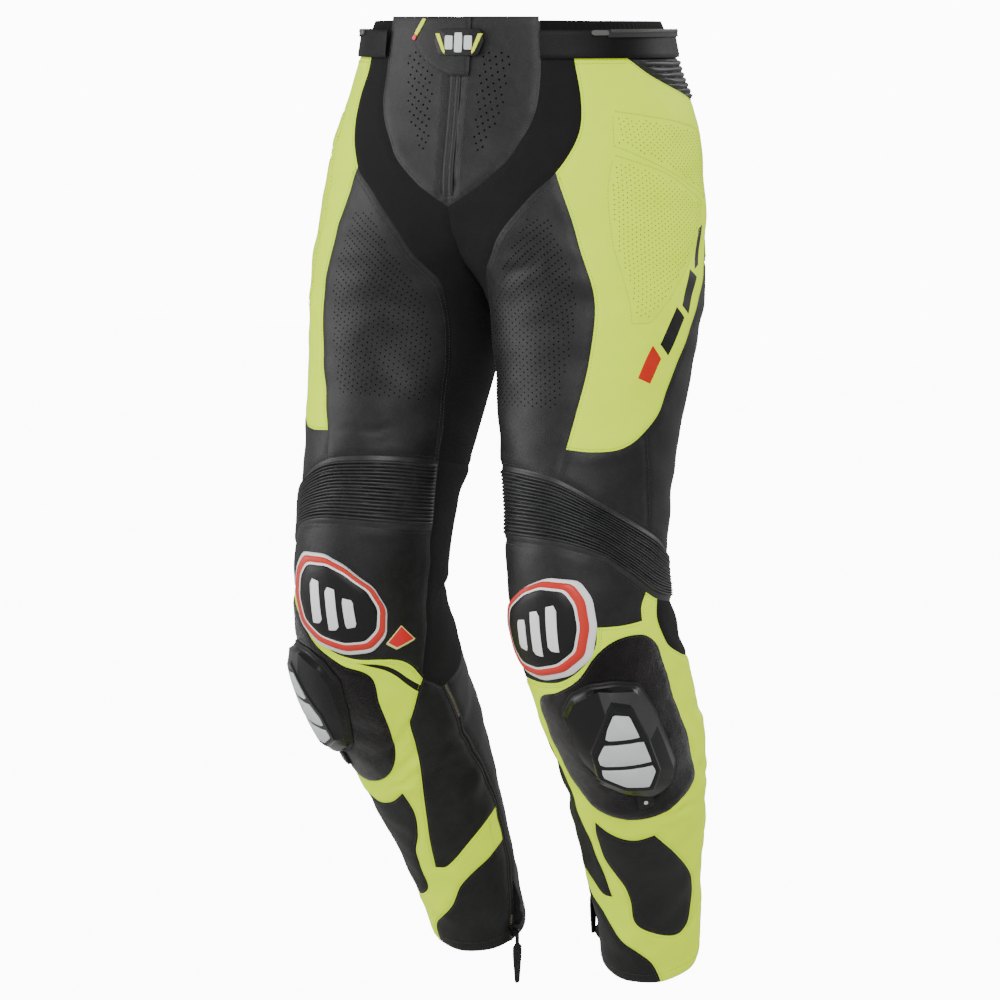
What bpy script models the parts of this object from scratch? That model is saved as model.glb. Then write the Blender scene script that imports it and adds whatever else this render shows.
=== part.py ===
"""Leather motorcycle trousers: every cut panel, zip, patch and guard as its own solid.

The garment faces -Y, the wearer's left is +X, up is +Z, all in metres.
The origin is the middle of the waist opening, where the wearer's waist holds it.

A leg is a tube of rings (SECTIONS).  A place on it is (turn, down): turn in degrees,
0 at the front, 90 on the outer side, 180 at the back, -90 on the inner side, and down
in metres along the leg from the top of the waist.  Seams are smooth curves through
named places, and a panel is the cloth between its seams.
"""
import bmesh
import bpy
import numpy as np
from math import atan2, ceil, cos, degrees, hypot, pi, radians, sin
from mathutils import Vector
from mathutils.geometry import delaunay_2d_cdt

# ---------------------------------------------------------------- driving sizes
LEATHER = 0.0020        # wall of leather with its bonded lining
STRETCH = 0.0016        # wall of the stretch fabric
SEAM_GAP = 0.0003       # between neighbours
HALF_GAP = SEAM_GAP / 2
AROUND_STEP = 0.019     # mesh size around a leg
ALONG_STEP = 0.034      # mesh size down a leg
SEAM_STEP = 0.024       # mesh size along a seam

# Rings of the left leg: height of the centre, its place, half width, depth in front
# and behind, pitch of the ring (the back edge is lower when positive), squareness.
SECTION_COLUMNS = ("name", "z", "x", "y", "half", "front", "back", "pitch", "square")
SECTIONS = (
    ("waist top",   +0.022, 0.000, +0.000, 0.158, 0.119, 0.119, 0.0, 2.30),
    ("waist seam",  -0.018, 0.004, +0.000, 0.163, 0.121, 0.124, 0.0, 2.30),
    ("yoke",        -0.080, 0.020, -0.002, 0.170, 0.126, 0.132, 0.0, 2.25),
    ("hip",         -0.145, 0.045, -0.010, 0.158, 0.127, 0.140, 3.0, 2.20),
    ("seat",        -0.205, 0.078, -0.020, 0.132, 0.118, 0.132, 6.0, 2.10),
    ("crotch",      -0.262, 0.108, -0.030, 0.108, 0.104, 0.116, 9.0, 2.05),
    ("upper thigh", -0.330, 0.114, -0.045, 0.098, 0.094, 0.100, 11.0, 2.0),
    ("mid thigh",   -0.400, 0.118, -0.059, 0.089, 0.089, 0.091, 11.0, 2.0),
    ("above knee",  -0.475, 0.124, -0.073, 0.081, 0.085, 0.084, 7.0, 2.0),
    ("knee",        -0.560, 0.132, -0.078, 0.079, 0.086, 0.082, -5.0, 2.0),
    ("below knee",  -0.645, 0.139, -0.053, 0.079, 0.080, 0.090, -18.0, 2.0),
    ("calf",        -0.735, 0.138, -0.002, 0.077, 0.070, 0.086, -25.0, 2.0),
    ("low calf",    -0.820, 0.128, +0.039, 0.070, 0.060, 0.072, -25.0, 2.0),
    ("ankle",       -0.900, 0.118, +0.075, 0.061, 0.053, 0.056, -24.0, 2.0),
    ("hem",         -0.990, 0.109, +0.110, 0.054, 0.048, 0.045, -22.0, 2.0),
)
CROTCH_ROW = 5
CREASE_WIDTH = 0.030    # how softly the two halves meet at the centre line

# The largest folds: turn and down of the middle, reach around and along, depth.
FOLD_COLUMNS = ("turn", "down", "around", "along", "slope", "depth")
FOLDS = (
    (205, 0.628, 62, 0.013, +0.00010, 0.0065),
    (190, 0.662, 50, 0.012, -0.00014, 0.0045),
    (-100, 0.800, 34, 0.014, +0.00060, 0.0030),
    (-60, 0.845, 26, 0.012, -0.00060, 0.0030),
    (120, 0.760, 30, 0.013, +0.00070, 0.0030),
    (160, 0.310, 45, 0.013, -0.00030, 0.0035),
)

WAIST_DOWN = 0.040      # the waist seam
FLY_HALF = 0.0060       # half the width of the fly zip
FLY_END = 0.194
YOKE_TIP = 0.208
RIB_END = 0.106         # lowest place of the rear ribs, at the centre back
SEAT_END = 0.262        # where the seat seam meets the centre back
KNEE_RIBS = 11
REAR_RIBS = 7
RIB_RISE = 0.0032
RIB_MARGIN = 0.0045     # ribs are sewn flat this close to a seam
ZIP_HALF = 0.0043       # half the width of a calf zip

PATCH_THICK = 0.0017
BADGE_TOP = 0.0018
# Outlines of the knee guard and slider drawn in by a share, and their heights there.
SHIELD_STEPS = ((1.0, 0.0040), (0.84, 0.0062), (0.66, 0.0075), (0.30, 0.0085))
SLIDER_STEPS = ((1.0, 0.0048), (0.86, 0.0103), (0.58, 0.0185), (0.28, 0.0200))
MARK_STEP = 0.022       # mesh size along those outlines
MITRE_LIMIT = 8.0       # how far a sharp corner may draw back, in half gaps
SLIVER = 1e-4           # triangles flatter than this are left out

WAIST_THICK = 0.0018
# Bands round the waist: how far down, and the inner face's height over the cloth.
RING_LEVELS = ((0.003, -0.0103), (0.022, -0.0063), (WAIST_DOWN - SEAM_GAP, -0.0018))
BAND_LEVELS = ((0.014, 0.0024), (0.028, 0.0019), (WAIST_DOWN + 0.0015, 0.0014))
JACKET_ZIP_LEVELS = ((0.0140, 0.0047), (0.0215, 0.0045))
JACKET_ZIP_THICK = 0.0013
JACKET_ZIP_TURN = 56.0  # where the connection zip starts

ZIP_INNER = -0.0016     # heights of the calf zip: back, tape, closed teeth
ZIP_TAPE = -0.0004
ZIP_TEETH = 0.0008
FLY_INNER = -0.0020     # heights of the fly zip
FLY_TAPE = -0.0010
FLY_TEETH = 0.0002

# The closure tab: how far down, left and right edge.  Its badge: how far down, half width.
TAB_INNER, TAB_OUTER = 0.0009, 0.0031
CLOSURE_TAB = ((0.0006, -0.036, 0.016), (0.012, -0.045, 0.016), (0.026, -0.051, 0.016),
               (0.036, -0.044, 0.016), (0.046, -0.034, 0.016), (0.054, -0.020, 0.016),
               (0.0585, -0.006, 0.015))
BADGE_INNER, BADGE_OUTER = 0.0036, 0.0052
BADGE_MIDDLE = 0.004
CLOSURE_BADGE = ((0.0130, 0.018), (0.0155, 0.024), (0.0260, 0.027), (0.0365, 0.024),
                 (0.0390, 0.018))


# ---------------------------------------------------------------- the body surface
def section_rows():
    """The section numbers, and how far down the leg each ring lies."""
    rows = np.array([row[1:] for row in SECTIONS])
    centres = rows[:, [1, 2, 0]]
    steps = np.linalg.norm(np.diff(centres, axis=0), axis=1)
    return rows, np.concatenate([[0.0], np.cumsum(steps)])


ROWS, DOWNS = section_rows()
LEG_END = float(DOWNS[-1])
CROTCH_DOWN = float(DOWNS[CROTCH_ROW])


def smooth_rows(down):
    """Every section column at any distance down the leg, by a cubic through the rows."""
    gaps = np.diff(DOWNS)
    rates = np.diff(ROWS, axis=0) / gaps[:, None]
    slopes = np.empty_like(ROWS)
    slopes[0], slopes[-1] = rates[0], rates[-1]
    ahead, behind = gaps[1:, None], gaps[:-1, None]
    slopes[1:-1] = (rates[:-1] * ahead + rates[1:] * behind) / (ahead + behind)
    down = np.clip(down, DOWNS[0], DOWNS[-1])
    i = np.clip(np.searchsorted(DOWNS, down, side="right") - 1, 0, len(gaps) - 1)
    gap = gaps[i][..., None]
    t = (down - DOWNS[i])[..., None] / gap
    return ((2 * t**3 - 3 * t**2 + 1) * ROWS[i] + (t**3 - 2 * t**2 + t) * gap * slopes[i]
            + (3 * t**2 - 2 * t**3) * ROWS[i + 1] + (t**3 - t**2) * gap * slopes[i + 1])


def fold_depth(turn, down):
    """How far the largest folds draw the cloth in at a place."""
    depth = np.zeros_like(turn)
    for row in FOLDS:
        fold = dict(zip(FOLD_COLUMNS, row))
        across = (turn - fold["turn"] + 180) % 360 - 180
        along = down - fold["down"] - fold["slope"] * across
        depth += fold["depth"] * np.exp(-(across / fold["around"])**2
                                        - (along / fold["along"])**2)
    return depth


def bare_surface(turn, down):
    """A point of the outer cloth, before the two halves are kept apart."""
    turn, down = np.broadcast_arrays(np.asarray(turn, float), np.asarray(down, float))
    z, cx, cy, half, front, back, pitch, square = np.moveaxis(smooth_rows(down), -1, 0)
    angle = np.radians(turn)
    side, fore = np.sin(angle), -np.cos(angle)
    radius = (np.abs(side)**square + np.abs(fore)**square)**(-1 / square)
    depth = np.where(fore < 0, front, back)
    drawn = fold_depth(turn, down)
    x = cx + (half - drawn) * radius * side
    # the crease along the centre line is filled out, less so towards the crotch
    near = np.sqrt(x**2 + CREASE_WIDTH**2) - x
    fill = depth / half * np.minimum(cx / half, 1.0) * np.clip(near, 0, CREASE_WIDTH)
    reach = (depth - drawn + fill) * radius * fore
    tilt = np.radians(pitch)
    return np.stack([x, cy + reach * np.cos(tilt), z - reach * np.sin(tilt)], -1)


def surface(turn, down):
    """A point of the outer cloth of the left half."""
    point = bare_surface(turn, down)
    point[..., 0] = np.maximum(point[..., 0], HALF_GAP)
    return point


def outward(turn, down):
    """The unit normal of the cloth, pointing out of the leg."""
    turn, down = np.asarray(turn, float), np.asarray(down, float)
    around = bare_surface(turn + 0.5, down) - bare_surface(turn - 0.5, down)
    low, high = np.maximum(down - 0.001, 0.0), np.minimum(down + 0.001, LEG_END)
    along = bare_surface(turn, high) - bare_surface(turn, low)
    normal = np.cross(along, around)
    return normal / np.linalg.norm(normal, axis=-1, keepdims=True)


def turn_at_x(x, down, back=False):
    """The turn at which the front (or back) of a ring is x from the centre plane."""
    z, cx, cy, half, front, rear, pitch, square = smooth_rows(np.asarray(float(down)))
    share = float(np.clip((x - cx) / half, -1, 1))
    deep = (1 - abs(share)**square)**(1 / square)
    turn = degrees(atan2(share, deep))
    return 180 - turn if back else turn


def degree_length(turn, down):
    """The length of one degree around the leg at a place, in metres."""
    return float(np.linalg.norm(bare_surface(turn + 0.5, down) - bare_surface(turn - 0.5, down)))


# ---------------------------------------------------------------- seams
def centre_front(down):
    return (turn_at_x(HALF_GAP, down), down)


def centre_back(down):
    return (turn_at_x(HALF_GAP, down, back=True), down)


def fly_edge(down):
    return (turn_at_x(FLY_HALF + HALF_GAP, down), down)


# The middle line of the calf zip, on the inner side of the leg.
ZIP_LINE = (("Z", -86, 0.735), ("", -88, 0.810), ("", -96, 0.870), ("A", -101, 0.920),
            ("B", -101, 0.965), ("", -90, 1.020), ("H", -70, LEG_END))


def zip_edge(mark, sign):
    """One edge of the calf zip, with its places named by mark."""
    rows = []
    for name, turn, down in ZIP_LINE:
        reach = sign * ZIP_HALF / degree_length(turn, down)
        rows.append((name + mark if name else "", turn + reach, down))
    return tuple(rows)


ZIP_FRONT = zip_edge("f", +1)
ZIP_BACK = zip_edge("b", -1)


def place_of(rows, name):
    for label, turn, down in rows:
        if label == name:
            return (turn, down)
    raise KeyError(name)


# Each seam is a smooth curve through (name, turn, down).  A name marks a place where
# another seam ends or crosses.
SEAMS = {
    "waist": (("W0", 30, 0.040), ("W1", 42, 0.040), ("R0", 64, 0.040), ("", 100, 0.040),
              ("", 140, 0.040), ("W2", *centre_back(0.040))),
    "yoke_side": (("Y0", 31, 0.0), ("W0", 30, 0.040), ("", 28, 0.065), ("", 24, 0.095),
                  ("", 17, 0.125), ("", 9, 0.152), ("", -3, 0.178), ("", -14, 0.195),
                  ("Y1", *centre_front(YOKE_TIP))),
    "front_style": (("W1", 42, 0.040), ("", 41, 0.080), ("", 37, 0.120), ("J1", 27, 0.162),
                    ("", 17, 0.186), ("", 6, 0.212), ("", -7, 0.240), ("", -20, 0.266),
                    ("", -34, 0.286), ("", -48, 0.305), ("", -58, 0.335), ("", -64, 0.375),
                    ("", -68, 0.420), ("K1", -74, 0.484), ("", -78, 0.520), ("K2", -81, 0.556),
                    ("", -83, 0.600), ("", -80, 0.650), ("", -74, 0.681), ("S1", -67, 0.710)),
    "thigh_side": (("J1", 27, 0.162), ("", 28, 0.220), ("", 27, 0.280), ("", 27, 0.330),
                   ("", 25, 0.380), ("", 20, 0.425), ("N1", 14, 0.464), ("K3", 9, 0.492)),
    "neon_edge": (("N1", 14, 0.464), ("", 32, 0.464), ("", 50, 0.458), ("N2", 65, 0.440),
                  ("", 76, 0.415), ("", 84, 0.375), ("", 93, 0.335), ("", 102, 0.300),
                  ("N3", 112, 0.255), ("", 118, 0.200), ("", 120, 0.150), ("R1", 117, 0.087)),
    "rib_lower": (("R0", 64, 0.040), ("", 76, 0.058), ("", 95, 0.073), ("R1", 117, 0.087),
                  ("", 150, 0.099), ("R2", *centre_back(RIB_END))),
    "seat_lower": (("N3", 112, 0.255), ("", 150, 0.268), ("", 190, 0.275), ("", 213, 0.273),
                   ("G1", *centre_back(SEAT_END))),
    "outer_thigh": (("N2", 65, 0.440), ("", 72, 0.485), ("K4", 79, 0.535)),
    "back_thigh": (("G1", *centre_back(SEAT_END)), ("", 238, 0.310), ("", 236, 0.370),
                   ("", 232, 0.430), ("H1", 226, 0.487), ("", 212, 0.535), ("", 185, 0.562),
                   ("", 155, 0.570), ("K5", 128, 0.568)),
    "inner_split": (("K1", -74, 0.484), ("", -104, 0.487), ("H1", -134, 0.487)),
    "knee_top": (("K1", -74, 0.484), ("", -40, 0.484), ("", -10, 0.487), ("K3", 9, 0.492),
                 ("", 37, 0.509), ("", 58, 0.522), ("K4", 79, 0.535), ("", 103, 0.552),
                 ("K5", 128, 0.568)),
    "knee_end": (("K5", 128, 0.568), ("", 129, 0.595), ("K6", 128, 0.622)),
    "knee_bottom": (("K2", -81, 0.556), ("", -40, 0.552), ("", 5, 0.551), ("", 38, 0.559),
                    ("", 58, 0.575), ("P1", 75, 0.592), ("P2", 86, 0.602), ("", 106, 0.612),
                    ("K6", 128, 0.622)),
    "strip_side": (("P1", 75, 0.592), ("", 70, 0.605), ("P3", 69, 0.618)),
    "strip_low": (("P3", 69, 0.618), ("", 52, 0.618), ("P4", 34.5, 0.617)),
    "knee_low": (("P4", 34.5, 0.617), ("", 31, 0.634), ("", 19, 0.651), ("", 0, 0.665),
                 ("", -18, 0.671), ("", -37, 0.674), ("", -52, 0.680), ("", -61, 0.692),
                 ("S1", -67, 0.710)),
    "calf_top": (("P2", 86, 0.602), ("", 84, 0.621), ("", 87, 0.641), ("", 92, 0.655),
                 ("", 106, 0.674), ("", 126, 0.695), ("B2", 150, 0.712), ("", 180, 0.724),
                 ("", 215, 0.733), ("", 250, 0.736), ("Zb", *place_of(ZIP_BACK, "Zb")),
                 ("Zf", *place_of(ZIP_FRONT, "Zf")), ("", -75, 0.722), ("S1", -67, 0.710)),
    "calf_front": (("S1", -67, 0.710), ("", -56, 0.733), ("", -45, 0.757), ("", -42, 0.783),
                   ("", -37, 0.820), ("", -27, 0.870), ("", -18, 0.915), ("T1", -10, 0.962)),
    "band_top": (("T1", -10, 0.962), ("", -22, 0.962), ("", -50, 0.938), ("", -78, 0.923),
                 ("Af", *place_of(ZIP_FRONT, "Af"))),
    "cuff_top": (("Bf", *place_of(ZIP_FRONT, "Bf")), ("", -78, 0.966), ("", -50, 0.975),
                 ("", -30, 0.990), ("", -12, 1.018), ("", 8, 1.038), ("", 24, 1.054),
                 ("", 32, 1.075), ("C1", 34, LEG_END)),
    "back_calf": (("B2", 150, 0.712), ("", 151, 0.800), ("", 151, 0.900), ("", 150, 1.000),
                  ("C2", 150, LEG_END)),
    "hem": (("Hf", *place_of(ZIP_FRONT, "Hf")), ("", -40, LEG_END), ("", 0, LEG_END),
            ("C1", 34, LEG_END), ("", 70, LEG_END), ("", 110, LEG_END), ("C2", 150, LEG_END),
            ("", 190, LEG_END), ("", 230, LEG_END), ("Hb", *place_of(ZIP_BACK, "Hb"))),
    "zip_front": ZIP_FRONT,
    "zip_back": ZIP_BACK,
}

# Closed outlines sewn into or laid on a panel: (turn, down), corners marked.
SHIN_INSET = (("corner", -13, 0.850), ("", -14, 0.880), ("", -8, 0.912), ("", 5, 0.942),
              ("", 9, 0.965), ("", 11, 0.995), ("", 24, 1.010), ("", 48, 1.024),
              ("", 64, 1.026), ("", 75, 1.012), ("", 80, 0.980), ("", 76, 0.950),
              ("", 58, 0.910), ("corner", 38, 0.870), ("", 20, 0.873), ("", 3, 0.866))
PATCH = (("", -28, 0.690), ("", -6, 0.676), ("", 14, 0.661), ("", 30, 0.641),
         ("", 43, 0.631), ("", 57, 0.628), ("", 70, 0.633), ("", 78, 0.650),
         ("", 81, 0.700), ("", 83, 0.750), ("", 84, 0.795), ("", 80, 0.820),
         ("", 62, 0.833), ("", 38, 0.841), ("", 14, 0.838), ("", -8, 0.823),
         ("", -22, 0.797), ("", -28, 0.760), ("", -29, 0.722))
BADGE = (("corner", -54, 0.640), ("corner", -65, 0.654), ("corner", -55, 0.668),
         ("corner", -43, 0.655))
SHIELD = (("", -3, 0.577), ("", 17, 0.576), ("", 28, 0.587), ("", 31, 0.608),
          ("", 28, 0.627), ("", 16, 0.645), ("", -2, 0.657), ("", -22, 0.664),
          ("", -38, 0.662), ("", -46, 0.650), ("", -47, 0.628), ("", -40, 0.607),
          ("", -24, 0.590))
SLIDER = (("", 12, 0.671), ("", 26, 0.665), ("", 40, 0.666), ("", 52, 0.675),
          ("", 59, 0.695), ("", 62, 0.730), ("", 65, 0.770), ("", 63, 0.797),
          ("", 50, 0.813), ("", 36, 0.815), ("", 20, 0.803), ("", 4, 0.782),
          ("", -6, 0.752), ("", -9, 0.718), ("", -3, 0.690))


def spline(points, closed=False):
    """A smooth curve through flat points: returns the pieces between neighbours."""
    count = len(points)
    pieces = []
    for i in range(count if closed else count - 1):
        start, end = points[i], points[(i + 1) % count]
        before = points[i - 1] if closed or i > 0 else start - (end - start)
        after = points[(i + 2) % count] if closed or i + 2 < count else end + (end - start)
        reach = np.linalg.norm(end - start)
        leave = (end - before) / max(np.linalg.norm(end - before), 1e-9) * reach
        arrive = (after - start) / max(np.linalg.norm(after - start), 1e-9) * reach
        pieces.append((start, leave, end, arrive))
    return pieces


def on_piece(piece, t):
    start, leave, end, arrive = piece
    return ((2 * t**3 - 3 * t**2 + 1) * start + (t**3 - 2 * t**2 + t) * leave
            + (3 * t**2 - 2 * t**3) * end + (t**3 - t**2) * arrive)


FLAT_SCALE = 0.0016     # metres for a degree, while a curve is drawn flat


def flat(turn, down):
    return np.array([turn * FLAT_SCALE, down])


def unwrapped(rows):
    """Turns brought within half a circle of the one before."""
    fixed = []
    for name, turn, down in rows:
        if fixed:
            turn += 360 * round((fixed[-1][1] - turn) / 360)
        fixed.append((name, turn, down))
    return fixed


def distance(a, b):
    return float(np.linalg.norm(surface(a[0], a[1]) - surface(b[0], b[1])))


def sample_curve(rows, closed=False, step=SEAM_STEP):
    """Points along a curve through rows, as (name, turn, down)."""
    rows = unwrapped(rows)
    flats = [flat(turn, down) for _, turn, down in rows]
    corners = [i for i, row in enumerate(rows) if row[0] == "corner"]
    if closed and corners:
        order = rows[corners[0]:] + rows[:corners[0]]
        stops = [i for i, row in enumerate(order) if row[0] == "corner"] + [len(order)]
        samples = []
        for low, high in zip(stops, stops[1:]):
            part = order[low:high] + [order[high % len(order)]]
            part = [("", turn, down) for _, turn, down in part]
            samples += sample_curve(part, step=step)[:-1]
        return samples
    samples = []
    for i, piece in enumerate(spline(flats, closed)):
        following = rows[(i + 1) % len(rows)]
        count = max(1, ceil(distance(rows[i][1:], following[1:]) / step - 0.35))
        for k in range(count):
            x, y = on_piece(piece, k / count)
            samples.append((rows[i][0] if k == 0 else "", x / FLAT_SCALE, y))
    if not closed:
        samples.append(rows[-1])
    return samples


def centre_seam():
    """Down the centre front from the yoke, through the crotch and up to the seat seam."""
    rows = [("Y1", *centre_front(YOKE_TIP))]
    steps = 5
    for i in range(1, steps):
        left = (1 - i / steps)**2
        rows.append(("", *centre_front(CROTCH_DOWN - (CROTCH_DOWN - YOKE_TIP) * left)))
    rows.append(("X0", -90.0, CROTCH_DOWN))
    steps = 3
    for i in range(1, steps):
        left = (i / steps)**2
        rows.append(("", *centre_back(CROTCH_DOWN - (CROTCH_DOWN - SEAT_END) * left)))
    rows.append(("G1", *centre_back(SEAT_END)))
    return unwrapped(rows)


def straight_rows(place, start, end, step, first="", last=""):
    """Rows along a line that a function gives for each distance down."""
    count = max(1, round((end - start) / step))
    rows = [("", *place(start + (end - start) * i / count)) for i in range(count + 1)]
    rows[0] = (first, *rows[0][1:])
    rows[-1] = (last, *rows[-1][1:])
    return rows


SAMPLES = {name: sample_curve(rows) for name, rows in SEAMS.items()}
SAMPLES["centre"] = centre_seam()
SAMPLES["back_high"] = straight_rows(centre_back, WAIST_DOWN, RIB_END, 0.022, "W2", "R2")
SAMPLES["back_low"] = straight_rows(centre_back, RIB_END, SEAT_END, 0.026, "R2", "G1")
SAMPLES["fly"] = straight_rows(fly_edge, 0.0, FLY_END, 0.028, "F0", "F1")
SAMPLES["fly_foot"] = [("F1", *fly_edge(FLY_END)), ("", *centre_front(FLY_END)),
                       ("Y1", *centre_front(YOKE_TIP))]
SAMPLES["yoke_top"] = [("F0", *fly_edge(0.0)), ("", 11, 0.0), ("", 21, 0.0), ("Y0", 31, 0.0)]
SAMPLES["zip_head"] = [("Zf", *place_of(ZIP_FRONT, "Zf")), ("Zb", *place_of(ZIP_BACK, "Zb"))]
SAMPLES["zip_foot"] = [("Hf", *place_of(ZIP_FRONT, "Hf")), ("Hb", *place_of(ZIP_BACK, "Hb"))]


def stretch_of(seam, start, end):
    """The samples of a seam between two of its named places, in that order."""
    rows = SAMPLES[seam]
    names = [row[0] for row in rows]
    i, j = names.index(start), names.index(end)
    return rows[i:j + 1] if i < j else rows[j:i + 1][::-1]


def outline_of(runs):
    """A panel's closed outline from its runs of seam, anticlockwise or clockwise."""
    rows = []
    for seam, start, end in runs:
        rows += stretch_of(seam, start, end)[:-1]
    return [(turn, down) for _, turn, down in unwrapped(rows)]


def closed_curve(rows, step=SEAM_STEP):
    return [(turn, down) for _, turn, down in sample_curve(rows, closed=True, step=step)]


def shrunk(rows, scale, step):
    """A closed outline drawn in towards its middle."""
    middle = np.mean([(turn, down) for _, turn, down in rows], axis=0)
    small = [("", *(middle + (np.array([turn, down]) - middle) * scale)) for _, turn, down in rows]
    return closed_curve(small, step)


# ---------------------------------------------------------------- flat meshing
def inside(point, loop):
    """Whether a flat point lies inside a closed loop."""
    x, y = point
    odd = False
    for (x0, y0), (x1, y1) in zip(loop, loop[1:] + loop[:1]):
        if (y0 > y) != (y1 > y) and x < (x1 - x0) * (y - y0) / (y1 - y0) + x0:
            odd = not odd
    return odd


def clearance(point, segments):
    """The distance from a flat point to the nearest of many segments."""
    ends = segments[:, 1] - segments[:, 0]
    apart = point - segments[:, 0]
    share = np.clip((apart * ends).sum(1) / np.maximum((ends**2).sum(1), 1e-12), 0, 1)
    return np.sqrt(((apart - ends * share[:, None])**2).sum(1).min())


class FlatMesh:
    """Triangles of one panel in its flat, with the loops that bound it."""

    def __init__(self, outline, holes=(), marks=(), rows=(), fill=True):
        turns = [turn for turn, _ in outline]
        self.middle = (min(turns) + max(turns)) / 2
        loops = [list(outline)] + [list(hole) for hole in holes]
        self.loops, self.places, edges = [], [], []
        for number, loop in enumerate(loops + [list(mark) for mark in marks]):
            ids = list(range(len(self.places), len(self.places) + len(loop)))
            self.places += loop
            edges += list(zip(ids, ids[1:] + ids[:1]))
            if number < len(loops):
                self.loops.append(ids)
        self.row_ids = []
        for row in rows:
            ids = list(range(len(self.places), len(self.places) + len(row)))
            self.places += row
            edges += list(zip(ids, ids[1:]))
            self.row_ids.append(ids)
        flats = [self.to_flat(*place) for place in self.places]
        segments = np.array([(flats[i], flats[j]) for i, j in edges])
        borders = [[tuple(flats[i]) for i in ids] for ids in self.loops]
        if fill:
            for place in self.grid(outline, borders, segments):
                self.places.append(place)
                flats.append(self.to_flat(*place))
        found = delaunay_2d_cdt([Vector(p) for p in flats], edges, [], 0, 1e-7)
        back = {out: ins[0] for out, ins in enumerate(found[3]) if ins}
        self.triangles = []
        for face in found[2]:
            ids = [back[i] for i in face]
            centre = sum(flats[i] for i in ids) / 3
            if inside(centre, borders[0]) and not any(inside(centre, b) for b in borders[1:]):
                a, b, c = (flats[i] for i in ids)
                turned = (b[0] - a[0]) * (c[1] - a[1]) - (b[1] - a[1]) * (c[0] - a[0])
                if abs(turned) > SLIVER:
                    self.triangles.append(tuple(ids) if turned > 0 else tuple(ids[::-1]))
        self.flats = flats

    def to_flat(self, turn, down):
        """Turn and down as lengths, so that triangles come out even on the leg."""
        width = 0.0016 if down > 0.3 else 0.0024 - (down / 0.3) * 0.0008
        if down > 0.7:
            width = 0.0016 - (down - 0.7) * 0.0015
        return np.array([(turn - self.middle) * width / AROUND_STEP, down / ALONG_STEP])

    def grid(self, outline, borders, segments):
        """Places inside the outline, in staggered rows, clear of every edge."""
        downs = [down for _, down in outline]
        turns = [turn for turn, _ in outline]
        count = int((max(downs) - min(downs)) / ALONG_STEP) + 2
        for i in range(count):
            down = min(downs) + (i + 0.5) * ALONG_STEP * 0.87
            degree = self.to_flat(self.middle + 1, down)[0]
            span = int((max(turns) - min(turns)) * degree) + 2
            for k in range(-span // 2 - 1, span // 2 + 2):
                turn = self.middle + (k + 0.5 * (i % 2)) / degree
                spot = self.to_flat(turn, down)
                if inside(spot, borders[0]) and not any(inside(spot, b) for b in borders[1:]) \
                        and clearance(spot, segments) > 0.52:
                    yield (turn, down)

    def inside_mark(self, mark):
        """The triangles that lie in a marked outline."""
        loop = [tuple(self.to_flat(*place)) for place in mark]
        return [t for t in self.triangles if inside(sum(self.flats[i] for i in t) / 3, loop)]


def border_loops(triangles):
    """The directed outer edges of some triangles, as a map from start to end."""
    edges = {(a, b) for t in triangles for a, b in zip(t, t[1:] + t[:1])}
    return {a: b for a, b in edges if (b, a) not in edges}


# ---------------------------------------------------------------- solids
def set_back(points, normals, following):
    """Border points moved half a seam gap into their own panel."""
    before = {end: start for start, end in following.items()}
    moved = points.copy()
    for i, after in following.items():
        ahead = points[after] - points[i]
        behind = points[i] - points[before[i]]
        inner = []
        for edge in (ahead, behind):
            side = np.cross(edge, normals[i])
            inner.append(side / max(np.linalg.norm(side), 1e-12))
        both = inner[0] + inner[1]
        size = np.linalg.norm(both)
        moved[i] = points[i] + both / max(size, 1e-9) * HALF_GAP * min(2 / max(size, 1e-9), MITRE_LIMIT)
    return moved


def wall(mesh, triangles, low, high, seam=True):
    """Vertices and faces of a closed wall between two heights over the cloth.

    low and high map a vertex number to its height over the outer cloth.
    """
    used = sorted({i for t in triangles for i in t})
    place = np.array([mesh.places[i] for i in used])
    number = {old: new for new, old in enumerate(used)}
    points, normals = surface(place[:, 0], place[:, 1]), outward(place[:, 0], place[:, 1])
    faces = [tuple(number[i] for i in t) for t in triangles]
    following = border_loops(faces)
    if seam:
        points = set_back(points, normals, following)
    lows = np.array([low(i) for i in used])[:, None]
    highs = np.array([high(i) for i in used])[:, None]
    outer, inner = points + normals * highs, points + normals * lows
    for side in (outer, inner):
        side[:, 0] = np.maximum(side[:, 0], HALF_GAP)
    count = len(used)
    solid = [tuple(reversed(f)) for f in faces] + [tuple(i + count for i in f) for f in faces]
    for a, b in following.items():
        solid += [(a, b, b + count), (a, b + count, a + count)]
    return np.vstack([outer, inner]), solid


def finish_materials():
    """The plain colour, roughness and metal of each finish."""
    table = {
        "leather_black": ((0.018, 0.018, 0.019), 0.55, 0.0),
        "leather_neon": ((0.72, 0.90, 0.06), 0.50, 0.0),
        "stretch_black": ((0.012, 0.012, 0.014), 0.85, 0.0),
        "rib_leather": ((0.020, 0.020, 0.021), 0.50, 0.0),
        "loop_patch": ((0.010, 0.009, 0.010), 0.95, 0.0),
        "slider_plastic": ((0.014, 0.014, 0.015), 0.22, 0.0),
        "shield_rubber": ((0.62, 0.10, 0.07), 0.45, 0.0),
        "zip_tape": ((0.020, 0.020, 0.020), 0.80, 0.0),
        "zip_metal": ((0.10, 0.10, 0.10), 0.40, 0.8),
        "badge_red": ((0.60, 0.02, 0.05), 0.40, 0.0),
        "badge_pale": ((0.60, 0.62, 0.60), 0.40, 0.0),
    }
    made = {}
    for name, (colour, roughness, metallic) in table.items():
        material = bpy.data.materials.new(name)
        material.use_nodes = True
        shader = material.node_tree.nodes["Principled BSDF"]
        shader.inputs["Base Color"].default_value = (*colour, 1.0)
        shader.inputs["Roughness"].default_value = roughness
        shader.inputs["Metallic"].default_value = metallic
        made[name] = material
    return made


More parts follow.
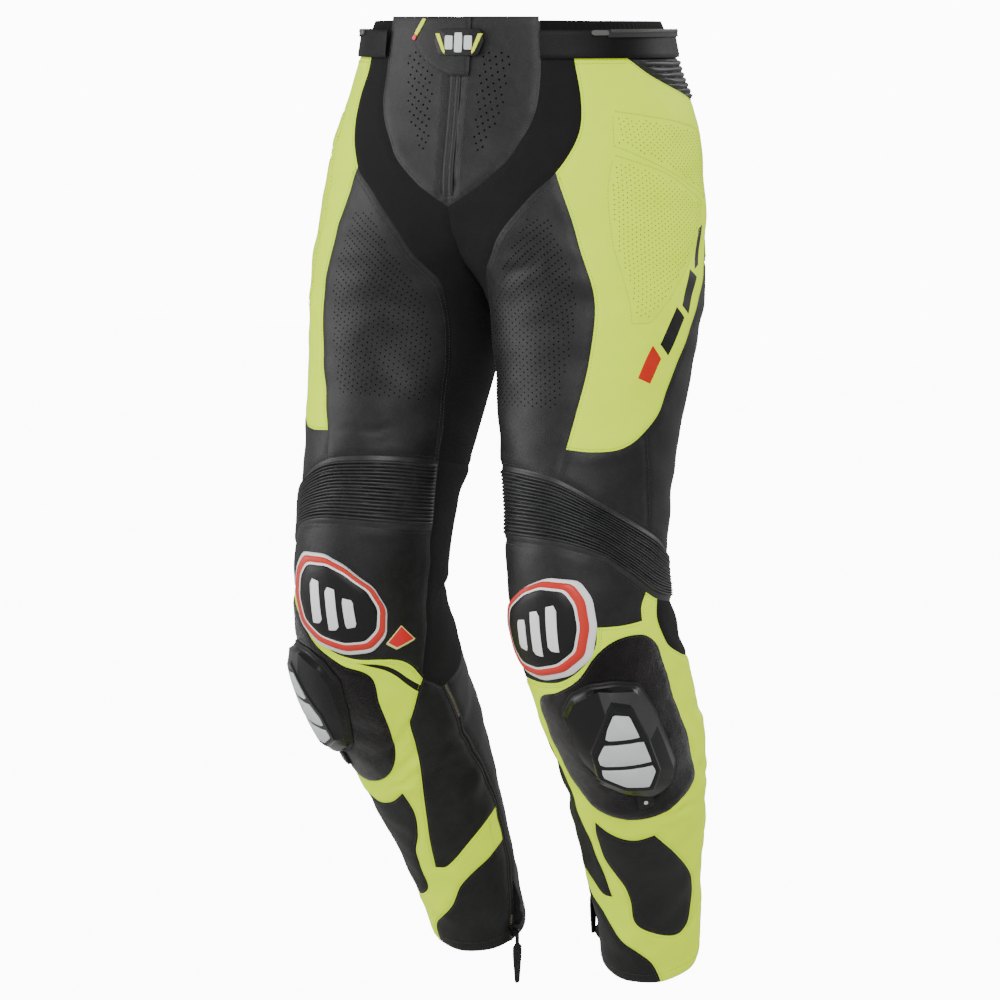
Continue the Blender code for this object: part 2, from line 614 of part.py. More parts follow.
def add_solid(name, points, faces, material, side=1):
    """One closed solid; side -1 is the wearer's right, a mirror image."""
    points = np.asarray(points, float)
    if side < 0:
        points = points * np.array([-1.0, 1.0, 1.0])
        faces = [tuple(reversed(f)) for f in faces]
    mesh = bpy.data.meshes.new(name)
    mesh.from_pydata([tuple(p) for p in points], [], faces)
    mesh.validate()
    mesh.update()
    item = bpy.data.objects.new(name, mesh)
    bpy.context.scene.collection.objects.link(item)
    item.data.materials.append(material)
    mesh.shade_smooth()
    mesh.set_sharp_from_angle(angle=radians(40))
    return item


# ---------------------------------------------------------------- panels of one half
PANELS = {
    "yoke": ("leather_black", LEATHER, (
        ("yoke_top", "F0", "Y0"), ("yoke_side", "Y0", "Y1"), ("fly_foot", "Y1", "F1"),
        ("fly", "F1", "F0"))),
    "inner_stretch": ("stretch_black", STRETCH, (
        ("waist", "W0", "W1"), ("front_style", "W1", "K1"), ("inner_split", "K1", "H1"),
        ("back_thigh", "H1", "G1"), ("centre", "G1", "Y1"), ("yoke_side", "Y1", "W0"))),
    "thigh_neon": ("leather_neon", LEATHER, (
        ("waist", "W1", "R0"), ("rib_lower", "R0", "R1"), ("neon_edge", "R1", "N1"),
        ("thigh_side", "N1", "J1"), ("front_style", "J1", "W1"))),
    "seat": ("leather_black", LEATHER, (
        ("rib_lower", "R1", "R2"), ("back_low", "R2", "G1"), ("seat_lower", "G1", "N3"),
        ("neon_edge", "N3", "R1"))),
    "front_thigh": ("leather_black", LEATHER, (
        ("thigh_side", "J1", "K3"), ("knee_top", "K3", "K1"), ("front_style", "K1", "J1"))),
    "outer_thigh": ("leather_black", LEATHER, (
        ("neon_edge", "N1", "N2"), ("outer_thigh", "N2", "K4"), ("knee_top", "K4", "K3"),
        ("thigh_side", "K3", "N1"))),
    "back_thigh": ("leather_black", LEATHER, (
        ("neon_edge", "N2", "N3"), ("seat_lower", "N3", "G1"), ("back_thigh", "G1", "K5"),
        ("knee_top", "K5", "K4"), ("outer_thigh", "K4", "N2"))),
    "knee_back": ("stretch_black", STRETCH, (
        ("inner_split", "K1", "H1"), ("back_thigh", "H1", "K5"), ("knee_end", "K5", "K6"),
        ("knee_bottom", "K6", "P2"), ("calf_top", "P2", "S1"), ("front_style", "S1", "K1"))),
    "calf_inner": ("leather_black", LEATHER, (
        ("calf_front", "S1", "T1"), ("band_top", "T1", "Af"), ("zip_front", "Af", "Zf"),
        ("calf_top", "Zf", "S1"))),
    "calf_back": ("leather_black", LEATHER, (
        ("calf_top", "B2", "Zb"), ("zip_back", "Zb", "Hb"), ("hem", "Hb", "C2"),
        ("back_calf", "C2", "B2"))),
    "cuff": ("leather_black", LEATHER, (
        ("cuff_top", "Bf", "C1"), ("hem", "C1", "Hf"), ("zip_front", "Hf", "Bf"))),
}
KNEE_ACCORDION = (("knee_top", "K1", "K5"), ("knee_end", "K5", "K6"),
                  ("knee_bottom", "K6", "K2"), ("front_style", "K2", "K1"))
REAR_ACCORDION = (("waist", "R0", "W2"), ("back_high", "W2", "R2"), ("rib_lower", "R2", "R0"))
KNEE_PANEL = (("knee_bottom", "K2", "P1"), ("strip_side", "P1", "P3"),
              ("strip_low", "P3", "P4"), ("knee_low", "P4", "S1"), ("front_style", "S1", "K2"))
SHIN_PANEL = (("knee_bottom", "P1", "P2"), ("calf_top", "P2", "B2"), ("back_calf", "B2", "C2"),
              ("hem", "C2", "C1"), ("cuff_top", "C1", "Bf"), ("zip_front", "Bf", "Af"),
              ("band_top", "Af", "T1"), ("calf_front", "T1", "S1"), ("knee_low", "S1", "P4"),
              ("strip_low", "P4", "P3"), ("strip_side", "P3", "P1"))
CALF_ZIP = (("zip_head", "Zf", "Zb"), ("zip_back", "Zb", "Hb"), ("zip_foot", "Hb", "Hf"),
            ("zip_front", "Hf", "Zf"))


def constant(value):
    return lambda _: value


def plain_panel(name, material, thickness, runs, side, materials):
    mesh = FlatMesh(outline_of(runs))
    points, faces = wall(mesh, mesh.triangles, constant(-thickness), constant(0.0))
    add_solid(name, points, faces, materials[material], side)


def down_on(seam, turn):
    """How far down a seam lies at a turn."""
    rows = SAMPLES[seam]
    turns, downs = [r[1] for r in rows], [r[2] for r in rows]
    if turns[0] > turns[-1]:
        turns, downs = turns[::-1], downs[::-1]
    return float(np.interp(turn, turns, downs))


def turn_at_seam(seam, down):
    """The turn at which a seam that runs down the leg passes a height."""
    rows = SAMPLES[seam]
    return float(np.interp(down, [r[2] for r in rows], [r[1] for r in rows]))


def knee_rib_rows():
    """Ridge and valley lines of the knee, fanned between its top and bottom seams."""
    edge = {name: (turn, down) for name, turn, down in SAMPLES["front_style"]}
    (top_turn, top), (low_turn, bottom) = edge["K1"], edge["K2"]
    last, columns = 125.0, 12
    rows = []
    count = 2 * KNEE_RIBS + 1
    for i in range(1, count):
        share = i / count
        first = top_turn + (low_turn - top_turn) * share + 3.0
        row = []
        for k in range(columns + 1):
            turn = first + (last - first) * k / columns
            high = down_on("knee_top", turn) + RIB_MARGIN
            low = down_on("knee_bottom", turn) - RIB_MARGIN
            row.append((turn, high + (low - high) * share))
        rows.append(row)
    return rows


def rear_rib_rows():
    """Ridge and valley lines across the back below the waistband."""
    rows = []
    count = 2 * REAR_RIBS + 1
    top, bottom = WAIST_DOWN + RIB_MARGIN, RIB_END - RIB_MARGIN
    for i in range(1, count):
        down = top + (bottom - top) * i / count
        turn, step = 66.0, 9.0
        last = turn_at_x(RIB_MARGIN, down, back=True)
        turns = [t for t in np.arange(turn, last, step)
                 if down_on("rib_lower", t) - RIB_MARGIN > down]
        row = [(float(t), down) for t in turns if last - t > step / 2] + [(last, down)]
        rows.append(row)
    return rows


def accordion(name, runs, rows, side, materials):
    """A ribbed panel: every other line is a ridge, over a plain inside."""
    mesh = FlatMesh(outline_of(runs), rows=rows, fill=False)
    rise = {}
    for number, ids in enumerate(mesh.row_ids):
        for spot, i in enumerate(ids):
            at_end = spot == 0 or spot == len(ids) - 1
            rise[i] = RIB_RISE * (0.35 if at_end else 1.0) if number % 2 == 0 else 0.0004
    points, faces = wall(mesh, mesh.triangles, constant(-LEATHER), lambda i: rise.get(i, 0.0))
    add_solid(name, points, faces, materials["rib_leather"], side)


def laid_on(name, mesh, mark, low, high, material, side):
    """A piece laid on a panel: made from the panel's own points, moved out."""
    points, faces = wall(mesh, mesh.inside_mark(mark), low, high, seam=False)
    add_solid(name, points, faces, material, side)


def heights(mesh, steps):
    """Each point's height: the last step whose outline holds it, the first at least."""
    loops = [([tuple(mesh.to_flat(*p)) for p in loop], value) for loop, value in steps]

    def height(i):
        spot = mesh.flats[i]
        best = steps[0][1]
        for loop, value in loops:
            on_edge = min(hypot(spot[0] - x, spot[1] - y) for x, y in loop) < 1e-6
            if on_edge or inside(spot, loop):
                best = value
        return best
    return height


def knee_panel(tag, side, materials):
    """Plain leather round the knee, its raised guard, and on the right a small badge."""
    rings = [shrunk(SHIELD, scale, MARK_STEP) for scale, _ in SHIELD_STEPS]
    marks = list(rings)
    badge = closed_curve(BADGE)
    if side < 0:
        marks.append(badge)
    mesh = FlatMesh(outline_of(KNEE_PANEL), marks=marks)
    points, faces = wall(mesh, mesh.triangles, constant(-LEATHER), constant(0.0))
    add_solid("knee_panel_" + tag, points, faces, materials["leather_black"], side)
    steps = [(ring, height) for ring, (_, height) in zip(rings, SHIELD_STEPS)]
    laid_on("knee_shield_" + tag, mesh, rings[0], constant(SEAM_GAP), heights(mesh, steps),
            materials["shield_rubber"], side)
    if side < 0:
        laid_on("knee_badge_" + tag, mesh, badge, constant(SEAM_GAP), constant(BADGE_TOP),
                materials["badge_red"], side)


def shin_panel(tag, side, materials):
    """The bright shin panel, the leather set into it, the patch and the knee slider."""
    inset = closed_curve(SHIN_INSET)
    patch = closed_curve(PATCH)
    rings = [shrunk(SLIDER, scale, MARK_STEP) for scale, _ in SLIDER_STEPS]
    mesh = FlatMesh(outline_of(SHIN_PANEL), holes=[inset], marks=[patch] + rings)
    points, faces = wall(mesh, mesh.triangles, constant(-LEATHER), constant(0.0))
    add_solid("shin_neon_" + tag, points, faces, materials["leather_neon"], side)
    patch_top = SEAM_GAP + PATCH_THICK
    laid_on("loop_patch_" + tag, mesh, patch, constant(SEAM_GAP), constant(patch_top),
            materials["loop_patch"], side)
    steps = [(ring, height) for ring, (_, height) in zip(rings, SLIDER_STEPS)]
    laid_on("knee_slider_" + tag, mesh, rings[0], constant(patch_top + SEAM_GAP),
            heights(mesh, steps), materials["slider_plastic"], side)
    mesh = FlatMesh(inset)
    points, faces = wall(mesh, mesh.triangles, constant(-LEATHER), constant(0.0))
    add_solid("shin_leather_" + tag, points, faces, materials["leather_black"], side)


def calf_zip(tag, side, materials):
    """The zip's tape with its closed coil as a low ridge."""
    middle = [(turn, down) for _, turn, down in sample_curve(ZIP_LINE)][1:-1]
    mesh = FlatMesh(outline_of(CALF_ZIP), rows=[middle], fill=False)
    ridge = set(mesh.row_ids[0])
    points, faces = wall(mesh, mesh.triangles, constant(ZIP_INNER),
                         lambda i: ZIP_TEETH if i in ridge else ZIP_TAPE)
    add_solid("calf_zip_" + tag, points, faces, materials["zip_tape"], side)


# ---------------------------------------------------------------- waistband
def ring_wall(name, first, levels, thick, material, side, columns=21):
    """A band of cloth: levels are (down, inner height) over the cloth.

    first is the turn of its front edge, or None along the side of the yoke.
    """
    points = []
    for lift in (thick, 0.0):
        for down, low in levels:
            last = turn_at_x(HALF_GAP, down, back=True)
            start = turn_at_seam("yoke_side", down) + 0.12 if first is None else first
            for turn in np.linspace(start, last, columns):
                spot = surface(turn, down) + outward(turn, down) * (low + lift)
                spot[0] = max(spot[0], HALF_GAP)
                points.append(spot)
    faces = sheet_faces(len(levels), columns)
    add_solid(name, points, [tuple(reversed(f)) for f in faces], material, side)


def sheet_faces(rows, columns):
    """Faces of a closed sheet whose first half of points is one face, row by row."""
    half = rows * columns
    faces = []
    for r in range(rows - 1):
        for c in range(columns - 1):
            a, b = r * columns + c, r * columns + c + 1
            d, e = a + columns, b + columns
            faces += [(a, b, e), (a, e, d)]
            faces += [(a + half, e + half, b + half), (a + half, d + half, e + half)]
    edge = [r * columns for r in range(rows)]
    edge += [(rows - 1) * columns + c for c in range(1, columns)]
    edge += [r * columns + columns - 1 for r in range(rows - 2, -1, -1)]
    edge += list(range(columns - 2, 0, -1))
    for a, b in zip(edge, edge[1:] + edge[:1]):
        faces += [(a, b, b + half), (a, b + half, a + half)]
    return faces


def waistband(tag, side, materials):
    """The drawn-in waist ring, the outer band in front of it and its zip."""
    ring_wall("waist_ring_" + tag, None, RING_LEVELS, WAIST_THICK, materials["stretch_black"],
              side)
    ring_wall("waist_band_" + tag, None, BAND_LEVELS, WAIST_THICK, materials["leather_black"],
              side)
    ring_wall("jacket_zip_" + tag, JACKET_ZIP_TURN, JACKET_ZIP_LEVELS, JACKET_ZIP_THICK,
              materials["zip_tape"], side, columns=18)


# ---------------------------------------------------------------- centre front
def front_point(x, down, height):
    """A point in front of the belly at a signed distance from the centre plane."""
    turn = turn_at_x(abs(x), down)
    spot = surface(turn, down) + outward(turn, down) * height
    return np.array([x, spot[1], spot[2]])


def front_sheet(name, rows, inner, outer, material):
    """A closed sheet over the belly: rows of (down, xs); outer gives a column's height."""
    points = [front_point(x, down, outer(c)) for down, xs in rows for c, x in enumerate(xs)]
    points += [front_point(x, down, inner) for down, xs in rows for x in xs]
    faces = sheet_faces(len(rows), len(rows[0][1]))
    add_solid(name, points, [tuple(reversed(f)) for f in faces], material)


def fly_zip(materials):
    """The fly's tape with its coil, between the halves of the yoke."""
    edge, coil = FLY_HALF - HALF_GAP, 0.0018
    xs = [-edge, -coil, 0.0, coil, edge]
    rows = [(float(down), xs) for down in np.linspace(0.0, FLY_END - SEAM_GAP, 9)]
    front_sheet("fly_zip", rows, FLY_INNER, lambda c: FLY_TEETH if c == 2 else FLY_TAPE,
                materials["zip_tape"])


def closure(materials):
    """The closure tab across the top of the fly, and its plain badge."""
    shares = np.linspace(0, 1, 6)
    rows = [(down, [left + (right - left) * s for s in shares])
            for down, left, right in CLOSURE_TAB]
    front_sheet("closure_tab", rows, TAB_INNER, constant(TAB_OUTER), materials["leather_black"])
    rows = [(down, [BADGE_MIDDLE + half * (2 * s - 1) for s in shares])
            for down, half in CLOSURE_BADGE]
    front_sheet("closure_badge", rows, BADGE_INNER, constant(BADGE_OUTER),
                materials["badge_pale"])


# ---------------------------------------------------------------- zip sliders and tabs
PIN_RADIUS = 0.0011
EYE_INNER = 0.0016
EYE_OUTER = 0.0031
TAB_LENGTH = 0.060
TAB_THICK = 0.0020
TAB_NECK, TAB_WIDE, TAB_TIP = 0.0022, 0.0062, 0.0030    # half widths down the tab
SLIDER_BASE, SLIDER_THICK = 0.0012, 0.0030
SLIDER_HALF_LENGTH, SLIDER_HALF_WIDTH = 0.0065, 0.0040
PIN_OUT = 0.0052        # how far the pin stands off
POST_APART = 0.0031     # the pin's posts, from the middle
SLIDER_DOWNS = {"L": 1.000, "R": 1.072}     # how far down its zip each slider stays


def zip_frame(tag):
    """The slider's place on the left leg: origin, axis of the pin, up and out."""
    down = SLIDER_DOWNS[tag]
    line = sample_curve(ZIP_LINE, step=0.004)
    turn = float(np.interp(down, [row[2] for row in line], [row[1] for row in line]))
    origin = surface(turn, down)
    normal = outward(turn, down)
    along = surface(turn, down - 0.004) - surface(turn, down + 0.004)
    along /= np.linalg.norm(along)
    flat_out = np.array([normal[0], normal[1], 0.0])
    flat_out /= np.linalg.norm(flat_out)
    axis = np.cross(np.array([0.0, 0.0, 1.0]), flat_out)
    return origin, normal, along, axis, flat_out


def prism(profile, start, end):
    """A closed prism: a flat profile of points at start, repeated at end."""
    count = len(profile)
    points = [start + p for p in profile] + [end + p for p in profile]
    faces = [tuple(range(count - 1, -1, -1)), tuple(range(count, 2 * count))]
    for i in range(count):
        j = (i + 1) % count
        faces.append((i, j, j + count, i + count))
    return points, faces


def hard_solid(name, parts, material, side):
    """Prisms that overlap, joined by a union into one closed body."""
    items = []
    for points, faces in parts:
        mesh = bpy.data.meshes.new(name)
        flip = np.array([-1.0 if side < 0 else 1.0, 1.0, 1.0])
        mesh.from_pydata([tuple(np.asarray(p) * flip) for p in points], [], faces)
        work = bmesh.new()
        work.from_mesh(mesh)
        bmesh.ops.recalc_face_normals(work, faces=work.faces)
        work.to_mesh(mesh)
        work.free()
        item = bpy.data.objects.new(name + "_part", mesh)
        bpy.context.scene.collection.objects.link(item)
        items.append(item)
    body = items[0]
    for tool in items[1:]:
        join = body.modifiers.new("join", "BOOLEAN")
        join.operation = "UNION"
        join.solver = "EXACT"
        join.object = tool
        tool.hide_render = True
        tool.display_type = "WIRE"
    body.name = name
    body.data.materials.append(material)
    return body


def box_profile(u, v, half_u, half_v):
    return [u * -half_u + v * -half_v, u * half_u + v * -half_v,
            u * half_u + v * half_v, u * -half_u + v * half_v]


def zip_pull(tag, side, materials):
    """A calf zip's slider with its pin, and the pull tab that hangs from the pin."""
    origin, normal, along, axis, out = zip_frame(tag)
    up = np.array([0.0, 0.0, 1.0])
    cross = np.cross(along, normal)
    base = origin + normal * SLIDER_BASE
    body = prism(box_profile(along, cross, SLIDER_HALF_LENGTH, SLIDER_HALF_WIDTH), base,
                 base + normal * SLIDER_THICK)
    top = origin + normal * 0.0030
    pin = top + out * PIN_OUT
    ends = []
    for sign in (-1, 1):
        aside = axis * sign * POST_APART
        ends.append(prism(box_profile(up, axis, 0.0014, 0.0008), top + aside,
                          pin + aside + out * 0.0010))
    round_pin = [(up * cos(a) + out * sin(a)) * PIN_RADIUS
                 for a in np.linspace(0, 2 * pi, 9)[:-1]]
    rod = prism(round_pin, pin - axis * 0.0034, pin + axis * 0.0034)
    hard_solid("zip_slider_" + tag, [body, *ends, rod], materials["zip_metal"], side)

    # the tab: an eye round the pin and a flat blade below it
    sides = 10
    points, faces = [], []
    for half in (-0.0013, 0.0013):
        for radius in (EYE_INNER, EYE_OUTER):
            for i in range(sides):
                angle = 2 * pi * i / sides
                points.append(pin + axis * half + (up * cos(angle) + out * sin(angle)) * radius)
    low_in, low_out, high_in, high_out = (k * sides for k in range(4))
    for i in range(sides):
        j = (i + 1) % sides
        faces += [(low_in + i, low_in + j, low_out + j, low_out + i),
                  (high_in + i, high_out + i, high_out + j, high_in + j),
                  (low_in + i, high_in + i, high_in + j, low_in + j),
                  (low_out + i, low_out + j, high_out + j, high_out + i)]
    eye = (points, faces)
    table = ((-0.0026, TAB_NECK), (-0.014, TAB_NECK), (-0.018, TAB_WIDE), (-0.028, TAB_WIDE),
             (-(TAB_LENGTH - 0.002), TAB_TIP), (-TAB_LENGTH, TAB_TIP * 0.6))
    shape = [up * drop + axis * half for drop, half in table]
    shape += [up * drop - axis * half for drop, half in reversed(table)]
    blade = prism(shape, pin - out * TAB_THICK / 2, pin + out * TAB_THICK / 2)
    hard_solid("zip_tab_" + tag, [eye, blade], materials["zip_metal"], side)


# ---------------------------------------------------------------- build
def main():
    for item in list(bpy.data.objects):
        bpy.data.objects.remove(item)
    materials = finish_materials()
    for tag, side in (("L", 1), ("R", -1)):
        for name, (material, thickness, runs) in PANELS.items():
            plain_panel(f"{name}_{tag}", material, thickness, runs, side, materials)
        accordion("knee_ribs_" + tag, KNEE_ACCORDION, knee_rib_rows(), side, materials)
        accordion("rear_ribs_" + tag, REAR_ACCORDION, rear_rib_rows(), side, materials)
        knee_panel(tag, side, materials)
        shin_panel(tag, side, materials)
        calf_zip(tag, side, materials)
        waistband(tag, side, materials)
        zip_pull(tag, side, materials)
    fly_zip(materials)
    closure(materials)


main()
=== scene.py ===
"""Leather motorcycle trousers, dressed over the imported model.

Each half of the garment is a tube of rings with its seams drawn as smooth curves.  A
place on it is (turn, down): degrees round the leg from its front, towards the outer
side, and metres down the leg.  Cloth pieces are fine shells between those seams, hard
pieces are modelled flat and bent round the leg.
"""
import logging
from dataclasses import dataclass, field
from enum import Enum
from math import ceil, cos, degrees, pi, radians, sin
from typing import Callable, Iterable, Sequence

import bmesh
import bpy
import numpy as np
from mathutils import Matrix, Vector
from mathutils.geometry import delaunay_2d_cdt


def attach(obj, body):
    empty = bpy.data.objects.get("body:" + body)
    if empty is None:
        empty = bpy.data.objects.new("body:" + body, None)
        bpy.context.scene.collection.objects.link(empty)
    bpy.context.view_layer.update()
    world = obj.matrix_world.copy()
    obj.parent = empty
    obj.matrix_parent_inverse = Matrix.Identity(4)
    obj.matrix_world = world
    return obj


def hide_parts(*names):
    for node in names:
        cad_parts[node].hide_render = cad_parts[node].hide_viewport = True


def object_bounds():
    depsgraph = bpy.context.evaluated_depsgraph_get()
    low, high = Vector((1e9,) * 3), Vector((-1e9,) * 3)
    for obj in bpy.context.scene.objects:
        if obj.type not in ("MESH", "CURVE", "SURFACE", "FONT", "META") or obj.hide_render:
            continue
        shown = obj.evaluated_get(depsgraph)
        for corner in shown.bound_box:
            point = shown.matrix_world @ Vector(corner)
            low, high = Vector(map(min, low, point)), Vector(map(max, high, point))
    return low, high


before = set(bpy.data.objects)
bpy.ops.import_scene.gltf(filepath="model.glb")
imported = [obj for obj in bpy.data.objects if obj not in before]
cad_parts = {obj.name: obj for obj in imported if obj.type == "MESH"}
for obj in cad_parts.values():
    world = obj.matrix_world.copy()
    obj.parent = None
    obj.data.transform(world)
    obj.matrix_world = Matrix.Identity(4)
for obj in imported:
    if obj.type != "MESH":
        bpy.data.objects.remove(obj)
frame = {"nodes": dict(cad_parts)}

CAD_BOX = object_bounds()
log = logging.getLogger("trousers")

Place = tuple[float, float]
Row = tuple[str, float, float]
Prints = tuple[tuple[str, tuple[Row, ...]], ...]
Array = np.ndarray

HALF_GAP = 0.00015      # half the gap between two sewn panels
CENTRE_EDGE = 0.0003    # cloth nearer to the centre plane is an edge of a centre seam
CLOSED = 0.00001        # half of what is left open there, where light would shine through
WAIST_DOWN = 0.040      # the waist seam
FLY_HALF = 0.0060       # half the width between the yoke's halves
FLY_END = 0.194         # the fly's lower end
YOKE_TIP = 0.208        # the yoke's lower tip
RIB_END = 0.106         # the rear ribs' lower seam at the centre back
SEAT_END = 0.262        # the seat's lower seam at the centre back
ZIP_HALF = 0.0043       # half the width of a calf zip's tape
BODY = "trousers"       # the body that all but the pull tabs belong to


# ---------------------------------------------------------------- lines and nets
def run_along(points: Array) -> Array:
    """How far along a line of points each of them lies."""
    return np.concatenate([[0.0], np.cumsum(np.linalg.norm(np.diff(points, axis=0), axis=1))])


def resampled(line: Array, run: Array, at: Array) -> Array:
    """A line's rows at distances along it, where run says how far along each row lies."""
    return np.stack([np.interp(at, run, line[:, k]) for k in range(line.shape[1])], 1)


def between(first: Array, last: Array, count: int) -> Array:
    """Rows of even steps from each first number to its last."""
    share = np.linspace(0, 1, count)[None, :]
    return first[:, None] * (1 - share) + last[:, None] * share


def staggered(rows: Array, columns: Array, shift: float) -> Array:
    """The points of a grid whose every second row is moved aside by a shift."""
    x = columns[None, :] + shift * (np.arange(len(rows))[:, None] % 2)
    return np.stack([x, np.broadcast_to(rows[:, None], x.shape)], -1).reshape(-1, 2)


def unit(vectors: Array) -> Array:
    """Vectors brought to a length of 1, or left at 0."""
    return vectors / np.maximum(np.linalg.norm(vectors, axis=-1, keepdims=True), 1e-9)


# ---------------------------------------------------------------- the leg's plain form
@dataclass(frozen=True)
class Ring:
    """One ring of a leg: its centre, half width, depths, pitch and squareness."""

    z: float
    x: float
    y: float
    half: float
    front: float
    back: float
    pitch: float
    square: float


@dataclass(frozen=True)
class Fold:
    """A broad fold that draws the cloth in: its middle, reach, slope and depth."""

    turn: float
    down: float
    around: float
    along: float
    slope: float
    depth: float


@dataclass(frozen=True)
class LegShape:
    """The outer cloth of the left half, before creases."""

    crease_width: float = 0.030
    rings: tuple[Ring, ...] = (
        Ring(+0.022, 0.000, +0.000, 0.158, 0.119, 0.119, 0.0, 2.30),
        Ring(-0.018, 0.004, +0.000, 0.163, 0.121, 0.124, 0.0, 2.30),
        Ring(-0.080, 0.020, -0.002, 0.170, 0.126, 0.132, 0.0, 2.25),
        Ring(-0.145, 0.045, -0.010, 0.158, 0.127, 0.140, 3.0, 2.20),
        Ring(-0.205, 0.078, -0.020, 0.132, 0.118, 0.132, 6.0, 2.10),
        Ring(-0.262, 0.108, -0.030, 0.108, 0.104, 0.116, 9.0, 2.05),
        Ring(-0.330, 0.114, -0.045, 0.098, 0.094, 0.100, 11.0, 2.0),
        Ring(-0.400, 0.118, -0.059, 0.089, 0.089, 0.091, 11.0, 2.0),
        Ring(-0.475, 0.124, -0.073, 0.081, 0.085, 0.084, 7.0, 2.0),
        Ring(-0.560, 0.132, -0.078, 0.079, 0.086, 0.082, -5.0, 2.0),
        Ring(-0.645, 0.139, -0.053, 0.079, 0.080, 0.090, -18.0, 2.0),
        Ring(-0.735, 0.138, -0.002, 0.077, 0.070, 0.086, -25.0, 2.0),
        Ring(-0.820, 0.128, +0.039, 0.070, 0.060, 0.072, -25.0, 2.0),
        Ring(-0.900, 0.118, +0.075, 0.061, 0.053, 0.056, -24.0, 2.0),
        Ring(-0.990, 0.109, +0.110, 0.054, 0.048, 0.045, -22.0, 2.0),
    )
    crotch_ring: int = 5
    folds: tuple[Fold, ...] = (
        Fold(205, 0.628, 62, 0.013, +0.00010, 0.0065),
        Fold(190, 0.662, 50, 0.012, -0.00014, 0.0045),
        Fold(-100, 0.800, 34, 0.014, +0.00060, 0.0030),
        Fold(-60, 0.845, 26, 0.012, -0.00060, 0.0030),
        Fold(120, 0.760, 30, 0.013, +0.00070, 0.0030),
        Fold(160, 0.310, 45, 0.013, -0.00030, 0.0035),
    )

    def table(self) -> tuple[Array, Array]:
        """The ring numbers, and how far down the leg each ring lies.

        Returns:
            A row of numbers for each ring, and metres down.
        """
        rows = np.array([[getattr(ring, name) for name in Ring.__annotations__]
                         for ring in self.rings])
        return rows, run_along(rows[:, [1, 2, 0]])

    @property
    def end(self) -> float:
        """How far down the hem lies."""
        return float(self.table()[1][-1])

    @property
    def crotch(self) -> float:
        """How far down the crotch lies."""
        return float(self.table()[1][self.crotch_ring])

    def ring_at(self, down: Array) -> Array:
        """Every ring number at any distance down, by a cubic through the rings.

        Args:
            down: metres down the leg.

        Returns:
            A row of ring numbers for each distance.
        """
        rows, downs = self.table()
        gaps = np.diff(downs)
        rates = np.diff(rows, axis=0) / gaps[:, None]
        slopes = np.empty_like(rows)
        slopes[0], slopes[-1] = rates[0], rates[-1]
        ahead, behind = gaps[1:, None], gaps[:-1, None]
        slopes[1:-1] = (rates[:-1] * ahead + rates[1:] * behind) / (ahead + behind)
        down = np.clip(down, downs[0], downs[-1])
        i = np.clip(np.searchsorted(downs, down, side="right") - 1, 0, len(gaps) - 1)
        gap = gaps[i][..., None]
        t = (down - downs[i])[..., None] / gap
        return ((2 * t**3 - 3 * t**2 + 1) * rows[i] + (t**3 - 2 * t**2 + t) * gap * slopes[i]
                + (3 * t**2 - 2 * t**3) * rows[i + 1] + (t**3 - t**2) * gap * slopes[i + 1])

    def drawn_in(self, turn: Array, down: Array) -> Array:
        """How far the broad folds draw the cloth in.

        Args:
            turn: degrees round the leg.
            down: metres down the leg.

        Returns:
            Metres at each place.
        """
        depth = np.zeros_like(turn)
        for fold in self.folds:
            across = (turn - fold.turn + 180) % 360 - 180
            along = down - fold.down - fold.slope * across
            depth += fold.depth * np.exp(-(across / fold.around)**2 - (along / fold.along)**2)
        return depth

    def point(self, turn: Array, down: Array) -> Array:
        """A point of the outer cloth, before the two halves are kept apart.

        Args:
            turn: degrees round the leg.
            down: metres down the leg.

        Returns:
            A point for each place.
        """
        turn, down = np.broadcast_arrays(np.asarray(turn, float), np.asarray(down, float))
        z, cx, cy, half, front, back, pitch, square = np.moveaxis(self.ring_at(down), -1, 0)
        angle = np.radians(turn)
        side, fore = np.sin(angle), -np.cos(angle)
        radius = (np.abs(side)**square + np.abs(fore)**square)**(-1 / square)
        depth = np.where(fore < 0, front, back)
        drawn = self.drawn_in(turn, down)
        x = cx + (half - drawn) * radius * side
        near = np.sqrt(x**2 + self.crease_width**2) - x
        fill = depth / half * np.minimum(cx / half, 1.0) * np.clip(near, 0, self.crease_width)
        reach = (depth - drawn + fill) * radius * fore
        tilt = np.radians(pitch)
        return np.stack([x, cy + reach * np.cos(tilt), z - reach * np.sin(tilt)], -1)

    def outward(self, turn: Array, down: Array) -> Array:
        """The unit normal of the cloth, pointing out of the leg.

        Args:
            turn: degrees round the leg.
            down: metres down the leg.

        Returns:
            A normal for each place.
        """
        turn, down = np.asarray(turn, float), np.asarray(down, float)
        around = self.point(turn + 0.5, down) - self.point(turn - 0.5, down)
        low, high = np.maximum(down - 0.001, 0.0), np.minimum(down + 0.001, self.end)
        along = self.point(turn, high) - self.point(turn, low)
        return unit(np.cross(along, around))

    def turn_at(self, x: float, down: float, back: bool = False) -> float:
        """The turn at which the front or back of a ring is x from the centre plane.

        Args:
            x: metres from the centre plane.
            down: metres down the leg.
            back: whether it is the back.

        Returns:
            Degrees round the leg.
        """
        _, cx, _, half, *_, square = self.ring_at(np.asarray(float(down)))
        share = float(np.clip((x - cx) / half, -1, 1))
        deep = (1 - abs(share)**square)**(1 / square)
        turn = degrees(np.arctan2(share, deep))
        return 180 - turn if back else turn

    def degree(self, turn: Array, down: Array) -> Array:
        """The length of one degree round the leg at a place, in metres."""
        step = self.point(np.asarray(turn) + 0.5, down) - self.point(np.asarray(turn) - 0.5, down)
        return np.linalg.norm(step, axis=-1)

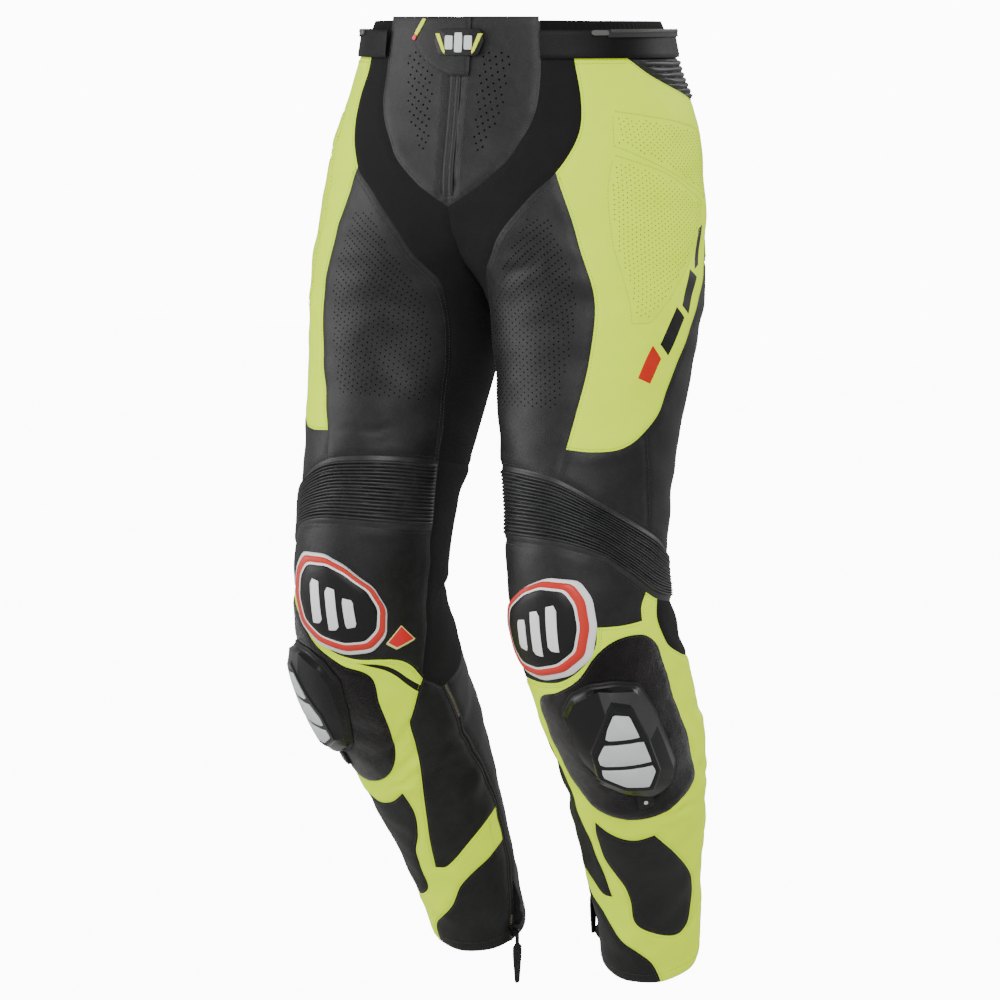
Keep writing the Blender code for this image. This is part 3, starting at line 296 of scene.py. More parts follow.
    def girth_degree(self, down: Array) -> Array:
        """A ring's girth over 360, for flat widths.

        Args:
            down: metres down the leg.

        Returns:
            Metres for one degree at each level.
        """
        levels = np.linspace(0, self.end, 60)
        turns = np.linspace(0, 360, 73)[:-1]
        girths = self.degree(turns[None, :], levels[:, None]).mean(1)
        return np.interp(down, levels, girths)

    def beside(self, line: Array, aside: float) -> Array:
        """A line of places moved aside on the cloth.

        Args:
            line: places (turn, down), one row each.
            aside: metres, to the left of the line's run as seen from outside.

        Returns:
            The moved places.
        """
        points = self.point(line[:, 0], line[:, 1])
        tangent = unit(np.gradient(points, axis=0))
        normal = self.outward(line[:, 0], line[:, 1])
        across = np.cross(normal, tangent) * aside
        per_turn = self.point(line[:, 0] + 0.5, line[:, 1]) - self.point(line[:, 0] - 0.5, line[:, 1])
        per_down = (self.point(line[:, 0], line[:, 1] + 0.001)
                    - self.point(line[:, 0], line[:, 1] - 0.001)) / 0.002
        aa, bb = (per_turn**2).sum(1), (per_down**2).sum(1)
        ab = (per_turn * per_down).sum(1)
        ca, cb = (per_turn * across).sum(1), (per_down * across).sum(1)
        bottom = np.maximum(aa * bb - ab**2, 1e-15)
        return line + np.stack([(ca * bb - cb * ab) / bottom, (cb * aa - ca * ab) / bottom], 1)


LEG = LegShape()
LEG_END = LEG.end


# ---------------------------------------------------------------- seams
ZIP_LINE: tuple[Row, ...] = (
    ("Z", -86, 0.735), ("", -88, 0.810), ("", -96, 0.870), ("A", -101, 0.920),
    ("B", -101, 0.965), ("", -90, 1.020), ("H", -70, LEG_END))


def zip_edge(mark: str, sign: int) -> tuple[Row, ...]:
    """One edge of the calf zip, with its places named by mark.

    Args:
        mark: what the places' names end with.
        sign: +1 for the front edge, -1 for the back one.

    Returns:
        The edge's places.
    """
    return tuple((name + mark if name else "",
                  turn + sign * ZIP_HALF / float(LEG.degree(turn, down)), down)
                 for name, turn, down in ZIP_LINE)


ZIP_FRONT, ZIP_BACK = zip_edge("f", +1), zip_edge("b", -1)


def place_of(rows: Iterable[Row], name: str) -> Place:
    """The place that a name marks."""
    return next((turn, down) for label, turn, down in rows if label == name)


def centre_front(down: float) -> Place:
    """Where the front's centre line is."""
    return (LEG.turn_at(HALF_GAP, down), down)


def centre_back(down: float) -> Place:
    """Where the back's centre line is."""
    return (LEG.turn_at(HALF_GAP, down, back=True), down)


def fly_edge(down: float) -> Place:
    """Where the fly zip's edge is."""
    return (LEG.turn_at(FLY_HALF + HALF_GAP, down), down)


SEAMS: dict[str, tuple[Row, ...]] = {
    "waist": (("W0", 30, 0.040), ("W1", 42, 0.040), ("R0", 64, 0.040), ("", 100, 0.040),
              ("", 140, 0.040), ("W2", *centre_back(0.040))),
    "yoke_side": (("Y0", 31, 0.0), ("W0", 30, 0.040), ("", 28, 0.065), ("", 24, 0.095),
                  ("", 17, 0.125), ("", 9, 0.152), ("", -3, 0.178), ("", -14, 0.195),
                  ("Y1", *centre_front(YOKE_TIP))),
    "front_style": (("W1", 42, 0.040), ("", 41, 0.080), ("", 37, 0.120), ("J1", 27, 0.162),
                    ("", 17, 0.186), ("", 6, 0.212), ("", -7, 0.240), ("", -20, 0.266),
                    ("", -34, 0.286), ("", -48, 0.305), ("", -58, 0.335), ("", -64, 0.375),
                    ("", -68, 0.420), ("K1", -74, 0.484), ("", -78, 0.520), ("K2", -81, 0.556),
                    ("", -83, 0.600), ("", -80, 0.650), ("", -74, 0.681), ("S1", -67, 0.710)),
    "thigh_side": (("J1", 27, 0.162), ("", 28, 0.220), ("", 27, 0.280), ("", 27, 0.330),
                   ("", 25, 0.380), ("", 20, 0.425), ("N1", 14, 0.464), ("K3", 9, 0.492)),
    "neon_edge": (("N1", 14, 0.464), ("", 32, 0.464), ("", 50, 0.458), ("N2", 65, 0.440),
                  ("", 76, 0.415), ("", 84, 0.375), ("", 93, 0.335), ("", 102, 0.300),
                  ("N3", 112, 0.255), ("", 118, 0.200), ("", 120, 0.150), ("R1", 117, 0.087)),
    "rib_lower": (("R0", 64, 0.040), ("", 76, 0.058), ("", 95, 0.073), ("R1", 117, 0.087),
                  ("", 150, 0.099), ("R2", *centre_back(RIB_END))),
    "seat_lower": (("N3", 112, 0.255), ("", 150, 0.268), ("", 190, 0.275), ("", 213, 0.273),
                   ("G1", *centre_back(SEAT_END))),
    "outer_thigh": (("N2", 65, 0.440), ("", 72, 0.485), ("K4", 79, 0.535)),
    "back_thigh": (("G1", *centre_back(SEAT_END)), ("", 238, 0.310), ("", 236, 0.370),
                   ("", 232, 0.430), ("H1", 226, 0.487), ("", 212, 0.535), ("", 185, 0.562),
                   ("", 155, 0.570), ("K5", 128, 0.568)),
    "inner_split": (("K1", -74, 0.484), ("", -104, 0.487), ("H1", -134, 0.487)),
    "knee_top": (("K1", -74, 0.484), ("", -40, 0.484), ("", -10, 0.487), ("K3", 9, 0.492),
                 ("", 37, 0.509), ("", 58, 0.522), ("K4", 79, 0.535), ("", 103, 0.552),
                 ("K5", 128, 0.568)),
    "knee_end": (("K5", 128, 0.568), ("", 129, 0.595), ("K6", 128, 0.622)),
    "knee_bottom": (("K2", -81, 0.556), ("", -40, 0.552), ("", 5, 0.551), ("", 38, 0.559),
                    ("", 58, 0.575), ("P1", 75, 0.592), ("P2", 86, 0.602), ("", 106, 0.612),
                    ("K6", 128, 0.622)),
    "strip_side": (("P1", 75, 0.592), ("", 70, 0.605), ("P3", 69, 0.618)),
    "strip_low": (("P3", 69, 0.618), ("", 52, 0.618), ("P4", 34.5, 0.617)),
    "knee_low": (("P4", 34.5, 0.617), ("", 31, 0.634), ("", 19, 0.651), ("", 0, 0.665),
                 ("", -18, 0.671), ("", -37, 0.674), ("", -52, 0.680), ("", -61, 0.692),
                 ("S1", -67, 0.710)),
    "calf_top": (("P2", 86, 0.602), ("", 84, 0.621), ("", 87, 0.641), ("", 92, 0.655),
                 ("", 106, 0.674), ("", 126, 0.695), ("B2", 150, 0.712), ("", 180, 0.724),
                 ("", 215, 0.733), ("", 250, 0.736), ("Zb", *place_of(ZIP_BACK, "Zb")),
                 ("Zf", *place_of(ZIP_FRONT, "Zf")), ("", -75, 0.722), ("S1", -67, 0.710)),
    "calf_front": (("S1", -67, 0.710), ("", -56, 0.733), ("", -45, 0.757), ("", -42, 0.783),
                   ("", -37, 0.820), ("", -27, 0.870), ("", -18, 0.915), ("T1", -10, 0.962)),
    "band_top": (("T1", -10, 0.962), ("", -22, 0.962), ("", -50, 0.938), ("", -78, 0.923),
                 ("Af", *place_of(ZIP_FRONT, "Af"))),
    "cuff_top": (("Bf", *place_of(ZIP_FRONT, "Bf")), ("", -78, 0.966), ("", -50, 0.975),
                 ("", -30, 0.990), ("", -12, 1.018), ("", 8, 1.038), ("", 24, 1.054),
                 ("", 32, 1.075), ("C1", 34, LEG_END)),
    "back_calf": (("B2", 150, 0.712), ("", 151, 0.800), ("", 151, 0.900), ("", 150, 1.000),
                  ("C2", 150, LEG_END)),
    "hem": (("Hf", *place_of(ZIP_FRONT, "Hf")), ("", -40, LEG_END), ("", 0, LEG_END),
            ("C1", 34, LEG_END), ("", 70, LEG_END), ("", 110, LEG_END), ("C2", 150, LEG_END),
            ("", 190, LEG_END), ("", 230, LEG_END), ("Hb", *place_of(ZIP_BACK, "Hb"))),
    "zip_front": ZIP_FRONT,
    "zip_back": ZIP_BACK,
}

SHIN_INSET: tuple[Row, ...] = (
    ("corner", -13, 0.850), ("", -14, 0.880), ("", -8, 0.912), ("", 5, 0.942),
    ("", 9, 0.965), ("", 11, 0.995), ("", 24, 1.010), ("", 48, 1.024),
    ("", 64, 1.026), ("", 75, 1.012), ("", 80, 0.980), ("", 76, 0.950),
    ("", 58, 0.910), ("corner", 38, 0.870), ("", 20, 0.873), ("", 3, 0.866))
PATCH: tuple[Row, ...] = (
    ("", -28, 0.690), ("", -6, 0.676), ("", 14, 0.661), ("", 30, 0.641),
    ("", 43, 0.631), ("", 57, 0.628), ("", 70, 0.633), ("", 78, 0.650),
    ("", 81, 0.700), ("", 83, 0.750), ("", 84, 0.795), ("", 80, 0.820),
    ("", 62, 0.833), ("", 38, 0.841), ("", 14, 0.838), ("", -8, 0.823),
    ("", -22, 0.797), ("", -28, 0.760), ("", -29, 0.722))
BADGE: tuple[Row, ...] = (("corner", -57, 0.644), ("corner", -67, 0.663),
                          ("corner", -51, 0.667), ("corner", -44, 0.659))
UPPER_ZONE: tuple[Row, ...] = (("corner", 52, 0.095), ("", 83, 0.107), ("corner", 104, 0.116),
                               ("", 108, 0.150), ("corner", 106, 0.184), ("", 76, 0.157),
                               ("corner", 50, 0.129))
LOWER_ZONE: tuple[Row, ...] = (("corner", 49, 0.143), ("", 72, 0.162), ("corner", 102, 0.193),
                               ("", 93, 0.243), ("", 75, 0.290), ("corner", 58, 0.330),
                               ("corner", 48, 0.333), ("", 44, 0.270), ("", 45, 0.190))

# Plain printed bars: a slanted row of stripes on the thigh, a thin line below the knee.
THIGH_PRINTS: Prints = (
    ("print_black", (("corner", 98, 0.222), ("corner", 103, 0.216), ("corner", 99, 0.262),
                     ("corner", 94, 0.268))),
    ("print_black", (("corner", 89, 0.268), ("corner", 96, 0.276), ("corner", 88, 0.318),
                     ("corner", 81, 0.310))),
    ("print_black", (("corner", 76, 0.312), ("corner", 84, 0.322), ("corner", 75, 0.362),
                     ("corner", 67, 0.352))),
    ("print_red", (("corner", 62, 0.354), ("corner", 70, 0.366), ("corner", 64, 0.392),
                   ("corner", 55, 0.388))),
)
SHIN_PRINTS: Prints = (
    ("print_black", (("corner", -20, 0.6745), ("", -32, 0.6770), ("", -41, 0.6812),
                     ("", -48, 0.6888), ("", -56, 0.7030), ("corner", -64.2, 0.7170),
                     ("corner", -60.8, 0.7235), ("", -54, 0.7100), ("", -47, 0.6955),
                     ("", -40, 0.6862), ("", -31, 0.6800))),
)


@dataclass
class SeamPattern:
    """Fine places along every seam of one half."""

    step: float = 0.004
    flat_scale: float = 0.0016
    lines: dict[str, list[Row]] = field(default_factory=dict)

    def __post_init__(self) -> None:
        """Draw every seam."""
        self.lines = {name: self.curve(rows) for name, rows in SEAMS.items()}
        self.lines["centre"] = self.centre_seam()
        self.lines["back_high"] = self.straight(centre_back, WAIST_DOWN, RIB_END, "W2", "R2")
        self.lines["back_low"] = self.straight(centre_back, RIB_END, SEAT_END, "R2", "G1")
        self.lines["fly"] = self.straight(fly_edge, 0.0, FLY_END, "F0", "F1")
        self.lines["fly_foot"] = [("F1", *fly_edge(FLY_END)), ("", *centre_front(FLY_END)),
                                  *self.straight(centre_front, FLY_END, YOKE_TIP, "", "Y1")[1:]]
        top = np.linspace(fly_edge(0.0)[0], 31, 22)
        self.lines["yoke_top"] = [("", float(turn), 0.0) for turn in top]
        self.lines["yoke_top"][0] = ("F0", *fly_edge(0.0))
        self.lines["yoke_top"][-1] = ("Y0", 31, 0.0)
        for name, ends in (("zip_head", ("Zf", "Zb")), ("zip_foot", ("Hf", "Hb"))):
            self.lines[name] = [(ends[0], *place_of(ZIP_FRONT, ends[0])),
                                (ends[1], *place_of(ZIP_BACK, ends[1]))]

    @staticmethod
    def unwrapped(rows: Sequence[Row]) -> list[Row]:
        """Turns brought within half a circle of the one before.

        Args:
            rows: places, each with its name.

        Returns:
            The same places.
        """
        fixed: list[Row] = []
        for name, turn, down in rows:
            if fixed:
                turn += 360 * round((fixed[-1][1] - turn) / 360)
            fixed.append((name, turn, down))
        return fixed

    def curve(self, rows: Sequence[Row], closed: bool = False,
              step: float | None = None) -> list[Row]:
        """Places along a smooth curve through rows.

        Args:
            rows: named places; "corner" marks a sharp one on a closed outline.
            closed: whether the last row joins the first.
            step: metres between places, the pattern's own by default.

        Returns:
            The places, with the rows' names kept where they stood.
        """
        step = step or self.step
        rows = self.unwrapped(rows)
        corners = [i for i, row in enumerate(rows) if row[0] == "corner"]
        if closed and corners:
            order = rows[corners[0]:] + rows[:corners[0]]
            stops = [i for i, row in enumerate(order) if row[0] == "corner"] + [len(order)]
            samples: list[Row] = []
            for low, high in zip(stops, stops[1:]):
                part = order[low:high] + [order[high % len(order)]]
                samples += self.curve([("", t, d) for _, t, d in part], step=step)[:-1]
            return samples
        flats = [np.array([turn * self.flat_scale, down]) for _, turn, down in rows]
        count = len(rows)
        samples = []
        for i in range(count if closed else count - 1):
            start, end = flats[i], flats[(i + 1) % count]
            before = flats[i - 1] if closed or i > 0 else start - (end - start)
            after = flats[(i + 2) % count] if closed or i + 2 < count else end + (end - start)
            reach = np.linalg.norm(end - start)
            leave = (end - before) / max(np.linalg.norm(end - before), 1e-9) * reach
            arrive = (after - start) / max(np.linalg.norm(after - start), 1e-9) * reach
            here, there = rows[i], rows[(i + 1) % count]
            apart = np.linalg.norm(LEG.point(here[1], here[2]) - LEG.point(there[1], there[2]))
            parts = max(1, ceil(apart / step - 0.35))
            for k in range(parts):
                t = k / parts
                x, y = ((2 * t**3 - 3 * t**2 + 1) * start + (t**3 - 2 * t**2 + t) * leave
                        + (3 * t**2 - 2 * t**3) * end + (t**3 - t**2) * arrive)
                samples.append((here[0] if k == 0 else "", x / self.flat_scale, y))
        if not closed:
            samples.append(rows[-1])
        return samples

    def centre_seam(self) -> list[Row]:
        """Down the centre front, through the crotch and up to the seat seam.

        Returns:
            The places.
        """
        front_steps, back_steps = 34, 10
        rows: list[Row] = [("Y1", *centre_front(YOKE_TIP))]
        for i in range(1, front_steps):
            left = (1 - i / front_steps)**2
            rows.append(("", *centre_front(LEG.crotch - (LEG.crotch - YOKE_TIP) * left)))
        rows.append(("X0", -90.0, LEG.crotch))
        for i in range(1, back_steps):
            left = (i / back_steps)**2
            rows.append(("", *centre_back(LEG.crotch - (LEG.crotch - SEAT_END) * left)))
        rows.append(("G1", *centre_back(SEAT_END)))
        return self.unwrapped(rows)

    def straight(self, place: Callable[[float], Place], start: float, end: float,
                 first: str, last: str) -> list[Row]:
        """Places along a line that a function gives for each distance down.

        Args:
            place: gives the place at a distance down.
            start: metres down where it starts.
            end: metres down where it ends.
            first: name of the first place.
            last: name of the last place.

        Returns:
            The places.
        """
        count = max(1, round((end - start) / self.step))
        rows = [("", *place(start + (end - start) * i / count)) for i in range(count + 1)]
        rows[0] = (first, *rows[0][1:])
        rows[-1] = (last, *rows[-1][1:])
        return rows

    def run(self, seam: str, start: str, end: str) -> list[Row]:
        """The places of a seam between two of its named ones, in that order.

        Args:
            seam: name of the seam.
            start: name of the first place.
            end: name of the last place.

        Returns:
            The places.
        """
        rows = self.lines[seam]
        names = [row[0] for row in rows]
        i, j = names.index(start), names.index(end)
        return rows[i:j + 1] if i < j else rows[j:i + 1][::-1]

    def outline(self, runs: Sequence[tuple[str, str, str]]) -> Array:
        """A panel's closed outline from its runs of seam.

        Args:
            runs: name, first and last place of each run of seam.

        Returns:
            The outline's places.
        """
        rows: list[Row] = []
        for seam, start, end in runs:
            rows += self.run(seam, start, end)[:-1]
        return np.array([(turn, down) for _, turn, down in self.unwrapped(rows)])

    def line(self, seam: str, start: str, end: str) -> Array:
        """A run of seam as places."""
        return np.array([(t, d) for _, t, d in self.unwrapped(self.run(seam, start, end))])

    def loop(self, rows: Sequence[Row], step: float | None = None) -> Array:
        """A closed outline laid on a panel, as places."""
        return np.array([(turn, down) for _, turn, down in self.curve(rows, True, step)])


# ---------------------------------------------------------------- how the cloth lies
class Side(Enum):
    """The wearer's two sides, as a tag and the sign of x."""

    LEFT = ("L", 1.0)
    RIGHT = ("R", -1.0)

    @property
    def tag(self) -> str:
        """The letter at the end of node names."""
        return self.value[0]

    @property
    def sign(self) -> float:
        """The sign of x."""
        return self.value[1]


@dataclass(frozen=True)
class Crease:
    """A soft, uneven trough with raised shoulders, from one place to another.

    A negative depth makes a ridge.
    """

    start: Place
    end: Place
    width: float
    depth: float
    bow: float = 0.0
    swing: float = 0.0016       # how far it wanders to either side
    unevenness: float = 0.2
    shoulder_at: float = 1.9    # widths from the middle
    shoulder: float = 0.42      # share of the depth

    def height(self, turn: Array, down: Array, metre: Array) -> Array:
        """What it adds to the cloth's height.

        Args:
            turn: degrees round the leg.
            down: metres down the leg.
            metre: metres for one degree at each place.

        Returns:
            Metres at each place.
        """
        middle = (self.start[0] + self.end[0]) / 2
        x = ((turn - middle + 180) % 360 - 180) * metre
        x0 = (self.start[0] - middle) * metre
        dx, dy = -2 * x0, self.end[1] - self.start[1]
        length = np.sqrt(dx**2 + dy**2)
        ex, ey = dx / length, dy / length
        px, py = x - x0, down - self.start[1]
        share = (px * ex + py * ey) / length
        bow = self.bow * 4 * share * (1 - share)
        aside = (py * ex - px * ey) - (bow + self.swing * np.sin(share * 9 + self.start[0]))
        taper = np.clip(share, 0, 1) * np.clip(1 - share, 0, 1) * 4
        uneven = 1 - self.unevenness + self.unevenness * np.sin(share * 13 + self.start[1] * 90)
        core = np.exp(-(aside / self.width)**2)
        raised = np.exp(-((np.abs(aside) - self.shoulder_at * self.width) / self.width)**2)
        return self.depth * taper**0.7 * uneven * (self.shoulder * raised - core)


# The slight unevenness of worn leather: waves round the leg, radians a metre down, height.
SURFACE_WAVES = ((3, 61.0, 0.00035), (5, 97.0, 0.00030), (8, 143.0, 0.00022), (2, 190.0, 0.00016))


@dataclass(frozen=True)
class Lie:
    """How the cloth of one side lies over the leg's plain form."""

    creases: tuple[Crease, ...]
    phase: float

    def height(self, turn: Array, down: Array) -> Array:
        """Metres above the plain form at each place.

        Args:
            turn: degrees round the leg.
            down: metres down the leg.

        Returns:
            Metres at each place.
        """
        turn, down = np.broadcast_arrays(np.asarray(turn, float), np.asarray(down, float))
        metre = LEG.girth_degree(down)
        total = np.zeros(turn.shape)
        for crease in self.creases:
            total += crease.height(turn, down, metre)
        angle = np.radians(turn)
        for around, along, size in SURFACE_WAVES:
            total += size * np.sin(around * angle + along * down + self.phase * around)
            total += size * np.sin(around * angle - along * 0.8 * down + self.phase * 2)
        calm = np.exp(-((down - 0.02) / 0.05)**2)
        return total * (1 - 0.8 * calm)


COMMON_CREASES: tuple[Crease, ...] = (
    Crease((-60, 0.300), (-120, 0.345), 0.0060, 0.0022, 0.004),
    Crease((150, 0.285), (215, 0.300), 0.0055, 0.0024, 0.003),
    Crease((140, 0.330), (190, 0.318), 0.0050, 0.0016),
    Crease((165, 0.240), (205, 0.215), 0.0060, 0.0016, -0.004),
    Crease((195, 0.460), (150, 0.520), 0.0055, 0.0018, 0.004),
    Crease((165, 0.590), (235, 0.600), 0.0045, 0.0026, -0.003),
    Crease((150, 0.640), (225, 0.645), 0.0045, 0.0030, 0.004),
    Crease((160, 0.685), (220, 0.676), 0.0050, 0.0022, -0.003),
    Crease((-95, 0.640), (-140, 0.615), 0.0050, 0.0022, 0.002),
    Crease((175, 0.780), (235, 0.815), 0.0060, 0.0020, 0.004),
    Crease((160, 0.880), (215, 0.850), 0.0065, 0.0018, -0.004),
    Crease((170, 0.990), (230, 1.010), 0.0050, 0.0014, 0.003),
    Crease((105, 0.740), (140, 0.790), 0.0060, 0.0018, 0.003),
    Crease((98, 0.840), (140, 0.870), 0.0060, 0.0018, -0.004),
    Crease((92, 0.930), (135, 0.905), 0.0060, 0.0016, 0.003),
)
LEFT_CREASES: tuple[Crease, ...] = COMMON_CREASES + (
    Crease((-30, 0.300), (10, 0.262), 0.0060, 0.0016, 0.004),
    Crease((84, 0.700), (104, 0.790), 0.0060, 0.0020, 0.003),
    Crease((86, 0.858), (44, 0.846), 0.0046, 0.0024, 0.002),
    Crease((88, 0.800), (112, 0.850), 0.0060, 0.0024, 0.003),
    Crease((74, 1.030), (100, 1.000), 0.0050, 0.0020, 0.002),
)
RIGHT_CREASES: tuple[Crease, ...] = COMMON_CREASES + (
    Crease((-18, 0.795), (-54, 0.750), 0.0042, 0.0034, 0.003),
    Crease((-14, 0.828), (-46, 0.792), 0.0044, 0.0036, 0.003),
    Crease((-6, 0.846), (-34, 0.826), 0.0036, 0.0026, 0.002),
    Crease((-34, 0.824), (-96, 0.818), 0.0090, -0.0030, 0.004),
    Crease((-34, 0.873), (-96, 0.864), 0.0100, -0.0026, -0.004),
    Crease((-30, 0.930), (-80, 0.905), 0.0070, 0.0018, 0.003),
    Crease((-40, 0.455), (5, 0.462), 0.0030, 0.0016, 0.002),
)
LIES = {Side.LEFT: Lie(LEFT_CREASES, 0.7), Side.RIGHT: Lie(RIGHT_CREASES, 2.9)}


def on_cloth(side: Side, turn: Array, down: Array, lift: Array | float = 0.0
             ) -> tuple[Array, Array]:
    """Points above the cloth as it lies, and its normals there.

    Args:
        side: the side of the wearer.
        turn: degrees round the leg.
        down: metres down the leg.
        lift: metres above the cloth.

    Returns:
        The points and the unit normals.
    """
    normals = LEG.outward(turn, down)
    height = LIES[side].height(turn, down) + lift
    return LEG.point(turn, down) + normals * height[..., None], normals


# ---------------------------------------------------------------- flat meshing
def chunked(points: Array, work: Callable[[Array], Array], size: int = 1500) -> Array:
    """A function of many points, worked out a part at a time.

    Args:
        points: points, one row each.
        work: the function of some of the points.
        size: how many at a time.

    Returns:
        What it gives for each point.
    """
    if not len(points):
        return np.zeros(0)
    return np.concatenate([work(points[i:i + size]) for i in range(0, len(points), size)])


def inside(points: Array, loop: Array) -> Array:
    """Which flat points lie inside a closed loop.

    Args:
        points: points, one row each.
        loop: a closed outline.

    Returns:
        True for each point inside.
    """
    x0, y0 = loop[:, 0], loop[:, 1]
    x1, y1 = np.roll(x0, -1), np.roll(y0, -1)
    drop = np.where(y1 == y0, 1e-12, y1 - y0)

    def work(part: Array) -> Array:
        """Which of some points lie inside."""
        x, y = part[:, 0:1], part[:, 1:2]
        crosses = (y0 > y) != (y1 > y)
        return (crosses & (x < (x1 - x0) * (y - y0) / drop + x0)).sum(1) % 2 == 1
    return chunked(points, work).astype(bool)


def laid_flat(places: Array, middle: float, finer_down: float = 1.0) -> Array:
    """Places as flat metres about a middle turn."""
    return np.stack([(places[:, 0] - middle) * LEG.girth_degree(places[:, 1]),
                     places[:, 1] * finer_down], 1)


def clearance(points: Array, starts: Array, ends: Array) -> Array:
    """The distance from points, flat or in space, to the nearest of many segments.

    Args:
        points: points, one row each.
        starts: where each segment starts.
        ends: where each segment ends.

    Returns:
        Metres for each point.
    """
    run = ends - starts
    size = np.maximum((run**2).sum(1), 1e-14)

    def work(part: Array) -> Array:
        """The distances of some points."""
        apart = part[:, None, :] - starts[None, :, :]
        share = np.clip((apart * run).sum(2) / size, 0, 1)
        return np.sqrt(((apart - run * share[..., None])**2).sum(2).min(1))
    return chunked(points, work, 600)


class PatternMesh:
    """Triangles of one panel, laid flat in metres."""

    def __init__(self, outline: Array, holes: Sequence[Array] = (), marks: Sequence[Array] = (),
                 step: float = 0.0048, finer_down: float = 1.0) -> None:
        """Mesh a panel.

        Args:
            outline: the closed outline, places in order.
            holes: outlines cut out of it.
            marks: closed lines that the triangles follow.
            step: size of the triangles in metres.
            finer_down: how much finer the mesh is down the leg than around it.
        """
        self.middle = (outline[:, 0].min() + outline[:, 0].max()) / 2
        self.step, self.finer = step, finer_down
        loops = [np.asarray(outline), *[np.asarray(hole) for hole in holes]]
        places, edges, flats = [], [], []
        first = 0
        for loop in [*loops, *[np.asarray(mark) for mark in marks]]:
            count = len(loop)
            places.append(loop)
            edges += [(first + i, first + (i + 1) % count) for i in range(count)]
            first += count
        fixed = np.vstack(places)
        borders = [self.flat(loop) for loop in loops]
        spots = self.flat(fixed)
        pairs = np.array(edges)
        grid = self.grid(borders, spots[pairs[:, 0]], spots[pairs[:, 1]])
        spots = np.vstack([spots, grid])
        scaled = [Vector((x / step, y / step)) for x, y in spots]
        found = delaunay_2d_cdt(scaled, edges, [], 0, 1e-7)
        first_input = np.array([ins[0] if ins else -1 for ins in found[3]])
        spots = np.array([tuple(point) for point in found[0]]) * step
        known = np.vstack([fixed, self.unflat(grid)]) if len(grid) else fixed
        self.places = np.where((first_input >= 0)[:, None], known[first_input],
                               self.unflat(spots))
        faces = np.array([tuple(face) for face in found[2]])
        a, b, c = (spots[faces[:, k]] for k in range(3))
        keep = inside((a + b + c) / 3, borders[0])
        for border in borders[1:]:
            keep &= ~inside((a + b + c) / 3, border)
        turned = (b[:, 0] - a[:, 0]) * (c[:, 1] - a[:, 1]) - (b[:, 1] - a[:, 1]) * (c[:, 0] - a[:, 0])
        keep &= np.abs(turned) > 1e-5 * step**2
        faces = np.where((turned > 0)[:, None], faces, faces[:, ::-1])[keep]
        used, numbers = np.unique(faces, return_inverse=True)
        self.faces = numbers.reshape(-1, 3)
        self.places, self.flats = self.places[used], spots[used]
        self.outline = np.asarray(outline)
        self.measure()

    def measure(self) -> None:
        """Find the border, and how far each point is from it."""
        sides = np.vstack([self.faces[:, [0, 1]], self.faces[:, [1, 2]], self.faces[:, [2, 0]]])
        keys = {(int(a), int(b)) for a, b in sides}
        self.border = {a: b for a, b in keys if (b, a) not in keys}
        starts = np.array(list(self.border.keys()))
        ends = np.array(list(self.border.values()))
        points = LEG.point(self.places[:, 0], self.places[:, 1])
        self.edge_gap = clearance(points, points[starts], points[ends])
        self.edge_gap[starts] = 0.0

    def flat(self, places: Array) -> Array:
        """Places as flat metres."""
        return laid_flat(places, self.middle, self.finer)

    def unflat(self, spots: Array) -> Array:
        """Flat metres as places."""
        down = spots[:, 1] / self.finer
        return np.stack([self.middle + spots[:, 0] / LEG.girth_degree(down), down], 1)

    def grid(self, borders: Sequence[Array], starts: Array, ends: Array) -> Array:
        """Staggered points inside the outline, clear of every edge.

        Args:
            borders: the outline and the holes, laid flat.
            starts: where each segment starts.
            ends: where each segment ends.

        Returns:
            The flat points.
        """
        low, high = borders[0].min(0), borders[0].max(0)
        rows = np.arange(low[1] + 0.4 * self.step, high[1], self.step * 0.87)
        columns = np.arange(low[0], high[0] + self.step, self.step)
        spots = staggered(rows, columns, 0.5 * self.step)
        keep = inside(spots, borders[0])
        for border in borders[1:]:
            keep &= ~inside(spots, border)
        spots = spots[keep]
        return spots[clearance(spots, starts, ends) > 0.6 * self.step]

    def cut_size(self) -> tuple[float, float]:
        """The greatest width and length of the panel, measured on the leg.

        Returns:
            Width and length in metres.
        """
        sizes = []
        for fixed, moving in ((1, 0), (0, 1)):
            best = 0.0
            values = self.outline[:, fixed]
            for level in np.linspace(values.min(), values.max(), 42)[1:-1]:
                after = np.roll(self.outline, -1, axis=0)
                crossing = (values > level) != (after[:, fixed] > level)
                share = (level - values[crossing]) / (after[crossing, fixed] - values[crossing])
                ends = (self.outline[crossing, moving] * (1 - share)
                        + after[crossing, moving] * share)
                run = np.linspace(ends.min(), ends.max(), 30)
                turn, down = (run, level) if fixed else (level, run)
                points = LEG.point(turn, np.broadcast_to(down, run.shape))
                best = max(best, float(np.linalg.norm(np.diff(points, axis=0), axis=1).sum()))
            sizes.append(best)
        return sizes[0], sizes[1]


def rolled_edge(gap: Array, drop: float = 0.0011, reach: float = 0.0030) -> Array:
    """How far a sewn edge rolls in, by the distance from it."""
    return -drop * np.exp(-(gap / reach)**2) + 0.0003 * np.exp(-((gap - 0.006) / 0.004)**2)


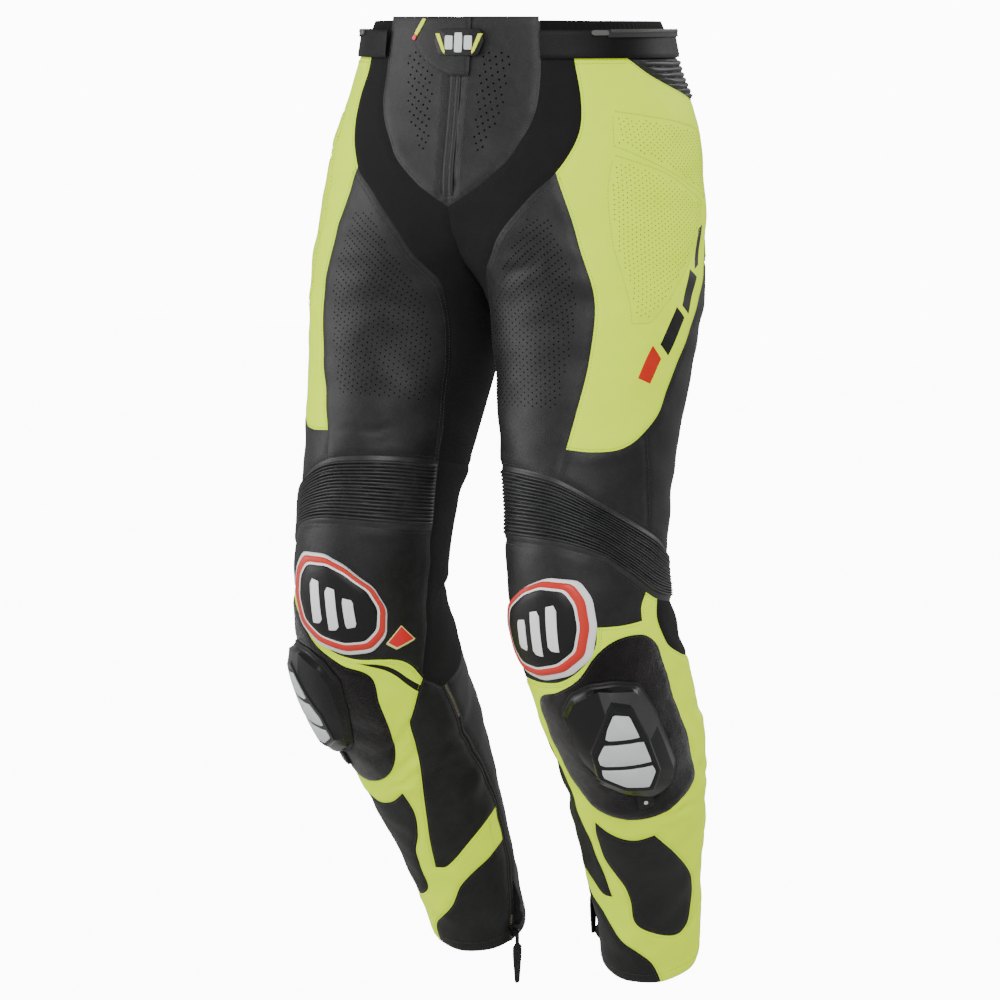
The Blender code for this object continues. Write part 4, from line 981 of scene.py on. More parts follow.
def make_object(name: str, points: Array, faces: Sequence[Sequence[int]],
                materials: Sequence[bpy.types.Material], side: Side = Side.LEFT,
                indices: Array | None = None, uv: Array | None = None,
                sharp: float = 50.0) -> bpy.types.Object:
    """A mesh object at the origin, mirrored for the right side.

    Args:
        name: object name.
        points: vertices of the left side's form.
        faces: vertex numbers, outward on the left.
        materials: finishes, by index.
        side: the side that it belongs to.
        indices: finish of each face.
        uv: flat metres of each vertex.
        sharp: angle in degrees above which an edge shows.

    Returns:
        The object.
    """
    points = np.asarray(points, float)
    faces = [tuple(int(i) for i in face) for face in faces]
    if side is Side.RIGHT:
        points = points * np.array([-1.0, 1.0, 1.0])
        faces = [face[::-1] for face in faces]
    mesh = bpy.data.meshes.new(name)
    mesh.from_pydata(points.tolist(), [], faces)
    for material in materials:
        mesh.materials.append(material)
    if indices is not None:
        mesh.polygons.foreach_set("material_index", np.asarray(indices, np.int32))
    if uv is not None:
        layer = mesh.uv_layers.new(name="cloth")
        loops = np.empty(len(mesh.loops), np.int32)
        mesh.loops.foreach_get("vertex_index", loops)
        layer.data.foreach_set("uv", np.asarray(uv)[loops].astype(np.float32).ravel())
    mesh.update()
    mesh.shade_smooth()
    mesh.set_sharp_from_angle(angle=radians(sharp))
    item = bpy.data.objects.new(name, mesh)
    bpy.context.scene.collection.objects.link(item)
    return item


def mesh_area(item: bpy.types.Object) -> float:
    """The whole surface of a mesh.

    Args:
        item: the piece.

    Returns:
        Square metres.
    """
    areas = np.empty(len(item.data.polygons), np.float32)
    item.data.polygons.foreach_get("area", areas)
    return float(areas.sum())


# ---------------------------------------------------------------- shader helpers
@dataclass(frozen=True)
class Value:
    """A socket that takes part in arithmetic; an expression adds its Math nodes."""

    shade: "Shade"
    socket: bpy.types.NodeSocket

    def math(self, operation: str, *values: "Value | float", clamp: bool = False) -> "Value":
        """The result of one Math node on this and other values.

        Args:
            operation: what the node does.
            clamp: whether to keep it between 0 and 1.
            values: what its sockets hold.

        Returns:
            The result.
        """
        node = self.shade.node("ShaderNodeMath", {"operation": operation, "use_clamp": clamp},
                               dict(enumerate([self, *values])))
        return Value(self.shade, node.outputs[0])

    def __add__(self, other: "Value | float") -> "Value":
        """Sum."""
        return self.math("ADD", other)

    __radd__ = __add__

    def __sub__(self, other: "Value | float") -> "Value":
        """Difference."""
        return self.math("SUBTRACT", other)

    def __rsub__(self, other: float) -> "Value":
        """Difference from a number."""
        return (self * -1.0).math("ADD", other)

    def __mul__(self, other: "Value | float") -> "Value":
        """Product."""
        return self.math("MULTIPLY", other)

    __rmul__ = __mul__

    def clamped(self) -> "Value":
        """The value kept between 0 and 1."""
        return self.math("ADD", 0.0, clamp=True)

    def sine(self) -> "Value":
        """Its sine."""
        return self.math("SINE")

    def above(self, limit: float, soft: float) -> "Value":
        """0 below a limit and 1 above it, over a soft width."""
        return ((self - limit) * (1.0 / soft) + 0.5).clamped()


Colour = tuple[float, float, float]


class Shade:
    """A material being built; one method adds any node."""

    def __init__(self, name: str) -> None:
        """Start a material with a principled shader.

        Args:
            name: its name.
        """
        self.material = bpy.data.materials.new(name)
        self.material.use_nodes = True
        self.tree = self.material.node_tree
        self.tree.nodes.clear()
        self.output = self.tree.nodes.new("ShaderNodeOutputMaterial")
        self.shader = self.tree.nodes.new("ShaderNodeBsdfPrincipled")
        self.tree.links.new(self.shader.outputs[0], self.output.inputs["Surface"])

    def feed(self, socket: bpy.types.NodeSocket, value: object) -> None:
        """Link a value to a socket, or set the socket's own number.

        Args:
            socket: the socket.
            value: a value, a number or a colour.
        """
        if isinstance(value, Value):
            self.tree.links.new(value.socket, socket)
        elif isinstance(value, tuple) and len(value) == 3 and socket.type == "RGBA":
            socket.default_value = (*value, 1.0)
        else:
            socket.default_value = value

    def node(self, kind: str, settings: dict | None = None,
             values: dict | None = None) -> bpy.types.Node:
        """Add a node: its settings first, then what its sockets hold or are linked to.

        Args:
            kind: the node's type.
            settings: its own settings, with a ramp's stops.
            values: what its sockets hold.

        Returns:
            The node.
        """
        made = self.tree.nodes.new(kind)
        for name, value in (settings or {}).items():
            if name == "stops":
                ramp = made.color_ramp
                while len(ramp.elements) < len(value):
                    ramp.elements.new(0.5)
                for element, (place, colour) in zip(ramp.elements, value):
                    element.position, element.color = place, (*colour, 1.0)
            else:
                setattr(made, name, value)
        for name, value in (values or {}).items():
            self.feed(made.inputs[name], value)
        return made

    def get(self, node: bpy.types.Node, name: str | int) -> Value:
        """One output of a node."""
        return Value(self, node.outputs[name])

    def place(self, uv: bool = False, scale: tuple[float, float, float] = (1, 1, 1),
              turn: float = 0.0) -> Value:
        """Object coordinates, or the cloth's own, scaled and turned.

        Args:
            uv: whether to read the cloth's own map.
            scale: scale on each axis.
            turn: radians about the third axis.

        Returns:
            The coordinates.
        """
        source = self.node("ShaderNodeTexCoord")
        mapping = self.node("ShaderNodeMapping", {}, {
            "Vector": self.get(source, "UV" if uv else "Object"),
            "Scale": scale, "Rotation": (0.0, 0.0, turn)})
        return self.get(mapping, 0)

    def noise(self, where: Value, scale: float, detail: float = 2.0, rough: float = 0.5) -> Value:
        """Soft noise, about 0.5 on average.

        Args:
            where: coordinates.
            scale: how fine it is.
            detail: how many layers it has.
            rough: how strong the finer layers are.

        Returns:
            The noise.
        """
        made = self.node("ShaderNodeTexNoise", {}, {"Vector": where, "Scale": scale,
                                                    "Detail": detail, "Roughness": rough})
        return self.get(made, "Fac")

    def cells(self, where: Value, scale: float, feature: str = "F1") -> Value:
        """Distances in a field of uneven cells.

        Args:
            where: coordinates.
            scale: how fine it is.
            feature: which distance it is.

        Returns:
            The distance.
        """
        made = self.node("ShaderNodeTexVoronoi", {"feature": feature},
                         {"Vector": where, "Scale": scale})
        return self.get(made, "Distance")

    def axes(self, where: Value) -> tuple[Value, Value, Value]:
        """A vector's three numbers."""
        made = self.node("ShaderNodeSeparateXYZ", {}, {0: where})
        return self.get(made, 0), self.get(made, 1), self.get(made, 2)

    def mix(self, share: Value | float, low: Value | Colour, high: Value | Colour) -> Value:
        """A colour between two.

        Args:
            share: 0 to 1.
            low: the colour at 0.
            high: the colour at 1.

        Returns:
            The colour.
        """
        made = self.node("ShaderNodeMix", {"data_type": "RGBA"})
        self.feed(made.inputs[0], share)
        self.feed(made.inputs[6], low)
        self.feed(made.inputs[7], high)
        return Value(self, made.outputs[2])

    def bump(self, height: Value, depth: float, strength: float = 1.0) -> Value:
        """A normal from a height between 0 and 1, depth in metres.

        Args:
            height: a height between 0 and 1.
            depth: metres.
            strength: share of the depth.

        Returns:
            The normal.
        """
        made = self.node("ShaderNodeBump", {}, {"Height": height, "Distance": depth,
                                                "Strength": strength})
        return self.get(made, "Normal")

    def finish(self, **values: object) -> bpy.types.Material:
        """Set the shader's sockets, underscores for spaces, and give the material.

        Args:
            values: what its sockets hold.

        Returns:
            The material.
        """
        for name, value in values.items():
            self.feed(self.shader.inputs[name.replace("_", " ")], value)
        return self.material


# ---------------------------------------------------------------- finishes
@dataclass(frozen=True)
class Leather:
    """Grained leather with a soft, uneven shine."""

    name: str
    colour: Colour
    light: Colour
    roughness: float
    grain: float = 0.00016
    cells: float = 950.0
    specular: float = 0.5
    glow: float = 0.0       # painted glow: how much the leather emits its own colour without any lamp, standing in for the fluorescent dye's brightness

    def build(self) -> bpy.types.Material:
        """Build the finish.

        Returns:
            The material.
        """
        shade = Shade(self.name)
        where = shade.place()
        grain = shade.cells(where, self.cells, "SMOOTH_F1")
        fine = shade.noise(where, 2400.0, 3.0, 0.6)
        cloud = shade.noise(where, 22.0, 3.0, 0.55)
        blotch = shade.noise(where, 95.0, 4.0, 0.6)
        height = grain * 0.75 + fine * 0.25
        worn = (cloud * 0.6 + blotch * 0.4).above(0.52, 0.22)
        pore = (1.0 - grain).above(0.72, 0.3)
        tone = shade.mix(worn * 0.55 + pore * 0.18, self.colour, self.light)
        rough = (blotch - 0.5) * 0.16 + (fine - 0.5) * 0.10 + self.roughness
        # The emission of the leather's own colour is a painted glow.
        return shade.finish(Base_Color=tone, Roughness=rough, Specular_IOR_Level=self.specular,
                            Emission_Color=self.colour, Emission_Strength=self.glow,
                            Normal=shade.bump(height, self.grain))


@dataclass(frozen=True)
class Woven:
    """Plain woven fabric; its threads follow the cloth's own flat metres."""

    name: str
    colour: Colour
    light: Colour
    pitch: float = 0.0011
    roughness: float = 0.82
    sheen: float = 0.25
    specular: float = 0.5

    def build(self) -> bpy.types.Material:
        """Build the finish.

        Returns:
            The material.
        """
        shade = Shade(self.name)
        beat = 2 * pi / self.pitch
        where = shade.place(uv=True, scale=(beat, beat * 0.8, 1.0), turn=radians(24))
        u, v, _ = shade.axes(where)
        weave = (u.sine() * v.sine()) * 0.5 + 0.5
        space = shade.place()
        cloud = shade.noise(space, 28.0, 3.0, 0.6)
        fibre = shade.noise(space, 1700.0, 2.0, 0.6)
        tone = shade.mix((weave * 0.45 + cloud * 0.35 + fibre * 0.2), self.colour, self.light)
        height = weave * 0.75 + fibre * 0.25
        return shade.finish(Base_Color=tone, Roughness=(fibre - 0.5) * 0.1 + self.roughness,
                            Sheen_Weight=self.sheen, Sheen_Roughness=0.5,
                            Specular_IOR_Level=self.specular,
                            Normal=shade.bump(height, 0.00022))


@dataclass(frozen=True)
class Pile:
    """Napped hook-and-loop pile."""

    name: str
    colour: Colour
    light: Colour

    def build(self) -> bpy.types.Material:
        """Build the finish.

        Returns:
            The material.
        """
        shade = Shade(self.name)
        where = shade.place()
        tuft = shade.cells(where, 620.0, "F1")
        fuzz = shade.noise(where, 1300.0, 4.0, 0.7)
        brushed = shade.noise(where, 60.0, 4.0, 0.6)
        tone = shade.mix((fuzz * 0.5 + brushed * 0.5).above(0.52, 0.35), self.colour, self.light)
        return shade.finish(Base_Color=tone, Roughness=0.95, Sheen_Weight=0.5,
                            Sheen_Roughness=0.35, Specular_IOR_Level=0.2,
                            Normal=shade.bump(tuft * 0.4 + fuzz * 0.6, 0.0009))


@dataclass(frozen=True)
class Moulded:
    """Moulded plastic or rubber, with faint moulding marks and fine scratches."""

    name: str
    colour: Colour
    roughness: float
    coat: float = 0.0
    texture: float = 0.00003
    tint: float = 0.08
    specular: float = 0.5

    def build(self) -> bpy.types.Material:
        """Build the finish.

        Returns:
            The material.
        """
        shade = Shade(self.name)
        where = shade.place()
        cloud = shade.noise(where, 35.0, 3.0, 0.6)
        grit = shade.noise(where, 2600.0, 2.0, 0.5)
        rubbed = shade.noise(shade.place(scale=(9.0, 60.0, 60.0)), 14.0, 4.0, 0.65)
        light = tuple(min(1.0, c * (1 + self.tint * 2) + self.tint * 0.04) for c in self.colour)
        tone = shade.mix(cloud * 0.7 + rubbed.above(0.6, 0.2) * 0.3, self.colour, light)
        rough = (cloud - 0.5) * 0.12 + rubbed.above(0.62, 0.1) * 0.08 + self.roughness
        return shade.finish(Base_Color=tone, Roughness=rough, Coat_Weight=self.coat,
                            Coat_Roughness=0.12, Specular_IOR_Level=self.specular,
                            Normal=shade.bump(grit, self.texture))


@dataclass(frozen=True)
class Enamel:
    """Zip metal, enamelled or bright, worn in scattered scuffs."""

    name: str
    colour: Colour
    worn: Colour
    roughness: float
    metallic: float = 0.9

    def build(self) -> bpy.types.Material:
        """Build the finish.

        Returns:
            The material.
        """
        shade = Shade(self.name)
        where = shade.place()
        scuff = shade.noise(where, 420.0, 4.0, 0.7)
        tone = shade.mix(scuff.above(0.62, 0.12), self.colour, self.worn)
        return shade.finish(Base_Color=tone, Metallic=self.metallic,
                            Roughness=(scuff - 0.5) * 0.25 + self.roughness,
                            Normal=shade.bump(scuff, 0.00004))


@dataclass(frozen=True)
class Thread:
    """Sewing thread, twisted."""

    name: str
    colour: Colour

    def build(self) -> bpy.types.Material:
        """Build the finish.

        Returns:
            The material.
        """
        shade = Shade(self.name)
        twist = shade.noise(shade.place(), 2600.0, 2.0, 0.5)
        light = tuple(min(1.0, c * 1.6 + 0.01) for c in self.colour)
        return shade.finish(Base_Color=shade.mix(twist, self.colour, light), Roughness=0.6,
                            Sheen_Weight=0.2, Normal=shade.bump(twist, 0.00015))


class Palette:
    """Every finish of the trousers."""

    def __init__(self) -> None:
        """Build the materials."""
        self.black = Leather("black leather", (0.0080, 0.0080, 0.0082), (0.019, 0.019, 0.0193),
                             0.50, specular=0.34).build()
        # The waistband's leather is the black leather darkened: painted shade.
        self.band = Leather("band leather", (0.0030, 0.0030, 0.0031), (0.008, 0.008, 0.0082),
                            0.50, specular=0.16).build()
        # The bright leather has a painted glow: it emits its own colour whatever the lamps.
        self.neon = Leather("bright leather", (0.66, 0.92, 0.000), (0.76, 0.98, 0.003), 0.55,
                            0.00010, 1100.0, 0.09, 0.34).build()
        self.ribs = Leather("ribbed leather", (0.0115, 0.0115, 0.0117), (0.031, 0.031, 0.0315),
                            0.44, 0.00012, specular=0.45).build()
        self.print_black = Leather("black print", (0.006, 0.006, 0.006), (0.014, 0.014, 0.014),
                                   0.42, 0.00008, specular=0.3).build()
        self.print_red = Leather("red print", (0.62, 0.020, 0.006), (0.74, 0.04, 0.02),
                                 0.42, 0.00008, specular=0.3).build()
        self.stretch = Woven("stretch fabric", (0.0058, 0.0053, 0.0054),
                             (0.0155, 0.0142, 0.0145), sheen=0.01, specular=0.16).build()
        self.elastic = Woven("waist elastic", (0.0030, 0.0026, 0.0027),
                             (0.010, 0.0088, 0.0090), 0.0016, sheen=0.01,
                             specular=0.15).build()
        self.lining = Woven("lining", (0.020, 0.0205, 0.022), (0.052, 0.053, 0.056), 0.0022,
                            0.7, 0.1).build()
        self.tape = Woven("zip tape", (0.0065, 0.0065, 0.0065), (0.018, 0.018, 0.018), 0.0009,
                          0.7, 0.05).build()
        self.pile = Pile("loop pile", (0.0030, 0.0024, 0.0025), (0.017, 0.0138, 0.0142)).build()
        self.gloss = Moulded("slider black", (0.0040, 0.0040, 0.0041), 0.14, 0.15,
                             tint=0.03, specular=0.30).build()
        self.wall = Moulded("slider wall", (0.0055, 0.0055, 0.0056), 0.26, 0.1, tint=0.03,
                            specular=0.25).build()
        # A lighter grey for the upper facet of the slider: a painted reflection of the lamps.
        self.matt_face = Moulded("slider face", (0.034, 0.034, 0.034), 0.30, 0.1,
                                 tint=0.04, specular=0.4).build()
        self.pale = Moulded("pale moulding", (0.66, 0.70, 0.69), 0.35).build()
        self.tag = Moulded("zip end", (0.085, 0.090, 0.080), 0.45).build()
        self.white = Moulded("white rubber", (0.93, 0.93, 0.93), 0.40).build()
        self.red = Moulded("red rubber", (0.66, 0.030, 0.016), 0.42, tint=0.03).build()
        self.red_badge = Moulded("red badge", (0.78, 0.012, 0.018), 0.35).build()
        self.neon_rubber = Moulded("bright rubber", (0.74, 0.92, 0.02), 0.40).build()
        self.bright_edge = Moulded("bright edge", (0.80, 0.90, 0.30), 0.40).build()
        self.soft_black = Moulded("black rubber", (0.0075, 0.0075, 0.0075), 0.42,
                                  texture=0.00008, tint=0.03, specular=0.3).build()
        self.metal = Enamel("black enamel", (0.018, 0.018, 0.0185), (0.10, 0.10, 0.10),
                            0.38, 0.6).build()
        self.teeth = Enamel("zip teeth", (0.030, 0.030, 0.031), (0.11, 0.11, 0.11), 0.36,
                            0.3).build()
        self.brass = Enamel("zip brass", (0.28, 0.245, 0.17), (0.62, 0.56, 0.44), 0.35).build()
        self.dull_teeth = Enamel("blackened teeth", (0.010, 0.010, 0.010), (0.030, 0.028, 0.024),
                                 0.5, 0.2).build()
        self.thread = Thread("black thread", (0.010, 0.010, 0.0105)).build()
        self.bright_thread = Thread("bright thread", (0.30, 0.42, 0.006)).build()
        # Punched holes are dark discs: the darkness is partly the lining seen through them and partly
        # painted shade inside them.
        self.hole = Moulded("punched hole", (0.0010, 0.0010, 0.0010), 0.9, tint=0.0,
                            specular=0.0).build()
        # The bright leather's holes are its neon darkened: painted shade in the holes.
        self.bright_hole = Moulded("punched bright hole", (0.17, 0.25, 0.001), 0.8, tint=0.0,
                                   specular=0.0).build()


# ---------------------------------------------------------------- cloth panels
PatternRuns = tuple[tuple[str, str, str], ...]
PRINT_STEP = 0.003      # between the corners of a printed bar's outline


class QuiltMesh(PatternMesh):
    """A panel meshed as a net between four runs of seam, for ribs that fan."""

    def __init__(self, top: Array, right: Array, bottom: Array, left: Array,
                 columns: int, rows: int) -> None:
        """Mesh the net.

        Args:
            top: places along the top, from the left corner.
            right: places down the right side.
            bottom: places along the bottom, from the left corner.
            left: places down the left side.
            columns: cells along the ribs.
            rows: cells across the ribs.
        """
        self.finer = 1.0
        self.middle = (top[0, 0] + top[-1, 0]) / 2
        s, t = np.linspace(0, 1, columns + 1)[None, :, None], np.linspace(0, 1, rows + 1)[:, None, None]

        def along(line: Array, count: int) -> Array:
            """Even places along a line."""
            run = run_along(self.flat(line))
            return resampled(line, run, np.linspace(0, run[-1], count + 1))
        upper, lower = along(top, columns)[None], along(bottom, columns)[None]
        west, east = along(left, rows)[:, None], along(right, rows)[:, None]
        net = ((1 - t) * upper + t * lower + (1 - s) * west + s * east
               - (1 - s) * (1 - t) * top[0] - s * (1 - t) * top[-1]
               - (1 - s) * t * bottom[0] - s * t * bottom[-1])
        self.places = net.reshape(-1, 2)
        self.flats = self.flat(self.places)
        self.across = np.broadcast_to(t, net.shape[:2] + (1,)).reshape(-1)
        self.along = np.broadcast_to(s, net.shape[:2] + (1,)).reshape(-1)
        r, c = np.meshgrid(np.arange(rows), np.arange(columns), indexing="ij")
        first = (r * (columns + 1) + c).ravel()
        low = first + columns + 1
        self.faces = np.vstack([np.stack([first, first + 1, low + 1], 1),
                                np.stack([first, low + 1, low], 1)])
        self.outline = np.vstack([top[:-1], right[:-1], bottom[::-1][:-1], left[::-1][:-1]])
        self.measure()


@dataclass(frozen=True)
class Panel:
    """One cut panel: its node, finish, wall, seams and how it is held."""

    node: str
    slot: str
    finish: str
    thick: float
    runs: PatternRuns
    step: float = 0.0048
    holes: tuple[tuple[Row, ...], ...] = ()
    marks: tuple[tuple[Row, ...], ...] = ()
    finer_down: float = 1.0
    relief: Callable[[Array], Array] | None = None
    held: str = "stretched"
    loop: tuple[Row, ...] = ()
    prints: Prints = ()
    printed: tuple[Side, ...] = tuple(Side)
    net: tuple[int, int] | None = None
    lift: float = 0.0
    roll: float = 0.0011

    def mesh(self, pattern: SeamPattern) -> PatternMesh:
        """Its flat triangles.

        Args:
            pattern: the seams.

        Returns:
            The mesh.
        """
        if self.net:
            top, right, bottom, left = (pattern.line(*run) for run in self.runs)
            return QuiltMesh(top, right, bottom[::-1], left[::-1], *self.net)
        outline = pattern.loop(self.loop) if self.loop else pattern.outline(self.runs)
        prints = [pattern.loop(rows, PRINT_STEP) for _, rows in self.prints]
        return PatternMesh(outline, [pattern.loop(h) for h in self.holes],
                           [pattern.loop(m) for m in self.marks] + prints, self.step,
                           self.finer_down)

    def sew(self, mesh: PatternMesh, side: Side, palette: Palette,
            pattern: SeamPattern) -> bpy.types.Object:
        """The panel as a thin closed shell on one side.

        Args:
            mesh: its flat triangles.
            side: the side of the wearer.
            palette: the finishes.
            pattern: the seams.

        Returns:
            The piece, riding on the trousers.
        """
        turn, down = mesh.places[:, 0], mesh.places[:, 1]
        height = LIES[side].height(turn, down) + self.lift + rolled_edge(mesh.edge_gap, self.roll)
        if self.relief:
            height = height + self.relief(mesh)
        for rows in self.marks:
            height = height + pressed(mesh.places, pattern.loop(rows))
        points, normals = LEG.point(turn, down), LEG.outward(turn, down)
        depth = LIES[side].height(turn, down) + self.lift - self.roll - self.thick
        outer, inner = points + normals * height[:, None], points + normals * depth[:, None]
        central = points[:, 0] < CENTRE_EDGE
        for layer in (outer, inner):
            layer[:, 0] = np.where(central, CLOSED, np.maximum(layer[:, 0], HALF_GAP))
        count = len(points)
        faces = mesh.faces[:, ::-1]
        wall = [(a, b, b + count, a + count) for a, b in mesh.border.items()]
        every = [*faces.tolist(), *(mesh.faces + count).tolist(), *wall]
        finish = np.zeros(len(faces), int)
        middles = mesh.flats[mesh.faces].mean(1)
        materials = [getattr(palette, self.finish), palette.lining]
        for name, rows in self.prints if side in self.printed else ():
            finish[inside(middles, mesh.flat(pattern.loop(rows, PRINT_STEP)))] = len(materials)
            materials.append(getattr(palette, name))
        indices = [*finish.tolist(), *[1] * len(faces), *[0] * len(wall)]
        item = make_object(f"{self.node}_{side.tag}_cloth", np.vstack([outer, inner]), every,
                           materials, side, indices, np.vstack([mesh.flats, mesh.flats]))
        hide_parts(f"{self.node}_{side.tag}")
        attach(item, BODY)
        declare_sheet(item, mesh.cut_size(), self.held)
        log.info("%s: %d faces", item.name, len(every))
        return item


def declare_sheet(item: bpy.types.Object, size: tuple[float, float], held: str) -> None:
    """Work out a piece's cut, with its area from the finished cloth; nothing keeps it.

    Args:
        item: the piece.
        size: the width and length of the finished piece.
        held: not used.
    """
    area = mesh_area(item) / 2
    width, length = size
    length = max(length, area / width * 1.001)


NARROWEST_CUT = 0.0102     # a tape's cut width, with what is sewn under its neighbours
TURNED_IN = (1.02, 1.05)   # what a strip's ends and its edges take besides


def declare_strip(item: bpy.types.Object, size: tuple[float, float]) -> None:
    """Work out a long strip's cut, with its area from the finished cloth; nothing keeps it.

    Args:
        item: the piece.
        size: the width and length of the finished piece.
    """
    length, width = size[0] * TURNED_IN[0], max(size[1] * TURNED_IN[1], NARROWEST_CUT)
    min(mesh_area(item) / 2, length * width * 0.999)


def pressed(places: Array, loop: Array, swell: float = 0.0005, groove: float = 0.0008) -> Array:
    """The height of a pressed zone: a groove along its outline, a slight swell inside.

    Args:
        places: places, one row each.
        loop: a closed outline.
        swell: metres inside it.
        groove: metres along its outline.

    Returns:
        Metres at each place.
    """
    middle = (loop[:, 0].min() + loop[:, 0].max()) / 2
    spots, border = laid_flat(places, middle), laid_flat(loop, middle)
    gap = clearance(spots, border, np.roll(border, -1, axis=0))
    raised = np.where(inside(spots, border), swell, 0.0) * np.clip(gap / 0.006, 0, 1)
    return raised - groove * np.exp(-(gap / 0.0022)**2)


@dataclass(frozen=True)
class RibRelief:
    """Sewn ribs: rounded ridges with narrow valleys, flat near the panel's edges."""

    count: int
    rise: float
    margin: float = 0.0045
    calm: float = 0.005     # how far from an edge they are full

    def profile(self, share: Array) -> Array:
        """Height over a share from the first rib's edge to the last's."""
        wave = np.abs(np.sin(np.clip(share, 0, 1) * pi * self.count))
        return self.rise * wave**0.62

    def faded(self, mesh: PatternMesh) -> Array:
        """1 inside the panel, falling to 0 at its edges."""
        return np.clip(mesh.edge_gap / self.calm, 0, 1)


@dataclass(frozen=True)
class RearRibs(RibRelief):
    """Level ribs below the waistband."""

    wobble: float = 0.0004

    def height(self, mesh: PatternMesh) -> Array:
        """How high they stand at every place of the panel.

        Args:
            mesh: the panel's triangles.

        Returns:
            Metres at each place.
        """
        down = mesh.places[:, 1]
        top, bottom = WAIST_DOWN + self.margin, RIB_END - self.margin
        wobble = self.wobble * np.sin(np.radians(mesh.places[:, 0]) * 9 + down * 300)
        return self.profile((down + wobble - top) / (bottom - top)) * self.faded(mesh)


@dataclass(frozen=True)
class KneeRibs(RibRelief):
    """Ribs fanned between the knee's top and bottom seams, each a little uneven."""

    inner_span: float = 0.072       # between the two seams at the inner end
    lost_span: float = 0.018        # how much less at the outer end
    spread: float = 35 / 34         # leaves half a rib's width plain at the lower seam
    uneven: float = 0.14

    def height(self, mesh: QuiltMesh) -> Array:
        """How high they stand at every place of the panel.

        Args:
            mesh: the panel's triangles.

        Returns:
            Metres at each place.
        """
        angle = np.radians(mesh.places[:, 0])
        span = self.inner_span - self.lost_span * mesh.along
        share = (mesh.across * span - self.margin) / (span - 2 * self.margin)
        share = share * self.spread + 0.003 * np.sin(angle * 7) * np.sin(mesh.across * 9)
        number = np.floor(np.clip(share, 0, 0.999) * self.count)
        fullness = 1 - self.uneven + self.uneven * np.sin(number * 2.1 + angle * (3 + number % 3))
        return self.profile(share) * fullness * self.faded(mesh)


def nap(mesh: PatternMesh, depth: float = 0.00025) -> Array:
    """The patch's pile, brushed unevenly."""
    x, y = mesh.flats[:, 0], mesh.flats[:, 1]
    return depth * np.sin(x * 420 + np.sin(y * 300)) * np.sin(y * 510 + 1.3)


